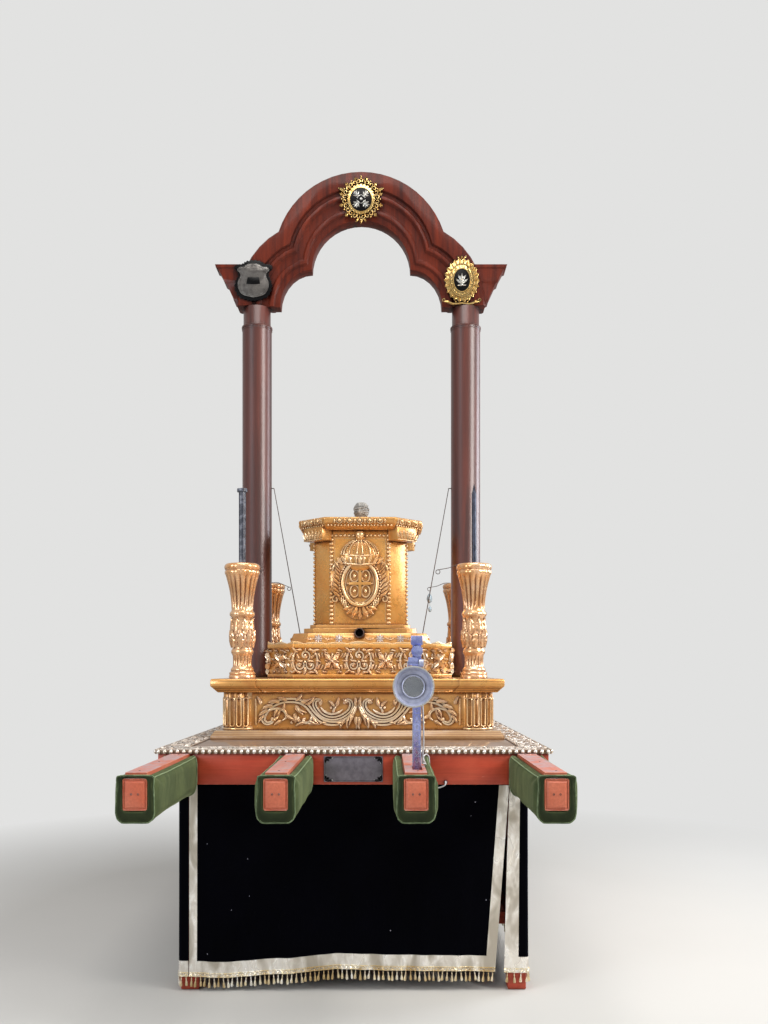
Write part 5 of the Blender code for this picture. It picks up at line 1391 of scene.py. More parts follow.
    def dress(self, panel: Panel, looks: Finishes) -> None:
        """Makes one panel with its bands, braid and fringe."""
        name, top, hem = panel.name, panel.top, panel.hem
        fall = lambda share, down: top + (hem(share) - top) * down
        cloth = panel.strip(f"velvet_{name}", (0, 1), fall, (self.columns(panel), 44), 0.0, self.cloth)
        wear(cloth, looks.black, "black_velvet")
        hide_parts(panel.node)
        lift = self.cloth / 2 + 0.0012
        extras = self.bands(panel, lift, looks) + self.trim(panel, lift, looks)
        area = sum((top - hem((i + 0.5) / 50)) for i in range(50)) / 50 * (panel.width - panel.lean / 2)
        flat = (panel.width * self.full_width, (top - hem(0.5)) * self.full_height)

    def build(self, looks: Finishes) -> None:
        """Makes the four panels."""
        for panel in self.panels():
            self.dress(panel, looks)


# The padded pole ends


@dataclass
class Pads:
    """Velvet pads round the pole ends, swelled by a cloth simulation, with piped seams."""

    voxel: float = 0.009
    pressure: float = 6.0
    cap: float = 0.0095
    rounding: int = 12
    frames: int = 20
    piping: float = 0.0032
    pole_bottom: float = 1.014
    pole_x: tuple[float, ...] = POLE_X
    end: float = POLE_END
    inner_end: float = 1.4523
    pole_reach: float = 0.054
    strip_reach: float = 0.052
    strip_low: float = 1.13
    half: float = 0.080
    below: float = 0.053
    above: float = 0.144
    low_round: float = 0.034
    high_round: float = 0.0113
    dent: float = 0.0028
    crease: float = 0.0045
    edge_x: float = 0.081
    edge_z: float = 0.140

    def held(self, place: Vector) -> bool:
        """True on the walls that lie against the pole, the strip and the rail."""
        reach = abs(place.x)
        off_face = place.y + self.end
        against_pole = reach < self.pole_reach and place.z > self.pole_bottom - 0.006 and off_face > 0.006
        beside_strip = reach < self.strip_reach and place.z > self.strip_low and off_face > 0.030
        return against_pole or beside_strip or place.y > -self.inner_end - 0.012

    def model(self) -> Obj:
        """One front pad about X zero, simulated."""
        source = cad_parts["pad_front_1"]
        mesh = source.data.copy()
        mesh.transform(Matrix.Translation((-self.pole_x[0], 0, 0)))
        pad = new_object("pad_model", mesh)
        reface(pad)
        modify(pad, "REMESH", mode="VOXEL", voxel_size=self.voxel, use_smooth_shade=True)
        modify(pad, "SMOOTH", factor=0.5, iterations=2)
        under = pad.vertex_groups.new(name="under")
        low = [vertex.index for vertex in pad.data.vertices if vertex.co.z < self.pole_bottom - 0.012]
        under.add(low, 1.0, "REPLACE")
        modify(pad, "SMOOTH", factor=0.5, iterations=self.rounding, vertex_group="under")
        pad.vertex_groups.clear()
        self.swell(pad)
        return pad

    def swell(self, pad: Obj) -> None:
        """Blows the pad up against its seams and holds how far any point may go."""
        start = [vertex.co.copy() for vertex in pad.data.vertices]
        group = pad.vertex_groups.new(name="held")
        group.add([i for i, place in enumerate(start) if self.held(place)], 1.0, "REPLACE")
        take(pad)
        cloth = pad.modifiers.new("cloth", "CLOTH")
        settings = cloth.settings
        settings.vertex_group_mass = "held"
        settings.use_pressure = True
        settings.uniform_pressure_force = self.pressure
        settings.effector_weights.gravity = 0
        settings.quality = 4
        cloth.collision_settings.use_collision = False
        for step in range(1, self.frames + 1):
            bpy.context.scene.frame_set(step)
        bpy.ops.object.modifier_apply(modifier=cloth.name)
        bpy.context.scene.frame_set(1)
        for vertex, before in zip(pad.data.vertices, start):
            move = vertex.co - before
            limit = 0.0 if self.held(before) else self.cap
            if move.length > limit:
                vertex.co = before + (move.normalized() * limit if limit else Vector())
        pad.vertex_groups.clear()
        modify(pad, "SMOOTH", factor=0.5, iterations=3)

    def wrinkle(self, pad: Obj) -> None:
        """Presses soft dents and a few cross wrinkles into the velvet."""
        for vertex, normal in zip(pad.data.vertices, [v.normal.copy() for v in pad.data.vertices]):
            if self.held(vertex.co):
                continue
            y, z = vertex.co.y, vertex.co.z
            soft = noise.noise(Vector((vertex.co.x * 6, y * 5, z * 9)))
            cross = max(0.0, noise.noise(Vector((vertex.co.x * 3 + 4, y * 17, z * 5)))) ** 2
            vertex.co += normal * (self.dent * soft - self.crease * cross)

    def outline(self, y: float) -> list[Vector]:
        """The pad's outline in an upright plane, drawn as in the CAD."""
        half, big, small = self.half, self.low_round, self.high_round
        low, high = self.pole_bottom - self.below, self.pole_bottom + self.above
        made = []
        corners = ((half - big, low + big, big, -90), (half - small, high - small, small, 0))
        corners += ((-half + small, high - small, small, 90), (-half + big, low + big, big, 180))
        for x, z, radius, start in corners:
            for step in range(7):
                angle = math.radians(start + 15 * step)
                made.append(Vector((x + radius * math.cos(angle), y, z + radius * math.sin(angle))))
        return made + made[:1]

    def seams(self, pad: Obj) -> Obj:
        """Piping round both ends and along both upper edges, laid on the swollen velvet."""
        rims = []
        for row, y in enumerate((-self.end + 0.004, -self.inner_end - 0.03)):
            points = []
            corners = self.outline(y)
            for a, b in zip(corners, corners[1:]):
                gap = (b - a).length
                count = max(1, round(gap / 0.012))
                points += [a.lerp(b, i / count) for i in range(count)]
            laid = []
            for place in points + points[:1]:
                if row and place.z > self.pole_bottom + 0.135 and abs(place.x) < 0.06:
                    continue
                _, on, normal, _ = pad.closest_point_on_mesh(place)
                laid.append(on + normal * self.piping * 0.55)
            if row:
                upper = self.pole_bottom + 0.13
                start = next(i for i, place in enumerate(laid) if place.z > upper and place.x < 0)
                laid = laid[start:] + laid[:start]
            rims.append(tube(f"rim_{row}", laid, self.piping, 2))
        for side in (-1, 1):
            laid = []
            for step in range(60):
                y = -self.end + 0.006 + (self.end - self.inner_end - 0.036) * step / 59
                edge = Vector((side * self.edge_x, y, self.pole_bottom + self.edge_z))
                _, on, normal, _ = pad.closest_point_on_mesh(edge)
                laid.append(on + normal * self.piping * 0.2)
            rims.append(tube(f"edge_{side}", laid, self.piping * 0.8, 2))
        return join("piping_model", rims)

    def build(self, looks: Finishes) -> None:
        """Makes the eight pads and their piping."""
        pad = self.model()
        self.wrinkle(pad)
        piping = self.seams(pad)
        for place, turn in (("front", 0), ("rear", 180)):
            for index, x in enumerate(self.pole_x):
                shift = [at(x, 0, 0, turn=turn)]
                name = f"pad_{place}_{index + 1}"
                body = spread(f"{name}_velvet", pad, shift, keep=True)
                soften(body, 180)
                wear(body, looks.olive, "green_velvet")
                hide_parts(name)
                seam = spread(f"{name}_piping", piping, shift, keep=True)
                wear(soften(seam, 60), looks.olive_dark, "green_velvet")
        for model in (pad, piping):
            bpy.data.objects.remove(model, do_unlink=True)


# The frame's own wood and metal


@dataclass
class Timber:
    """Poles, rails and legs with eased edges, and the screws let into them."""

    pole_x: tuple[float, ...] = POLE_X
    strip_top: float = 1.166
    pole_end: float = POLE_END
    plate_level: float = 1.079
    screw_radius: float = 0.0042
    screw_pair: float = 0.0135
    strip_screws: tuple[float, ...] = (0.09, 0.46, 0.80)
    chamfer: float = 0.0092

    def screw(self) -> Obj:
        """A countersunk screw head with a crossed slot, facing +Z."""
        clear()
        bpy.ops.mesh.primitive_cylinder_add(vertices=16, radius=self.screw_radius, depth=0.0016)
        head = bpy.context.object
        with editing(head) as shape:
            bpy.ops.mesh.select_all(action="DESELECT")
            top = max(shape.faces, key=lambda face: face.calc_center_median().z)
            top.select = True
            bpy.ops.mesh.inset(thickness=self.screw_radius * 0.22, depth=0.0)
            bpy.ops.mesh.inset(thickness=self.screw_radius * 0.20, depth=-0.0009)
            bpy.ops.mesh.inset(thickness=self.screw_radius * 0.25, depth=-0.0005)
        return settle(soften(head, 40), "screw")

    def pole(self, node: str, looks: Finishes) -> None:
        """One pole with chamfered end plates and eased edges."""
        made = refined(node, looks.pole_red, "terracotta_paint", 0.0)
        with editing(made) as shape:
            bpy.ops.mesh.select_all(action="DESELECT")
            for face in shape.faces:
                if abs(face.normal.y) > 0.9 and abs(face.calc_center_median().y) > self.pole_end - 0.001:
                    face.select = True
            bpy.ops.mesh.inset(thickness=self.chamfer, depth=0.0)
            ends = [v for v in shape.verts if abs(v.co.y) > self.pole_end - 0.001]
            inner = {v for face in shape.faces if face.select for v in face.verts}
            for vertex in ends:
                if vertex not in inner:
                    vertex.co.y -= math.copysign(self.chamfer, vertex.co.y)
        modify(made, "BEVEL", width=0.0022, segments=2, limit_method="ANGLE", angle_limit=math.radians(28))
        soften(made, 30)

    def build(self, looks: Finishes) -> None:
        """Dresses the carried-over timber and adds its screws."""
        for index in range(len(self.pole_x)):
            self.pole(f"pole_{index + 1}", looks)
        for node in ("end_rail_front", "end_rail_rear", "side_rail_left", "side_rail_right", "leg_tie_frame"):
            refined(node, looks.red, "terracotta_paint", 0.002)
        for place in ("front_left", "front_right", "rear_left", "rear_right"):
            refined(f"leg_{place}", looks.red, "terracotta_paint", 0.003)
        ends, tops = [], []
        lift = 0.0004
        for x in self.pole_x:
            for side, face in ((-1, Facing.FRONT), (1, Facing.REAR)):
                for step in (-self.screw_pair, self.screw_pair):
                    level = self.plate_level - 0.002 * side
                    place = Matrix.Translation((x + step, side * (self.pole_end + lift), level))
                    ends.append(place @ face.turn @ FACE @ at(0, 0, 0, turn=40 * step / self.screw_pair))
                for reach in self.strip_screws:
                    y = side * (self.pole_end - reach)
                    tops.append(at(x + 0.012 * math.sin(31 * y + x), y, self.strip_top + lift, turn=400 * y))
        screws = spread("pole_end_screws", self.screw(), ends)
        wear(screws, looks.wire, "dark_wire")
        wear(spread("strip_screws", self.screw(), tops), looks.wire, "dark_wire")


@dataclass
class Cases:
    """The gilded cases, the columns and the arch in the CAD's own shape, with eased edges."""

    column_x: float = 0.670
    rings: tuple[Point, ...] = ((3.758, 0.0935, 0.0052), (3.745, 0.0935, 0.0034), (1.566, 0.0945, 0.0045))

    def build(self, looks: Finishes) -> None:
        """Dresses every carried-over solid that keeps its shape."""
        for node in ("plinth_case", "pedestal_base", "pedestal_cornice"):
            refined(node, looks.gilding, "warm_gilding", 0.002)
        refined("tier_box", looks.shaft, "warm_gilding", 0.002)
        refined("plinth_base", looks.base, "warm_gilding", 0.002)
        refined("plinth_slab", looks.slab, "warm_gilding", 0.002)
        refined("pedestal_shaft", looks.shaft, "warm_gilding", 0.003)
        for node in ("column_left", "column_right"):
            refined(node, looks.column, "mahogany", 0.0012, angle=40)
        hoops = []
        for level, reach, size in self.rings:
            hoops.append(tube("hoop", circle(reach, reach, 48, level), size, 2))
        places = [at(side * self.column_x, 0, 0) for side in (-1, 1)]
        wear(spread("column_rings", join("hoops", hoops), places), looks.column, "mahogany")
        refined("arch", looks.varnish, "mahogany", 0.0016, angle=32)
        for node in ("deck_board", "deck_border"):
            refined(node, looks.deck_sheet, "dusty_deck_metal", 0.001)
        refined("socket_pipe", looks.wire, "grey_steel", 0.001)
        refined("rod_right", looks.rod, "dark_rod", 0.0)
        for side in ("left", "right"):
            refined(f"stay_{side}", looks.wire, "dark_wire", 0.0, angle=70)
        refined("cable_clip", looks.rod, "grey_steel", 0.001)
        refined("cable_grommet", looks.rod, "dark_rod", 0.001)


@dataclass
class Lamp:
    """The lamp's bar, link, bowl and lens, with rim, reflector, bulb and screws."""

    bowl: Point = (0.2765, -2.0736, 1.5083)
    bar: Point = (0.2925, -2.0480, 1.1700)
    bar_half: float = 0.019
    rim_y: float = -2.1256
    rim_radius: float = 0.086
    holder_y: float = -2.0966
    screw_y: float = -2.0860
    dish_y: float = -2.0775
    screw_reach: float = 0.060
    pressed_run: float = 0.275
    lozenges: int = 7
    lozenge_pitch: float = 0.036

    def build(self, looks: Finishes) -> None:
        """Dresses the lamp's solids and adds its small parts."""
        refined("lamp_bar", looks.steel, "grey_steel", 0.0012)
        refined("lamp_link", looks.steel, "grey_steel", 0.0008, Body.LINK)
        refined("lamp_bowl", looks.enamel, "grey_steel", 0.0008, Body.HEAD)
        refined("lamp_lens", looks.glass, "lamp_glass", 0.0008, Body.HEAD)
        x, _, z = self.bowl
        inner, lip, edge = self.rim_radius - 0.004, self.rim_radius + 0.0012, self.rim_radius + 0.0020
        section = [(inner, 0.0), (lip, 0.0), (edge, 0.0012), (lip, 0.0036), (inner, 0.0036), (inner, 0.0)]
        ring = turned("lamp_rim", section, 48, closed=False)
        front = upright(x, self.rim_y + 0.0030, z)
        wear(soften(settle(ring, "lamp_rim", front), 40), looks.silver, "grey_steel", Body.HEAD)
        section = [
            (0.0440, 0.0), (0.0500, 0.0), (0.0500, 0.0080), (0.0470, 0.0095), (0.0440, 0.0080), (0.0440, 0.0),
        ]
        holder = turned("lens_holder", section, 40, closed=False)
        seat = upright(x, self.holder_y, z)
        wear(soften(settle(holder, "lens_holder", seat), 40), looks.enamel, "grey_steel", Body.HEAD)
        section = [(0.010, 0.0), (0.024, 0.004), (0.036, 0.011), (0.0425, 0.0185)]
        dish = turned("dish", section, 40, closed=False)
        modify(dish, "SOLIDIFY", thickness=0.0008, offset=-1.0)
        section = [(0.007, 0.0), (0.0085, 0.008), (0.009, 0.012), (0.006, 0.016), (0.002, 0.018)]
        bulb = turned("bulb", section, 20)
        back = upright(x, self.dish_y, z)
        wear(soften(settle(dish, "lamp_reflector", back), 40), looks.silver, "grey_steel", Body.HEAD)
        wear(soften(settle(bulb, "lamp_bulb", back), 50), looks.sheath, "lamp_glass", Body.HEAD)
        far = self.screw_reach
        places = [upright(x + far * math.cos(a), self.screw_y, z + far * math.sin(a)) for a in (0.6, 2.7, 4.7)]
        screws = spread("lamp_screws", Timber().screw(), places)
        wear(screws, looks.wire, "dark_wire", Body.HEAD)
        self.emboss(looks)

    def emboss(self, looks: Finishes) -> None:
        """Raised edges and a short chain of lozenges pressed into the bar's front."""
        parts = []
        for side in (-1, 1):
            x = side * (self.bar_half - 0.0022)
            parts.append(tube("edge", [(x, 0.010, 0), (x, self.pressed_run, 0)], 0.0016, 2))
        for row in range(self.lozenges):
            high = 0.020 + self.lozenge_pitch * row
            wide, tall = (0.010, 0.014) if row % 2 else (0.006, 0.008)
            line = [(0, high - tall, 0), (wide, high, 0), (0, high + tall, 0), (-wide, high, 0)]
            parts.append(tube("lozenge", line + line[:1], 0.0012, 2))
            parts.append(tube("bar", [(-0.012, high + 0.018, 0), (0.012, high + 0.018, 0)], 0.0009, 2))
        made = join("lamp_embossing", parts)
        settle(made, "lamp_embossing", upright(*self.bar))
        wear(made, looks.enamel, "grey_steel")


# Carving


MIRROR = Matrix.Diagonal((-1, 1, 1, 1))


def both(name: str, half: Sequence[Obj]) -> Obj:
    """Joins the right half of a relief and its mirror image."""
    made = join(name, half)
    return spread(name, made, [Matrix(), MIRROR])


def rib(points: Sequence[Point], size: float, steps: int = 5, start: float = 0.35, end: float = 0.45) -> Obj:
    """A carved rib through points, swelling and thinning, half sunk in its ground."""
    line = eased(points, steps)
    return tube("rib", line, taper(len(line), size, start, end), 2)


def twin(points: Sequence[Point], size: float, gap: float) -> Obj:
    """Two ribs side by side along one line, closing up at its ends."""
    line = eased(points, 5)
    last = len(line) - 1
    ribs = []
    for side in (-1, 1):
        moved = []
        for i, place in enumerate(line):
            ahead = line[min(i + 1, last)] - line[max(i - 1, 0)]
            out = Vector((-ahead.y, ahead.x, 0)).normalized()
            opening = 0.35 + 0.65 * min(1, 4 * i / last, 4 * (last - i) / last)
            moved.append(place + out * side * gap * opening)
        ribs.append(tube("rib", moved, taper(len(moved), size, 0.6, 0.6), 2))
    return join("twin", ribs)


def curl(centre: Point, start: float, end: float, radius: float, size: float, inner: float = 0.25) -> Obj:
    """A volute that winds in to a small eye."""
    line = spiral(centre, start, end, radius, radius * inner)
    sizes = [size * (0.55 + 0.45 * i / len(line)) for i in range(len(line))]
    sizes[-3:] = [size * 1.2, size * 1.5, size * 1.2]
    return tube("curl", line, sizes, 2)


def paired(rows: Sequence[Spot]) -> list[Spot]:
    """Each leaf's place, followed by its mirror image unless it is on the middle line."""
    made = []
    for x, y, heading, long in rows:
        made.append((x, y, heading, long))
        if x:
            made.append((-x, y, -heading, long))
    return made


def sprays(
    places: Sequence[Spot], width: float = 0.5, lobes: int = 3, rise: float = 0.5, sweep: float = 0.0
) -> Obj:
    """Leaves joined in one piece.

    Args:
        places: x, y, heading in degrees from +Y turning left, and length; below zero a length mirrors.
        width: their width as a share of their length.
        lobes: notches on each side.
        rise: their height as a share of their width.
        sweep: how far their tips swing, as a share of their length.

    Returns:
        The new object.
    """
    model = leaf(1.0, width, lobes, rise, 0.10, sweep)
    spots = [at(x, y, 0, turn=heading, size=(long, abs(long), abs(long))) for x, y, heading, long in places]
    return spread("spray", model, spots)


def pearls(places: Sequence[Point], radius: float, height: float = 1.0) -> Obj:
    """A pearl at each place, raised in +Z."""
    return spread("pearls", bead(radius, height, 8), [at(*Vector(place).to_3d()) for place in places])


@dataclass
class Plinth:
    """Running acanthus scrolls on the lower case and the arched flutes of its corner drums."""

    ground: float = 0.735
    level: float = 1.336
    drum_centre: float = 0.672
    drum_radius: float = 0.097
    drum_low: float = 1.2331
    drum_high: float = 1.4457
    drum_lobes: int = 8

    def scroll(self) -> Obj:
        """One face's relief in its own plane: an open volute, a long vine and its leaves, mirrored."""
        vine = [
            (0.006, 0.062), (0.014, 0.022), (0.042, -0.026), (0.092, -0.058), (0.150, -0.066), (0.206, -0.050),
            (0.250, -0.012), (0.285, 0.030), (0.325, 0.056), (0.380, 0.064), (0.440, 0.056), (0.494, 0.028),
            (0.526, -0.012), (0.534, -0.046), (0.514, -0.066), (0.486, -0.058), (0.484, -0.038),
        ]
        volute = [
            (0.078, 0.046), (0.066, 0.064), (0.046, 0.062), (0.036, 0.040), (0.050, 0.004), (0.096, -0.028),
            (0.150, -0.038), (0.200, -0.022), (0.234, 0.014), (0.246, 0.046), (0.234, 0.066), (0.212, 0.062),
            (0.208, 0.044),
        ]
        third = [(0.084, 0.014), (0.112, -0.006), (0.152, -0.014), (0.190, 0.002), (0.210, 0.026)]
        sprout = [(0.140, -0.014), (0.136, 0.012), (0.120, 0.034)]
        low = [
            (0.262, 0.004), (0.258, -0.030), (0.274, -0.058), (0.302, -0.062), (0.308, -0.044), (0.294, -0.038),
        ]
        lower = [
            (0.532, -0.020), (0.500, 0.008), (0.455, 0.018), (0.415, 0.002), (0.404, -0.030), (0.425, -0.050),
        ]
        half = [
            twin(vine, 0.0096, 0.0090),
            twin(volute, 0.0080, 0.0076),
            rib(third, 0.0094),
            rib(sprout, 0.0088),
            rib(low, 0.0108),
            rib(lower, 0.0104),
        ]
        crossing = [(0.026, -0.010, -150, 0.060), (0.046, -0.030, -158, 0.054), (0.010, -0.026, 176, 0.060)]
        crossing += [(0.070, -0.046, -135, 0.046), (0.016, 0.030, 12, 0.044)]
        crest = [(0.296, 0.040, 60, 0.056), (0.322, 0.054, 84, 0.056), (0.350, 0.062, 52, 0.044)]
        outer = [
            (0.400, 0.062, -62, 0.048), (0.440, 0.054, -80, 0.054), (0.478, 0.036, -98, 0.054),
            (0.506, 0.010, -112, 0.052), (0.526, -0.018, -130, 0.046), (0.548, 0.040, -14, 0.044),
            (0.486, -0.050, 60, 0.044), (0.462, -0.026, 40, 0.040), (0.452, 0.016, -150, 0.046),
            (0.424, 0.008, 20, 0.038), (0.404, -0.018, 130, 0.044), (0.430, -0.052, -110, 0.042),
        ]
        middle = [
            (0.272, -0.052, 120, 0.046), (0.284, -0.066, 96, 0.042), (0.302, -0.062, -100, 0.046),
            (0.322, -0.050, -80, 0.044), (0.254, -0.030, 150, 0.038), (0.352, 0.036, 150, 0.054),
            (0.356, -0.006, 172, 0.044), (0.330, 0.010, 120, 0.036), (0.124, 0.030, 28, 0.044),
            (0.130, 0.026, -34, 0.042), (0.214, 0.034, 20, 0.030), (0.066, 0.042, -20, 0.030),
            (0.176, -0.060, -94, 0.036), (0.118, -0.062, 94, 0.036),
        ]
        leaves = [(x, y, heading, 1.22 * long) for x, y, heading, long in crossing + crest + outer + middle]
        half.append(sprays(leaves, 0.50, 1, 0.8, 0.30))
        berries = [(0.338, -0.036), (0.352, -0.054), (0.368, -0.042), (0.356, -0.026), (0.374, -0.062)]
        half.append(pearls(berries, 0.0100, 0.9))
        half.append(pearls([(0.150, 0.022), (0.484, -0.040), (0.214, 0.050), (0.064, 0.052)], 0.0095, 0.9))
        return both("scroll", half)

    def drum_flutes(self) -> Obj:
        """The raised hoops round one drum's flutes, and the bands that close them at head and foot."""
        swing = 90 + 2 * math.degrees(math.acos((self.ground - self.drum_centre) / self.drum_radius))
        half = 0.36 * swing / self.drum_lobes
        reach = self.drum_radius - 0.0005
        arch = math.radians(half) * reach
        low, high = self.drum_low + 0.021 + arch, self.drum_high - 0.031 - arch
        parts = []
        for lobe in range(1, self.drum_lobes):
            middle = -45 + swing * (lobe / self.drum_lobes - 0.5)
            hoop = []
            for i in range(28):
                a = TURN * i / 28
                spot = math.radians(middle + half * math.cos(a))
                level = (high if math.sin(a) >= 0 else low) + arch * math.sin(a)
                hoop.append((reach * math.cos(spot), reach * math.sin(spot), level))
            parts.append(tube("hoop", hoop + hoop[:1], 0.0048, 2))
        for foot, head in ((self.drum_low, self.drum_low + 0.020), (self.drum_high - 0.032, self.drum_high)):
            parts.append(self.band(foot, head, swing))
        for level, size in ((self.drum_low + 0.007, 0.0064), (self.drum_high - 0.033, 0.0024)):
            line = []
            for i in range(41):
                spot = math.radians(-45 + swing * (i / 40 - 0.5))
                line.append(((reach + 0.001) * math.cos(spot), (reach + 0.001) * math.sin(spot), level))
            parts.append(tube("roll", line, size, 2))
        return join("drum_ring", parts)

    def band(self, foot: float, head: float, swing: float) -> Obj:
        """A plain band round a drum, spun from its section."""
        clear()
        bpy.ops.mesh.primitive_plane_add(size=1)
        made = bpy.context.object
        start = Matrix.Rotation(math.radians(-45 - swing / 2), 3, "Z")
        with editing(made) as shape:
            for vertex in shape.verts:
                wide = self.drum_radius + 0.0010 - 0.0120 * (0.5 - vertex.co.x)
                vertex.co = start @ Vector((wide, 0, head if vertex.co.y > 0 else foot))
            bpy.ops.mesh.select_all(action="SELECT")
            bpy.ops.mesh.spin(steps=40, angle=math.radians(swing), center=(0, 0, 0), axis=(0, 0, 1))
        return soften(reface(made), 40)

    def build(self, looks: Finishes) -> None:
        """Carves the four faces and the four drums."""
        relief = self.scroll()
        stand = upright(0, -self.ground + 0.0005, self.level) @ at(0, 0, 0, size=(1, 1, 1.4))
        places = [face.turn @ stand for face in Facing]
        made = spread("plinth_carving", relief, places)
        wear(made, looks.relief, "warm_gilding")
        reach = 0.576
        fillets = []
        for x in (-reach, reach):
            line = [(x, -0.074, 0), (x, 0.074, 0)]
            fillets.append(tube("fillet", line, 0.0062, 2))
        edge = join("fillets", fillets)
        made = spread("plinth_fillets", edge, places)
        wear(made, looks.carving, "warm_gilding")
        corner = Matrix.Translation((self.drum_centre, -self.drum_centre, 0))
        made = spread("drum_flutes", self.drum_flutes(), [face.turn @ corner for face in Facing])
        wear(made, looks.carving, "warm_gilding")


@dataclass
class Tier:
    """Roundels and flower crosses on the second tier, with its scalloped crest."""

    half: float = 0.555
    chamfer: float = 0.170
    inset: float = 0.008
    level: float = 1.6228
    top: float = 1.7232
    pitch: float = 0.157

    def roundel(self) -> Obj:
        """Three volutes round a berry between two stems, 0.15 across."""
        parts = [curl((0.0, 0.034), -60, 330, 0.032, 0.0100), curl((-0.033, -0.026), 40, -330, 0.030, 0.0096)]
        parts.append(curl((0.033, -0.026), 140, 510, 0.030, 0.0096))
        for side in (-1, 1):
            stem = [(0.052, 0.062), (0.070, 0.026), (0.070, -0.024), (0.052, -0.064)]
            parts.append(rib([(side * x, y) for x, y in stem], 0.0090))
        rows = [
            (-0.018, 0.068, 100, 0.034), (-0.020, -0.068, 80, 0.034), (-0.072, 0.050, 150, 0.034),
            (-0.072, -0.048, 20, 0.034), (-0.040, 0.052, 62, 0.042), (-0.060, 0.004, 100, 0.032),
            (0.0, -0.036, 180, 0.040), (-0.012, -0.002, 84, 0.036), (-0.050, -0.050, 130, 0.034),
            (-0.034, 0.014, 36, 0.032), (0.0, 0.052, 0, 0.026),
        ]
        leaves = [(x, y, heading, 1.12 * long) for x, y, heading, long in paired(rows)]
        parts.append(sprays(leaves, 0.54, 1, 0.7, 0.25))
        parts.append(pearls([(0, -0.004), (0, 0.034), (-0.033, -0.026), (0.033, -0.026)], 0.0095, 0.9))
        return join("roundel", parts)

    def flower(self) -> Obj:
        """A four-petalled flower cross, 0.14 across."""
        petals = [(0.0, 0.0, heading, 0.064) for heading in (45, 135, 225, 315)]
        parts = [sprays(petals, 0.58, 2, 0.6)]
        small = [
            (0.0, 0.004, 0, 0.044), (0.0, -0.004, 180, 0.044), (-0.004, 0, 90, 0.040), (0.004, 0, 270, 0.040),
            (-0.052, 0.020, 20, 0.032), (0.052, 0.020, -20, 0.032), (-0.052, -0.020, 160, 0.032),
            (0.052, -0.020, 200, 0.032),
        ]
        small += paired([(-0.022, 0.044, 70, 0.028), (-0.022, -0.044, 110, 0.028), (-0.030, 0.066, 100, 0.032)])
        small += paired([(-0.030, -0.066, 80, 0.032), (0.0, 0.052, 180, 0.024), (0.0, -0.052, 0, 0.024)])
        parts.append(sprays(small, 0.5, 1, 0.6, 0.2))
        parts.append(pearls(circle(0.021, 0.021, 8, closed=False), 0.0052))
        parts.append(pearls([(0, 0, 0.004)], 0.0125))
        return join("flower", parts)

    def crest(self, length: float, count: int) -> Obj:
        """A scalloped ridge that stands on a top edge, drawn along X."""
        clear()
        bpy.ops.mesh.primitive_grid_add(x_subdivisions=count * 8, y_subdivisions=2, size=1)
        made = bpy.context.object
        with editing(made) as shape:
            for vertex in shape.verts:
                share, high = vertex.co.x + 0.5, vertex.co.y + 0.5
                wave = abs(math.cos(math.pi * share * count)) ** 0.6
                middle = 0.45 * math.exp(-((share - 0.5) / 0.07) ** 2)
                ends = middle + 0.5 * math.exp(-(min(share, 1 - share) / 0.06) ** 2)
                vertex.co = ((share - 0.5) * length, -0.004 + high * (0.006 + 0.009 * wave + 0.012 * ends), 0)
        modify(made, "SOLIDIFY", thickness=0.009, offset=0.0)
        modify(made, "BEVEL", width=0.0015, segments=2)
        return soften(settle(made, "crest"), 45)

    def build(self, looks: Finishes) -> None:
        """Carves the eight faces."""
        proud = FACE @ at(0, 0, 0, size=(1, 1, 1.45))
        front = Matrix.Translation((0, -self.half + self.inset, self.level))
        straight = [face.turn @ front @ proud for face in Facing]
        reach = (2 * self.half - self.chamfer) / math.sqrt(2)
        back = Matrix.Translation((0, -reach + self.inset, self.level))
        canted = [face.canted @ back @ proud for face in Facing]
        roundel, flower = self.roundel(), self.flower()
        places = [place @ at(step * self.pitch, 0, 0) for place in straight for step in (-2, 0, 2)]
        made = spread("tier_roundels", roundel, places)
        wear(made, looks.relief, "warm_gilding")
        places = [place @ at(step * self.pitch, 0, 0) for place in straight for step in (-1, 1)]
        places += [place @ at(0, 0, 0, size=(0.86, 0.86, 0.8)) for place in canted]
        made = spread("tier_flowers", flower, places)
        wear(made, looks.relief, "warm_gilding")
        rows = []
        for x in (-0.09, -0.06, 0.06, 0.09):
            rows += [(x, y, 30 * x / 0.03 + (180 if y < 0 else 0), 0.034) for y in (-0.012, 0.012)]
        rows += [(x, 0.060 * y, 180 - 90 * y, 0.030) for x in (-0.082, -0.03, 0.03, 0.082) for y in (-1, 1)]
        made = spread("tier_corner_leaves", sprays(rows, 0.5, 1, 0.6, 0.3), canted)
        wear(made, looks.relief, "warm_gilding")
        long = 2 * (self.half - self.chamfer)
        for name, faces, length, count, far in (
            ("tier_crest", [face.turn for face in Facing], long, 6, self.half),
            ("tier_canted_crest", [face.canted for face in Facing], self.chamfer * math.sqrt(2), 2, reach),
        ):
            model = self.crest(length, count)
            places = [turn @ upright(0, -far + 0.006, self.top) for turn in faces]
            wear(spread(name, model, places), looks.carving, "warm_gilding")


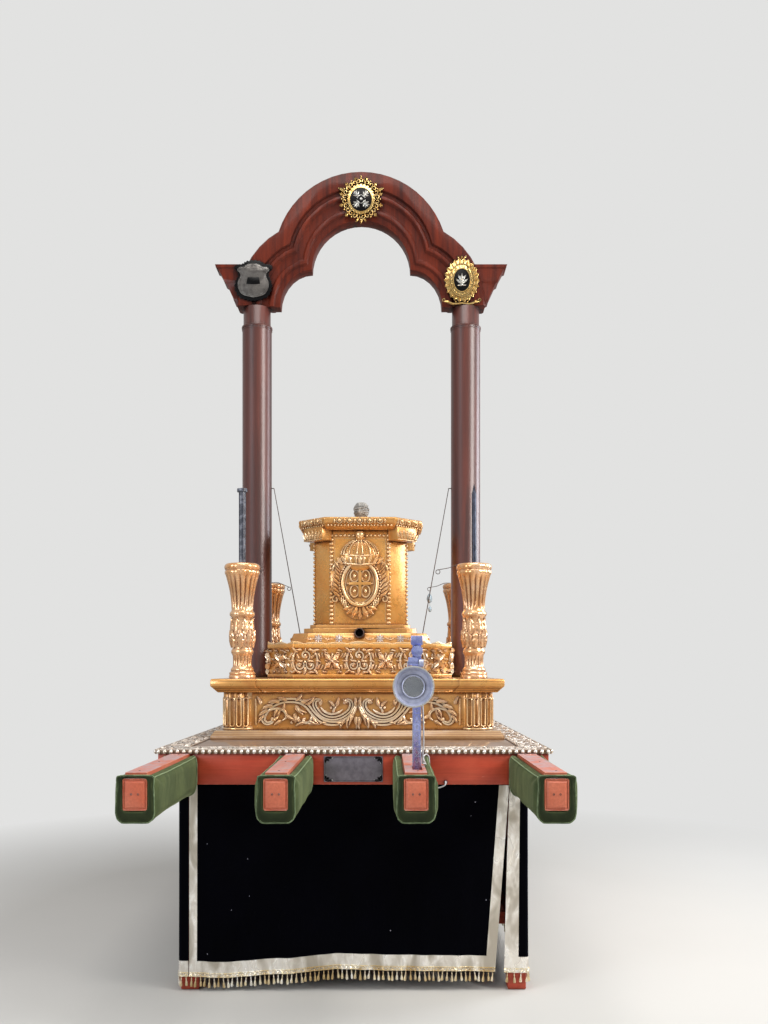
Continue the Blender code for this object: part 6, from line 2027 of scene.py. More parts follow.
@dataclass
class Pedestal:
    """Pearl strings, cornice bosses, capital leaves, foot stars and the taped knob."""

    shaft_half: float = 0.287
    shaft_chamfer: float = 0.107
    shaft_bottom: float = 1.8462
    shaft_height: float = 0.578
    cornice_half: float = 0.382
    cornice_chamfer: float = 0.168
    cornice_bottom: float = 2.4245
    cornice_top: float = 2.4945
    capital_depth: float = 0.078
    capital_height: float = 0.063
    foot_half: float = 0.430
    foot_top_half: float = 0.405
    foot_bottom: float = 1.7235
    foot_top: float = 1.7919
    pearl: float = 0.0108
    pitch: float = 0.0255
    boss_pitch: float = 0.0612
    small_pitch: float = 0.0200

    def strings(self) -> Obj:
        """The pearl strings of one face: up both edges and under the cornice."""
        count = round((self.shaft_height - 0.02) / self.pitch)
        edge = self.shaft_half - self.shaft_chamfer - 0.008
        rows = [(side * edge, 0.012 + self.pitch * i) for side in (-1, 1) for i in range(count)]
        high = 0.012 + self.pitch * (count - 1)
        across = round(2 * edge / self.pitch)
        rows += [(-edge + 2 * edge * i / across, high) for i in range(1, across)]
        x, top = edge - 0.017, high - 0.017
        frame_line = [(-x, 0.02, 0), (-x, top, 0), (x, top, 0), (x, 0.02, 0)]
        return join("strings", [pearls(rows, self.pearl), tube("fillet", frame_line, 0.0022, 2)])

    def corner_strings(self) -> Obj:
        """Pearls down the eight outer edges of the shaft."""
        places = []
        count = round((self.shaft_height - self.capital_height) / self.pitch)
        model = bead(self.pearl * 0.86, 1.0, 8)
        inner = self.shaft_half - self.shaft_chamfer
        for face in Facing:
            for side in (-1, 1):
                bisector = Matrix.Rotation(math.radians(67.5 * side), 4, "Z")
                for i in range(count):
                    height = self.shaft_bottom + 0.012 + self.pitch * i
                    spot = Matrix.Translation((side * self.shaft_half, -inner, height))
                    places.append(face.turn @ spot @ bisector @ FACE)
        return spread("corner_pearls", model, places)

    def boss(self) -> Obj:
        """A domed boss in a ring with a leaf at each side."""
        parts = [pearls([(0, 0)], 0.0118), tube("ring", circle(0.0165, 0.0165, 20), 0.0032, 2)]
        parts.append(sprays(paired([(0.030, -0.017, 0, 0.034)]), 0.36, 2))
        return join("boss", parts)

    def cornice(self, looks: Finishes) -> None:
        """Bosses and small pearls on the cornice's eight faces, and leaves on its capitals."""
        level = self.cornice_top - 0.022
        reach = (2 * self.cornice_half - self.cornice_chamfer) / math.sqrt(2)
        boss_places, pearl_places = [], []
        for face in Facing:
            for base, far, bosses, width in (
                (face.turn, self.cornice_half, 5, 2 * (self.cornice_half - self.cornice_chamfer)),
                (face.canted, reach, 3, self.cornice_chamfer * math.sqrt(2)),
            ):
                for i in range(bosses):
                    x = (i - (bosses - 1) / 2) * self.boss_pitch
                    boss_places.append(base @ upright(x, -far + 0.002, level))
                count = int(width / self.small_pitch) - 1
                for i in range(count):
                    x = (i - (count - 1) / 2) * self.small_pitch
                    pearl_places.append(base @ upright(x, -far + 0.016, self.cornice_bottom + 0.021))
        wear(spread("cornice_bosses", self.boss(), boss_places), looks.carving, "warm_gilding")
        pearl = bead(0.0074, 1.0, 8)
        wear(spread("cornice_pearls", pearl, pearl_places), looks.carving, "warm_gilding")
        block = (2 * self.shaft_half - self.shaft_chamfer) / math.sqrt(2) + self.capital_depth
        rows = [(0, -0.024, 0, 0.056), (0.022, -0.024, -14, 0.054), (0.046, -0.024, -24, 0.050)]
        fan = sprays(paired([*rows, (0.066, -0.022, -36, 0.040)]), 0.44)
        rims = tube("rim", [(-0.084, -0.028, 0), (0.084, -0.028, 0)], 0.004, 2)
        model = join("capital_fan", [fan, rims])
        middle = self.cornice_bottom - self.capital_height / 2
        places = [face.canted @ upright(0, -block, middle) for face in Facing]
        wear(spread("capital_leaves", model, places), looks.carving, "warm_gilding")

    def foot(self, looks: Finishes) -> None:
        """Stars and leaves on the sloping foot."""
        rays = []
        for heading in range(0, 360, 45):
            a = math.radians(heading)
            rays.append((0.004 * math.sin(-a), 0.004 * math.cos(a), heading, 0.026))
        star = join("star", [sprays(rays, 0.42, 2), pearls([(0, 0)], 0.0065)])
        sprig = sprays([(0, -0.010, 60, 0.032), (0, -0.010, -60, 0.032), (0, -0.012, 0, 0.022)], 0.42, 2)
        middle = (self.foot_bottom + self.foot_top) / 2
        far = (self.foot_half + self.foot_top_half) / 2
        slope = math.atan2(self.foot_half - self.foot_top_half, self.foot_top - self.foot_bottom)
        lean = Matrix.Rotation(-slope, 4, "X")
        stars, sprigs = [], []
        for face in Facing:
            base = face.turn @ Matrix.Translation((0, -far - 0.0005, middle)) @ lean @ FACE
            stars += [base @ at(x, 0, 0) for x in (-0.246, -0.123, 0.123, 0.246)]
            stars += [] if face is Facing.FRONT else [base]
            sprigs += [base @ at(x, 0, 0) for x in (-0.185, -0.062, 0.062, 0.185, 0.295, -0.295)]
        wear(spread("foot_stars", star, stars), looks.star, "warm_gilding")
        wear(spread("foot_sprigs", sprig, sprigs), looks.relief, "warm_gilding")

    def knob(self, looks: Finishes) -> None:
        """The spigot's wrapping: a lumpy bundle bound round with tape."""
        low = self.cornice_top + 0.0003
        rows = [
            (0.034, 0.0), (0.028, 0.006), (0.024, 0.024), (0.026, 0.044), (0.036, 0.058), (0.044, 0.072),
            (0.0475, 0.090), (0.0475, 0.108), (0.044, 0.124), (0.036, 0.138), (0.0264, 0.147), (0.012, 0.150),
        ]
        body = turned("knob_bundle", rows, 28)
        for vertex in body.data.vertices:
            x, y, z = vertex.co
            lump = 1 + 0.07 * noise.noise(Vector((x * 26, y * 26, z * 20))) if 0.004 < z < 0.149 else 1
            vertex.co = (x * lump, y * lump, z)
        settle(body, "top_knob_bundle", Matrix.Translation((0, 0, low)))
        wear(soften(body, 60), looks.tape, "grey_tape")
        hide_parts("top_knob")
        wraps = []
        turns = ((0.030, 0.1), (0.068, 0.32), (0.084, -0.38), (0.096, 0.24), (0.108, -0.26), (0.118, 0.3))
        for start, tilt in turns:
            line = []
            for i in range(33):
                a = TURN * i / 32
                height = start + 0.05 * tilt * math.sin(a + 60 * start)
                (r1, h1), (r2, h2) = next(pair for pair in zip(rows, rows[1:]) if pair[1][1] >= height)
                radius = r1 + (r2 - r1) * (height - h1) / (h2 - h1)
                line.append(Vector((radius * math.cos(a), radius * math.sin(a), low + height)))
            wraps.append(tube("wrap", line, 0.0040, 2))
        wear(join("knob_wraps", wraps), looks.tape, "grey_tape")

    def build(self, looks: Finishes) -> None:
        """Carves and strings the pedestal."""
        places = [
            face.turn @ upright(0, -self.shaft_half + 0.0015, self.shaft_bottom) for face in Facing
        ]
        wear(spread("shaft_strings", self.strings(), places), looks.carving, "warm_gilding")
        wear(self.corner_strings(), looks.carving, "warm_gilding")
        self.cornice(looks)
        self.foot(looks)
        self.knob(looks)


@dataclass
class Cartouche:
    """The crowned oval: ribbed crown, pearled ring, petals round a plain cross, wings and shell."""

    face: float = 0.3013
    base: float = 1.8462
    oval: float = 0.251
    crown: float = 0.422
    ball: float = 0.5500
    ring_rise: float = 0.014

    def ellipse(
        self, wide: float, high: float, low: float, end: float, out: float, steps: int
    ) -> list[Vector]:
        """Points round the oval between two angles in degrees, out from the backing."""
        made = []
        for i in range(steps + 1):
            a = math.radians(low + (end - low) * i / steps)
            made.append(Vector((wide * math.cos(a), self.oval + high * math.sin(a), out)))
        return made

    def crown_parts(self) -> list[Obj]:
        """Ribs and pearls over the crown's dome, and the leaves of its band."""
        parts = []
        for longitude in (8, 34, 58, 80):
            phi = math.radians(longitude)
            line = []
            for i in range(13):
                t = math.radians(4 + 82 * i / 12)
                bulge = 0.034 * math.cos(phi) * math.cos(t) + 0.001
                line.append((0.116 * math.sin(phi) * math.cos(t), self.crown + 0.098 * math.sin(t), bulge))
            parts.append(tube("crown_rib", line, taper(13, 0.0048, 0.8, 0.5), 2))
        dots = []
        for longitude in (21, 46, 69):
            phi = math.radians(longitude)
            for i in range(8):
                t = math.radians(10 + 62 * i / 7)
                bulge = 0.034 * math.cos(phi) * math.cos(t) + 0.001
                dots.append((0.116 * math.sin(phi) * math.cos(t), self.crown + 0.098 * math.sin(t), bulge))
        parts.append(pearls(dots, 0.0036))
        blades = ((0.020, -6, 0.026), (0.052, -16, 0.021), (0.080, -30, 0.013), (0.100, -46, 0.005))
        for x, heading, out in blades:
            blade = sprays([(x, self.crown - 0.052, heading, 0.060)], 0.52, 2)
            blade.data.transform(Matrix.Translation((0, 0, out)))
            parts.append(blade)
        for rise, size in ((0.000, 0.0062), (-0.052, 0.0056)):
            band = [(0.0, self.crown + rise - 0.006, 0.032), (0.05, self.crown + rise - 0.002, 0.028)]
            band += [(0.092, self.crown + rise + 0.004, 0.014), (0.114, self.crown + rise + 0.010, 0.002)]
            parts.append(rib(band, size, 5, 1, 0.6))
        parts.append(curl((0.034, self.oval + 0.128, 0.0), 170, -190, 0.024, 0.0066))
        parts[-1].data.transform(Matrix.Translation((0, 0, 0.016)))
        return parts

    def wing(self) -> list[Obj]:
        """Feathers, the shoulder scroll and the lower curl of the right wing."""
        feathers = []
        for i in range(8):
            x, y = 0.122 + 0.006 * math.sin(i), self.oval - 0.080 + 0.024 * i
            feathers.append((x, y, -52 + 3.0 * i, 0.068 - 0.0012 * abs(i - 3)))
        parts = [sprays(feathers, 0.36, 2, 0.7)]
        parts.append(curl((0.150, self.oval - 0.095), 120, -260, 0.026, 0.0076))
        shoulder = ((0.108, 0.118), (0.130, 0.132), (0.156, 0.112), (0.168, 0.080))
        parts.append(rib([(x, self.oval + y) for x, y in shoulder], 0.0095))
        parts.append(curl((0.118, self.oval + 0.142), -60, 300, 0.021, 0.0066))
        return parts

    def petals(self) -> list[Obj]:
        """Two of the four ringed lobes round the cross, in the right half."""
        made = []
        for side in (-1, 1):
            middle = (0.034, self.oval + side * 0.046)
            made.append(tube("lobe", circle(0.026, 0.036, 20, 0.004, middle), 0.0062, 2))
            heart = bead(0.0095, 0.7, 12)
            made.append(spread("heart", heart, [at(*middle, 0.001, size=(1, 1.3, 1))]))
            made.append(sprays([(0.058, self.oval + side * 0.070, -40 if side > 0 else -140, 0.026)], 0.6, 2))
        made.append(pearls([(0.076, self.oval, 0.002), (0.068, self.oval, 0.002)], 0.0062))
        return made

    def shell(self) -> list[Obj]:
        """The shell and the fillets under the oval, in the right half."""
        fans = [(0.006 + 0.0006 * a, self.oval - 0.140, -180 + a, 0.080 - 0.0003 * a) for a in (22, 46, 72)]
        shell = sprays(fans, 0.62, 2, 0.6)
        shell.data.transform(Matrix.Translation((0, 0, 0.004)))
        parts = [shell]
        for i, x in enumerate((0.088, 0.101, 0.114)):
            head, foot = self.oval - 0.070 - 0.006 * i, self.oval - 0.150 + 0.016 * i
            line = [(x, head, 0.006), (x - 0.006, foot, 0.005), (x - 0.022, foot - 0.018, 0.002)]
            parts.append(rib(line, 0.0060))
        scroll = ((0.010, 0.118), (0.036, 0.126), (0.060, 0.106))
        parts.append(rib([(x, self.oval - y, 0.016) for x, y in scroll], 0.0090))
        parts.append(curl((0.036, self.oval - 0.146), 90, -250, 0.018, 0.0062))
        return parts

    def build(self, looks: Finishes) -> None:
        """Carves the cartouche over the CAD's backing, ring, cross and dome."""
        refined("cartouche", looks.gilding, "warm_gilding", 0.002)
        half = self.crown_parts() + self.wing() + self.petals() + self.shell()
        half.append(tube("rim", self.ellipse(0.106, 0.134, -90, 90, self.ring_rise, 40), 0.0105, 3))
        half.append(tube("inner_rim", self.ellipse(0.088, 0.116, -90, 90, 0.003, 36), 0.0044, 2))
        beads = self.ellipse(0.1245, 0.152, -56, 60, 0.002, 18)
        half.append(pearls(beads, 0.0088))
        carving = both("cartouche_carving", half)
        middle = [pearls([(0, self.oval + 0.148, 0.020)], 0.0140)]
        middle.append(pearls([(0, self.oval - 0.130, 0.014)], 0.0110))
        middle.append(spread("ball", bead(0.0255, 0.8, 20), [at(0, self.ball, 0.008)]))
        middle.append(sprays([(0, self.oval + 0.132, 180, 0.040), (0, self.oval - 0.142, 180, 0.078)], 0.46))
        middle.append(spread("upright", sprays([(0, self.crown - 0.056, 0, 0.062)], 0.5, 2), [at(0, 0, 0.030)]))
        collar = [(x, self.crown + 0.092, 0.004 + z) for x, z, _ in circle(0.017, 0.012, 16)]
        middle.append(tube("collar", collar, 0.0036, 2))
        made = join("cartouche_carving", [carving, *middle])
        made.data.transform(upright(0, -self.face, self.base))
        wear(made, looks.carving, "warm_gilding")


@dataclass
class Baluster:
    """A turned baluster with a reeded bell and foot and two tiers of leaves on its bulb."""

    height: float = 0.655
    rim: float = 0.1015
    reeds: int = 16
    depth: float = 0.0095
    floor: float = 0.575
    base: float = 1.5225
    x: float = 0.6635
    y: float = 0.670

    reeding: tuple[Point, ...] = (
        (0.604, 0.902, 1.0), (0.106, 0.204, 0.7), (0.905, 0.985, 0.42), (0.545, 0.582, 0.3),
    )
    tiers: tuple[Point, ...] = (
        (0.264, 0.104, 0.046, 0.0, 0.22), (0.376, 0.102, 0.040, 0.5, 0.20), (0.290, 0.064, 0.022, 0.5, 0.24),
    )
    leaf_count: int = 8
    rows: tuple[tuple[float, float], ...] = (
        (0.75, 0.0), (0.75, 0.024), (0.71, 0.034), (0.74, 0.042), (0.73, 0.052), (0.63, 0.064), (0.65, 0.074),
        (0.64, 0.084), (0.60, 0.092), (0.54, 0.104), (0.52, 0.118), (0.52, 0.160), (0.53, 0.196), (0.56, 0.208),
        (0.61, 0.222), (0.63, 0.234), (0.61, 0.248), (0.56, 0.258), (0.56, 0.272), (0.60, 0.300), (0.63, 0.330),
        (0.64, 0.370), (0.63, 0.410), (0.60, 0.460), (0.57, 0.500), (0.57, 0.522), (0.62, 0.536), (0.69, 0.548),
        (0.71, 0.562), (0.69, 0.576), (0.61, 0.588), (0.60, 0.604), (0.61, 0.640), (0.63, 0.680), (0.665, 0.725),
        (0.72, 0.775), (0.785, 0.822), (0.85, 0.860), (0.90, 0.886), (0.925, 0.900), (0.97, 0.912), (0.985, 0.924),
        (0.97, 0.936), (0.94, 0.944), (0.975, 0.952), (1.0, 0.964), (1.0, 0.978), (0.96, 0.991), (0.88, 1.0),
        (0.80, 0.992), (0.74, 0.970),
    )

    def radius_at(self, height: float) -> float:
        """The profile's outer radius at a height above its foot."""
        share = height / self.height
        for (r1, h1), (r2, h2) in zip(self.rows, self.rows[1:]):
            if h1 <= share <= h2:
                return self.rim * (r1 + (r2 - r1) * (share - h1) / max(h2 - h1, 1e-9))
        return self.rim * 0.6

    def reed(self, body: Obj) -> None:
        """Presses rounded reeds into the bell, the rim and the foot."""
        for vertex in body.data.vertices:
            x, y, z = vertex.co
            radius, share = math.hypot(x, y), z / self.height
            if radius < 0.05 or radius < self.radius_at(z) - 0.004:
                continue
            groove = 1 - abs(math.sin(self.reeds * math.atan2(y, x) / 2)) ** 0.55
            depth = 0.0
            for low, high, deep in self.reeding:
                if low < share < high:
                    ease = min(1, (share - low) / 0.012, (high - share) / 0.012)
                    depth = self.depth * deep * ease
            vertex.co = (x * (1 - depth * groove / radius), y * (1 - depth * groove / radius), z)

    def leaves(self) -> Obj:
        """Leaves bent round the bulb: a lower tier, and an upper one between them."""
        parts, count = [], self.leaf_count
        for start, long, wide, offset, rise in self.tiers:
            model = leaf(long, wide, 3, rise, 0.06)
            shapes = []
            for i in range(count):
                angle = TURN * (i + offset) / count
                piece = spread("tier_leaf", model, [Matrix()], keep=True)
                for vertex in piece.data.vertices:
                    across, up, out = vertex.co
                    height = start * self.height + up
                    reach = self.radius_at(height) + out + 0.0006
                    turn = angle + across / reach
                    vertex.co = (reach * math.cos(turn), reach * math.sin(turn), height)
                shapes.append(piece)
            bpy.data.objects.remove(model, do_unlink=True)
            parts.append(join("leaf_tier", shapes))
        return soften(join("leaves", parts), 80)

    def model(self, bore: float) -> Obj:
        """The whole baluster about the origin, its cup bored for a rod or closed."""
        profile = [(self.rim * wide, self.height * high) for wide, high in self.rows]
        profile.append((0.034, 0.615))
        profile += [(bore, 0.612), (bore, self.floor)] if bore else [(0.010, 0.610)]
        body = turned("baluster_body", profile, 6 * self.reeds)
        self.reed(body)
        soften(body, 50)
        return join("baluster", [body, spread("leaves_copy", self.leaves(), [Matrix()])])

    def build(self, looks: Finishes) -> None:
        """Stands a baluster on each corner of the slab."""
        for bore, corners in (
            (0.0203, (("front_left", -1, -1),)),
            (0.0133, (("front_right", 1, -1),)),
            (0.0, (("rear_left", -1, 1), ("rear_right", 1, 1))),
        ):
            model = self.model(bore)
            for place, x, y in corners:
                spot = at(x * self.x, y * self.y, self.base)
                made = spread(f"carved_baluster_{place}", model, [spot], keep=True)
                wear(made, looks.turning, "warm_gilding")
                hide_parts(f"baluster_{place}")
            bpy.data.objects.remove(model, do_unlink=True)
        refined("rod_left", looks.rod_tape, "grey_tape", 0.0)


@dataclass
class Deck:
    """The pearled edge of the deck and the embossed scrolls of its border."""

    half_x: float = 0.970
    half_y: float = 1.460
    bottom: float = 1.1663
    top: float = 1.1863
    pitch: float = 0.0311
    border: float = 0.140
    scroll_pitch: float = 0.124
    rope_insets: tuple[float, float] = (0.004, 0.132)

    def sides(self) -> list[tuple[Facing, float, float]]:
        """The four edges in turn, each with half its length and its distance from the middle."""
        made = []
        for face in Facing:
            along, away = self.half_x, self.half_y
            if face in (Facing.RIGHT, Facing.LEFT):
                along, away = away, along
            made.append((face, along, away))
        return made

    def edge(self) -> Obj:
        """Tall pearls along the four edges."""
        model = bead(0.0134, 0.95, 8)
        places = []
        for face, half, far in self.sides():
            count = round(2 * half / self.pitch)
            for i in range(count):
                x = -half + (i + 0.5) * 2 * half / count
                spot = Matrix.Translation((x, -far + 0.0015, (self.bottom + self.top) / 2 - 0.001))
                places.append(face.turn @ spot @ FACE @ at(0, 0, 0, size=(0.80, 0.98, 1)))
        return spread("deck_pearls", model, places)

    def emboss(self) -> Obj:
        """One length of embossed scroll, flat on the deck, 0.12 long and 0.11 wide."""
        parts = [curl((-0.026, 0.012), -80, 300, 0.024, 0.0034), curl((0.030, -0.014), 100, 480, 0.022, 0.0034)]
        stem = [(-0.058, -0.034), (-0.026, -0.016), (0.000, 0.000), (0.026, 0.014), (0.060, 0.034)]
        parts.append(rib(stem, 0.0040))
        spots = [(-0.050, 0.036, 30, 0.030), (0.050, -0.036, 210, 0.030), (0.004, 0.020, -40, 0.034)]
        spots += [(-0.004, -0.020, 140, 0.034), (0.040, 0.030, -70, 0.028), (-0.040, -0.030, 110, 0.028)]
        parts.append(sprays(spots, 0.5, 2))
        parts.append(pearls([(-0.026, 0.012), (0.030, -0.014), (0.0, 0.046), (0.0, -0.046)], 0.0058, 0.7))
        made = join("emboss", parts)
        made.data.transform(Matrix.Diagonal((1, 1, 0.75, 1)))
        return modify(made, "DECIMATE", ratio=0.45)

    def build(self, looks: Finishes) -> None:
        """Makes the pearled edge, its fillets and the embossed border."""
        wear(self.edge(), looks.beads, "dusty_deck_metal")
        places = []
        for face, half, far in self.sides():
            run = 2 * (half - self.border / 2)
            count = round(run / self.scroll_pitch)
            for i in range(count):
                x = -run / 2 + (i + 0.5) * run / count
                flip = 1 if i % 2 else -1
                spot = Matrix.Translation((x, -far + self.border / 2, self.top))
                places.append(face.turn @ spot @ at(0, 0, 0, size=(1, flip, 1)))
        wear(spread("deck_embossing", self.emboss(), places), looks.deck_metal, "dusty_deck_metal")
        rows = []
        for inset in self.rope_insets:
            far_x, far_y = self.half_x - inset, self.half_y - inset
            corners = [(-far_x, -far_y), (far_x, -far_y), (far_x, far_y), (-far_x, far_y), (-far_x, -far_y)]
            points = []
            for a, b in zip(corners, corners[1:]):
                a, b = Vector((*a, self.top)), Vector((*b, self.top))
                points += [a.lerp(b, i / 30) for i in range(30)]
            rows.append(tube("edge_rope", points + points[:1], [0.0038, 0.0030] * 60 + [0.0038], 2))
        wear(join("deck_fillets", rows), looks.deck_metal, "dusty_deck_metal")


@dataclass
class RailPlate:
    """The blank plate on the front rail, with its frame and four corner leaves."""

    half_x: float = 0.1445
    half_z: float = 0.0625
    level: float = 1.090
    face: float = 1.4563

    def build(self, looks: Finishes) -> None:
        """Dresses the plate and adds its corners."""
        refined("rail_plate", looks.dark_plate, "dark_plate", 0.0008)
        stem = [(0.082, 0.055), (0.108, 0.056), (0.130, 0.050), (0.136, 0.032), (0.136, 0.010)]
        rows = [(0.108, 0.050, 86, 0.036), (0.130, 0.034, -178, 0.032), (0.120, 0.044, 135, 0.030)]
        quarter = [curl((0.112, 0.036), 90, -250, 0.016, 0.0042), rib(stem, 0.0046), sprays(rows, 0.6, 2)]
        shrink = at(self.half_x, self.half_z, 0) @ at(0, 0, 0, size=0.58) @ at(-self.half_x, -self.half_z, 0)
        for piece in quarter:
            piece.data.transform(shrink)
        corner = both("corner", quarter)
        leaves = spread("corner_leaves", corner, [Matrix(), Matrix.Diagonal((1, -1, 1, 1))])
        x, z = self.half_x - 0.004, self.half_z - 0.004
        line = [(-x, -z, 0), (x, -z, 0), (x, z, 0), (-x, z, 0), (-x, -z, 0)]
        border = tube("border", line, 0.0020, 2)
        spots = []
        for sx, sz in ((-1, -1), (-1, 1), (1, -1), (1, 1)):
            spots += [(sx * gap, sz * high) for gap, high in ((0.104, 0.053), (0.134, 0.030))]
        studs = pearls(spots, 0.0032)
        for made, name, finish, slot in (
            (leaves, "plate_corners", looks.lacquer, "black_lacquer"),
            (border, "plate_frame", looks.dark_plate, "dark_plate"),
            (studs, "plate_studs", looks.silver, "grey_steel"),
        ):
            settle(made, name, upright(0, -self.face, self.level))
            wear(made, finish, slot)


@dataclass
class Medallions:
    """The crown medallion, the right oval with its bracket and the left shield."""

    face: float = 0.0753
    crown_level: float = 4.5558
    shield: Point = (-0.683, 4.0388)
    oval: Point = (0.640, 4.0418)
    backing: float = 0.007

    def plate(self, name: str, points: Sequence[Point], thick: float) -> Obj:
        """A flat plate of any outline, its edge eased, standing out in +Z from zero."""
        clear()
        bpy.ops.mesh.primitive_circle_add(vertices=len(points), radius=1, fill_type="NGON")
        made = bpy.context.object
        with editing(made) as shape:
            shape.verts.ensure_lookup_table()
            for vertex, point in zip(shape.verts, points):
                vertex.co = (*point[:2], 0)
            bpy.ops.mesh.select_all(action="SELECT")
            bpy.ops.mesh.extrude_region_move(TRANSFORM_OT_translate={"value": (0, 0, thick)})
        reface(made)
        modify(made, "BEVEL", width=min(0.002, thick / 3), segments=2, limit_method="ANGLE")
        return soften(settle(made, name), 40)

    @staticmethod
    def round(wide: float, high: float, lobes: int, depth: float, count: int) -> list[Vector]:
        """An oval outline with lobes."""
        made = []
        for i in range(count):
            a = TURN * i / count
            reach = 1 - depth * (0.5 - 0.5 * math.cos(lobes * a))
            made.append(Vector((wide * reach * math.cos(a), high * reach * math.sin(a), 0)))
        return made

    def relief(self, wide: float, high: float) -> Obj:
        """A plain generic spray of leaves for the medallions' middles."""
        leaves = [(0, -0.45 * high, 0, high)]
        leaves += [(0, -0.3 * high, 52, 0.62 * high), (0, -0.3 * high, -52, 0.62 * high)]
        leaves += [(0, -0.1 * high, 32, 0.6 * high), (0, -0.1 * high, -32, 0.6 * high)]
        leaves += [(0, -0.4 * high, 95, 0.5 * wide), (0, -0.4 * high, -95, 0.5 * wide)]
        return join("spray_relief", [sprays(leaves, 0.34), pearls([(0, -0.38 * high)], 0.14 * wide)])

    def top(self, looks: Finishes) -> None:
        """The openwork medallion at the arch's crown."""
        back = self.plate("medal_back", self.round(0.092, 0.099, 24, 0.08, 96), self.backing)
        ring = []
        for i in range(12):
            a = TURN * i / 12
            wide, high = 0.104, 0.112
            spot = Matrix.Translation((wide * math.cos(a), high * math.sin(a), 0.006))
            ring.append(spot @ Matrix.Rotation(a, 4, "Z"))
        c_shape = join(
            "c_shape",
            [
                curl((0.0, 0.012), 150, -210, 0.017, 0.0056),
                curl((0.0, -0.013), 210, 540, 0.015, 0.0052),
                pearls([(0.018, 0.0)], 0.0060),
            ],
        )
        scrolls = spread("c_scrolls", c_shape, ring)
        rays = [
            (0.113 * math.sin(-math.radians(a)), 0.120 * math.cos(math.radians(a)), a, 0.030)
            for a in range(15, 360, 30)
            if abs(a - 180) > 20
        ]
        leaves = sprays(rays, 0.9, 2)
        inner = tube("inner_ring", circle(0.072, 0.078, 48), 0.0052, 2)
        dots = circle(0.083, 0.090, 26, 0.006, closed=False)
        crest = [(0, 0.118, 0, 0.036), (-0.012, 0.112, 38, 0.040), (0.012, 0.112, -38, 0.040)]
        crest += [(-0.10, 0.052, 62, 0.048), (0.10, 0.052, -62, 0.048), (0, -0.112, 180, 0.044)]
        crest += [(-0.014, -0.110, 150, 0.038), (0.014, -0.110, -150, 0.038)]
        tips = [(0, 0.148, 0.002), (0, -0.150, 0.0), (0.141, 0.072, 0), (-0.141, 0.072, 0)]
        top = join("crest", [sprays(crest, 0.5), pearls(tips, 0.0055)])
        gold = join("medallion_top_gold", [back, scrolls, leaves, inner, pearls(dots, 0.0046), top])
        disc = self.plate("disc", circle(0.070, 0.076, 48, closed=False), 0.0090)
        turns = ((-1, 1, 40), (1, 1, -40), (-1, -1, 140), (1, -1, -140))
        places = [at(x * 0.029, y * 0.033, 0.0096, turn=t) for x, y, t in turns]
        quarter = spread("quarters", self.relief(0.040, 0.050), places)
        middle = join("middle", [quarter, pearls([(0, 0, 0.009)], 0.010)])
        self.hang(gold, "medallion_top_gold", (0, self.crown_level), looks.bright_gold, "bright_gold")
        self.hang(disc, "medallion_top_disc", (0, self.crown_level), looks.lacquer, "black_lacquer")
        self.hang(middle, "medallion_top_relief", (0, self.crown_level), looks.silver, "grey_steel")
        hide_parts("medallion_top")

    def hang(self, obj: Obj, name: str, place: Point, finish: bpy.types.Material, slot: str) -> None:
        """Puts a relief on the arch's face and dresses it."""
        x, z = place
        settle(obj, name, upright(x, -self.face, z))
        wear(obj, finish, slot)

    def right(self, looks: Finishes) -> None:
        """The rayed oval at the right foot of the arch."""
        back = self.plate("oval_back", self.round(0.112, 0.142, 22, 0.10, 176), self.backing)
        rays = []
        for i in range(22):
            a = TURN * i / 22
            heading = math.degrees(math.atan2(-0.112 * math.cos(a), 0.142 * math.sin(a)))
            rays.append((0.080 * math.cos(a), 0.108 * math.sin(a), heading, 0.036))
        leaves = sprays(rays, 0.44, 2)
        leaves.data.transform(Matrix.Translation((0, 0, 0.006)))
        rings = []
        for wide, high, size in ((0.078, 0.104, 0.0048), (0.054, 0.074, 0.0050)):
            rings.append(tube("ring", circle(wide, high, 48, 0.007), size, 2))
        dots = circle(0.066, 0.089, 24, 0.006, closed=False)
        crest = sprays([(0, 0.136, 0, 0.026), (-0.010, 0.134, 40, 0.030), (0.010, 0.134, -40, 0.030)], 0.5, 2)
        bar = [(0.0, -0.146, 0.004), (0.050, -0.150, 0.004), (0.086, -0.138, 0.004), (0.112, -0.134, 0.004)]
        half = [rib(bar, 0.0080, 6, 1, 0.5), curl((0.112, -0.122), -90, 250, 0.013, 0.0044)]
        half.append(sprays([(0.074, -0.138, -60, 0.030), (0.030, -0.146, -30, 0.026)], 0.5, 2))
        bracket = both("bracket", half)
        gold = join("gold", [back, leaves, *rings, pearls(dots, 0.0048), crest, bracket])
        disc = self.plate("disc", circle(0.053, 0.073, 48, closed=False), 0.0085)
        relief = self.relief(0.060, 0.078)
        relief.data.transform(Matrix.Translation((0, 0, 0.0085)))
        self.hang(gold, "medallion_right_gold", self.oval, looks.bright_gold, "bright_gold")
        self.hang(disc, "medallion_right_disc", self.oval, looks.lacquer, "black_lacquer")
        self.hang(relief, "medallion_right_relief", self.oval, looks.silver, "grey_steel")
        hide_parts("medallion_right")

    def left(self, looks: Finishes) -> None:
        """The scalloped black backing with its blank silver shield."""
        shares = (
            (0.0, -1.0), (0.18, -0.98), (0.34, -0.94), (0.56, -0.88), (0.76, -0.76), (0.88, -0.58), (0.95, -0.36),
            (0.95, -0.12), (0.88, 0.06), (0.80, 0.22), (0.80, 0.36), (0.86, 0.48), (0.97, 0.58), (0.98, 0.66),
            (0.90, 0.76), (0.76, 0.80), (0.62, 0.80), (0.50, 0.86), (0.40, 0.93), (0.22, 0.98), (0.0, 1.0),
        )

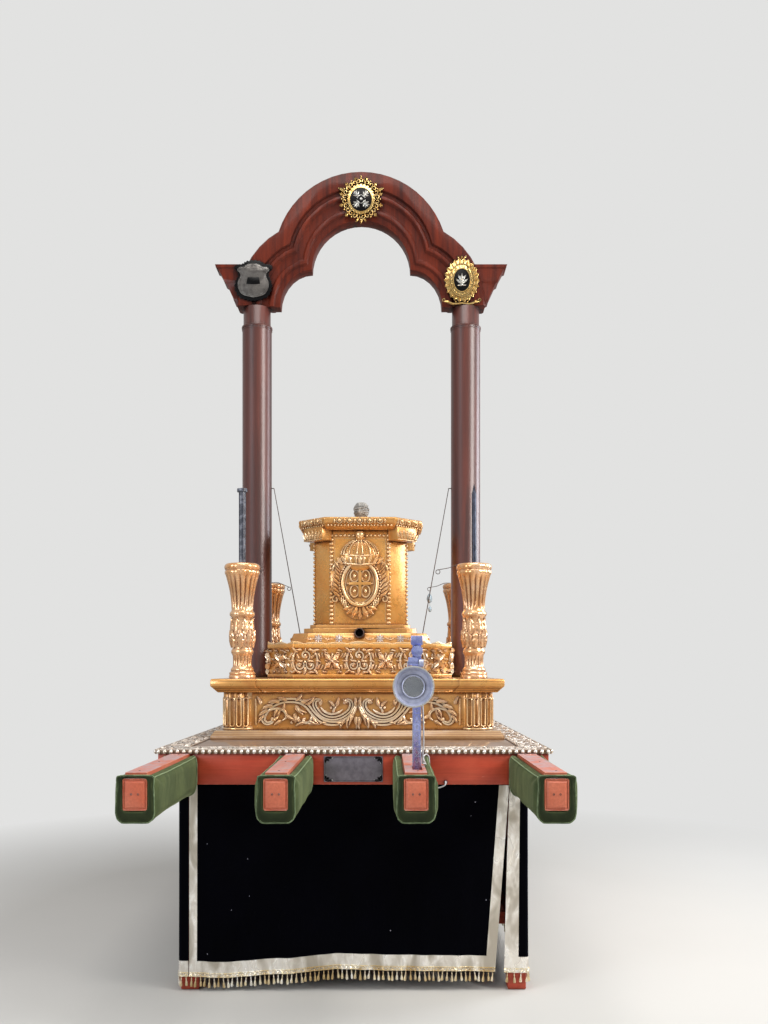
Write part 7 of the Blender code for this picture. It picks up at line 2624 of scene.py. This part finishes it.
        def outline(size: float, teeth: float = 0.0) -> list[Vector]:
            right = [Vector((0.126 * size * wide, 0.1325 * size * high, 0)) for wide, high in shares]
            line = eased(right + [Vector((-p.x, p.y, 0)) for p in reversed(right[:-1])], 4)[:-1]
            return [p * (1 - teeth * abs(2 - i % 4) / 2) for i, p in enumerate(line)]

        back = self.plate("shield_back", outline(1.0, 0.055), 0.0090)
        plate = self.plate("shield_plate", outline(0.80), 0.0120)
        line = [p + Vector((0, 0, 0.0120)) for p in outline(0.72)]
        rim = [p + Vector((0, 0, 0.0110)) for p in outline(0.80)]
        line, rim = tube("line", line + line[:1], 0.0014, 2), tube("rim", rim + rim[:1], 0.0022, 2)
        chased = join("chased", [plate, line, rim])
        low, high = [(-0.044, -0.022), (0.0, -0.025), (0.044, -0.022)], [(0.035, 0.020), (0.0, 0.017)]
        panel = self.plate("panel", [*low, *high, (-0.035, 0.020)], 0.0145)
        self.hang(panel, "shield_panel", self.shield, looks.lacquer, "black_lacquer")
        self.hang(back, "shield_backing", self.shield, looks.lacquer, "black_lacquer")
        self.hang(chased, "shield_silver", self.shield, looks.dull_silver, "grey_steel")
        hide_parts("shield_plaque")

    def build(self, looks: Finishes) -> None:
        """Makes the three ornaments."""
        self.top(looks)
        self.right(looks)
        self.left(looks)


@dataclass
class Wires:
    """Stiff wires hooked over the baluster rims, one with two glass drops."""

    radius: float = 0.0023

    eye: float = 0.012
    lines: tuple[tuple[str, tuple[Point, ...]], ...] = (
        ("hook_front_right",
         ((0.640, -0.600, 2.176), (0.580, -0.640, 2.180), (0.520, -0.655, 2.158), (0.457, -0.660, 2.146))),
        ("hook_rear_right",
         ((0.640, 0.600, 2.176), (0.575, 0.620, 2.180), (0.520, 0.630, 2.160), (0.465, 0.640, 2.151))),
        ("hook_rear_left",
         ((-0.690, 0.600, 2.178), (-0.610, 0.600, 2.182), (-0.560, 0.605, 2.164), (-0.527, 0.610, 2.151))),
        ("hook_front_left",
         ((-0.700, -0.690, 2.178), (-0.640, -0.640, 2.184), (-0.600, -0.610, 2.180), (-0.566, -0.600, 2.168))),
    )

    def hook(self, name: str, points: Sequence[Point], looks: Finishes) -> Obj:
        """One wire from a rim, curled to an eye under its last point."""
        x, y, z = points[-1]
        eye = []
        for i in range(1, 19):
            a = math.radians(90 + 400 * i / 18)
            eye.append(Vector((x + self.eye * math.cos(a), y, z - self.eye + self.eye * math.sin(a))))
        return wear(tube(name, eased(points, 6) + eye, self.radius, 2), looks.wire, "dark_wire")

    def build(self, looks: Finishes) -> None:
        """Hooks the four wires and hangs the drops."""
        for name, points in self.lines:
            self.hook(name, points, looks)
        line = eased([(0.465, 0.640, 2.128), (0.468, 0.640, 2.06), (0.470, 0.640, 2.00)], 6)
        thread = tube("drop_thread", line, 0.0008, 2)
        wear(thread, looks.wire, "dark_wire")
        section = [
            (0.004, -0.036), (0.015, -0.026), (0.0205, -0.006), (0.016, 0.014), (0.007, 0.028), (0.002, 0.036),
        ]
        drop = turned("drop", section, 12)
        places = [at(0.467, 0.640, 2.076), at(0.470, 0.640, 1.998, size=0.62)]
        wear(spread("glass_drops", soften(drop, 60), places), looks.drop, "white_cable")


def main() -> None:
    """Builds the litter piece by piece."""
    logging.basicConfig(level=logging.INFO, format="%(message)s")
    looks = Finishes()
    Studio().build()
    pieces = [LampCable(), Timber(), Cases(), Lamp(), Skirt(), Pads(), Plinth(), Tier(), Pedestal()]
    pieces += [Cartouche(), Baluster(), Deck(), RailPlate(), Medallions(), Wires()]
    for piece in pieces:
        LOG.info("building %s", type(piece).__name__)
        piece.build(looks)


if __name__ == "__main__":
    main()
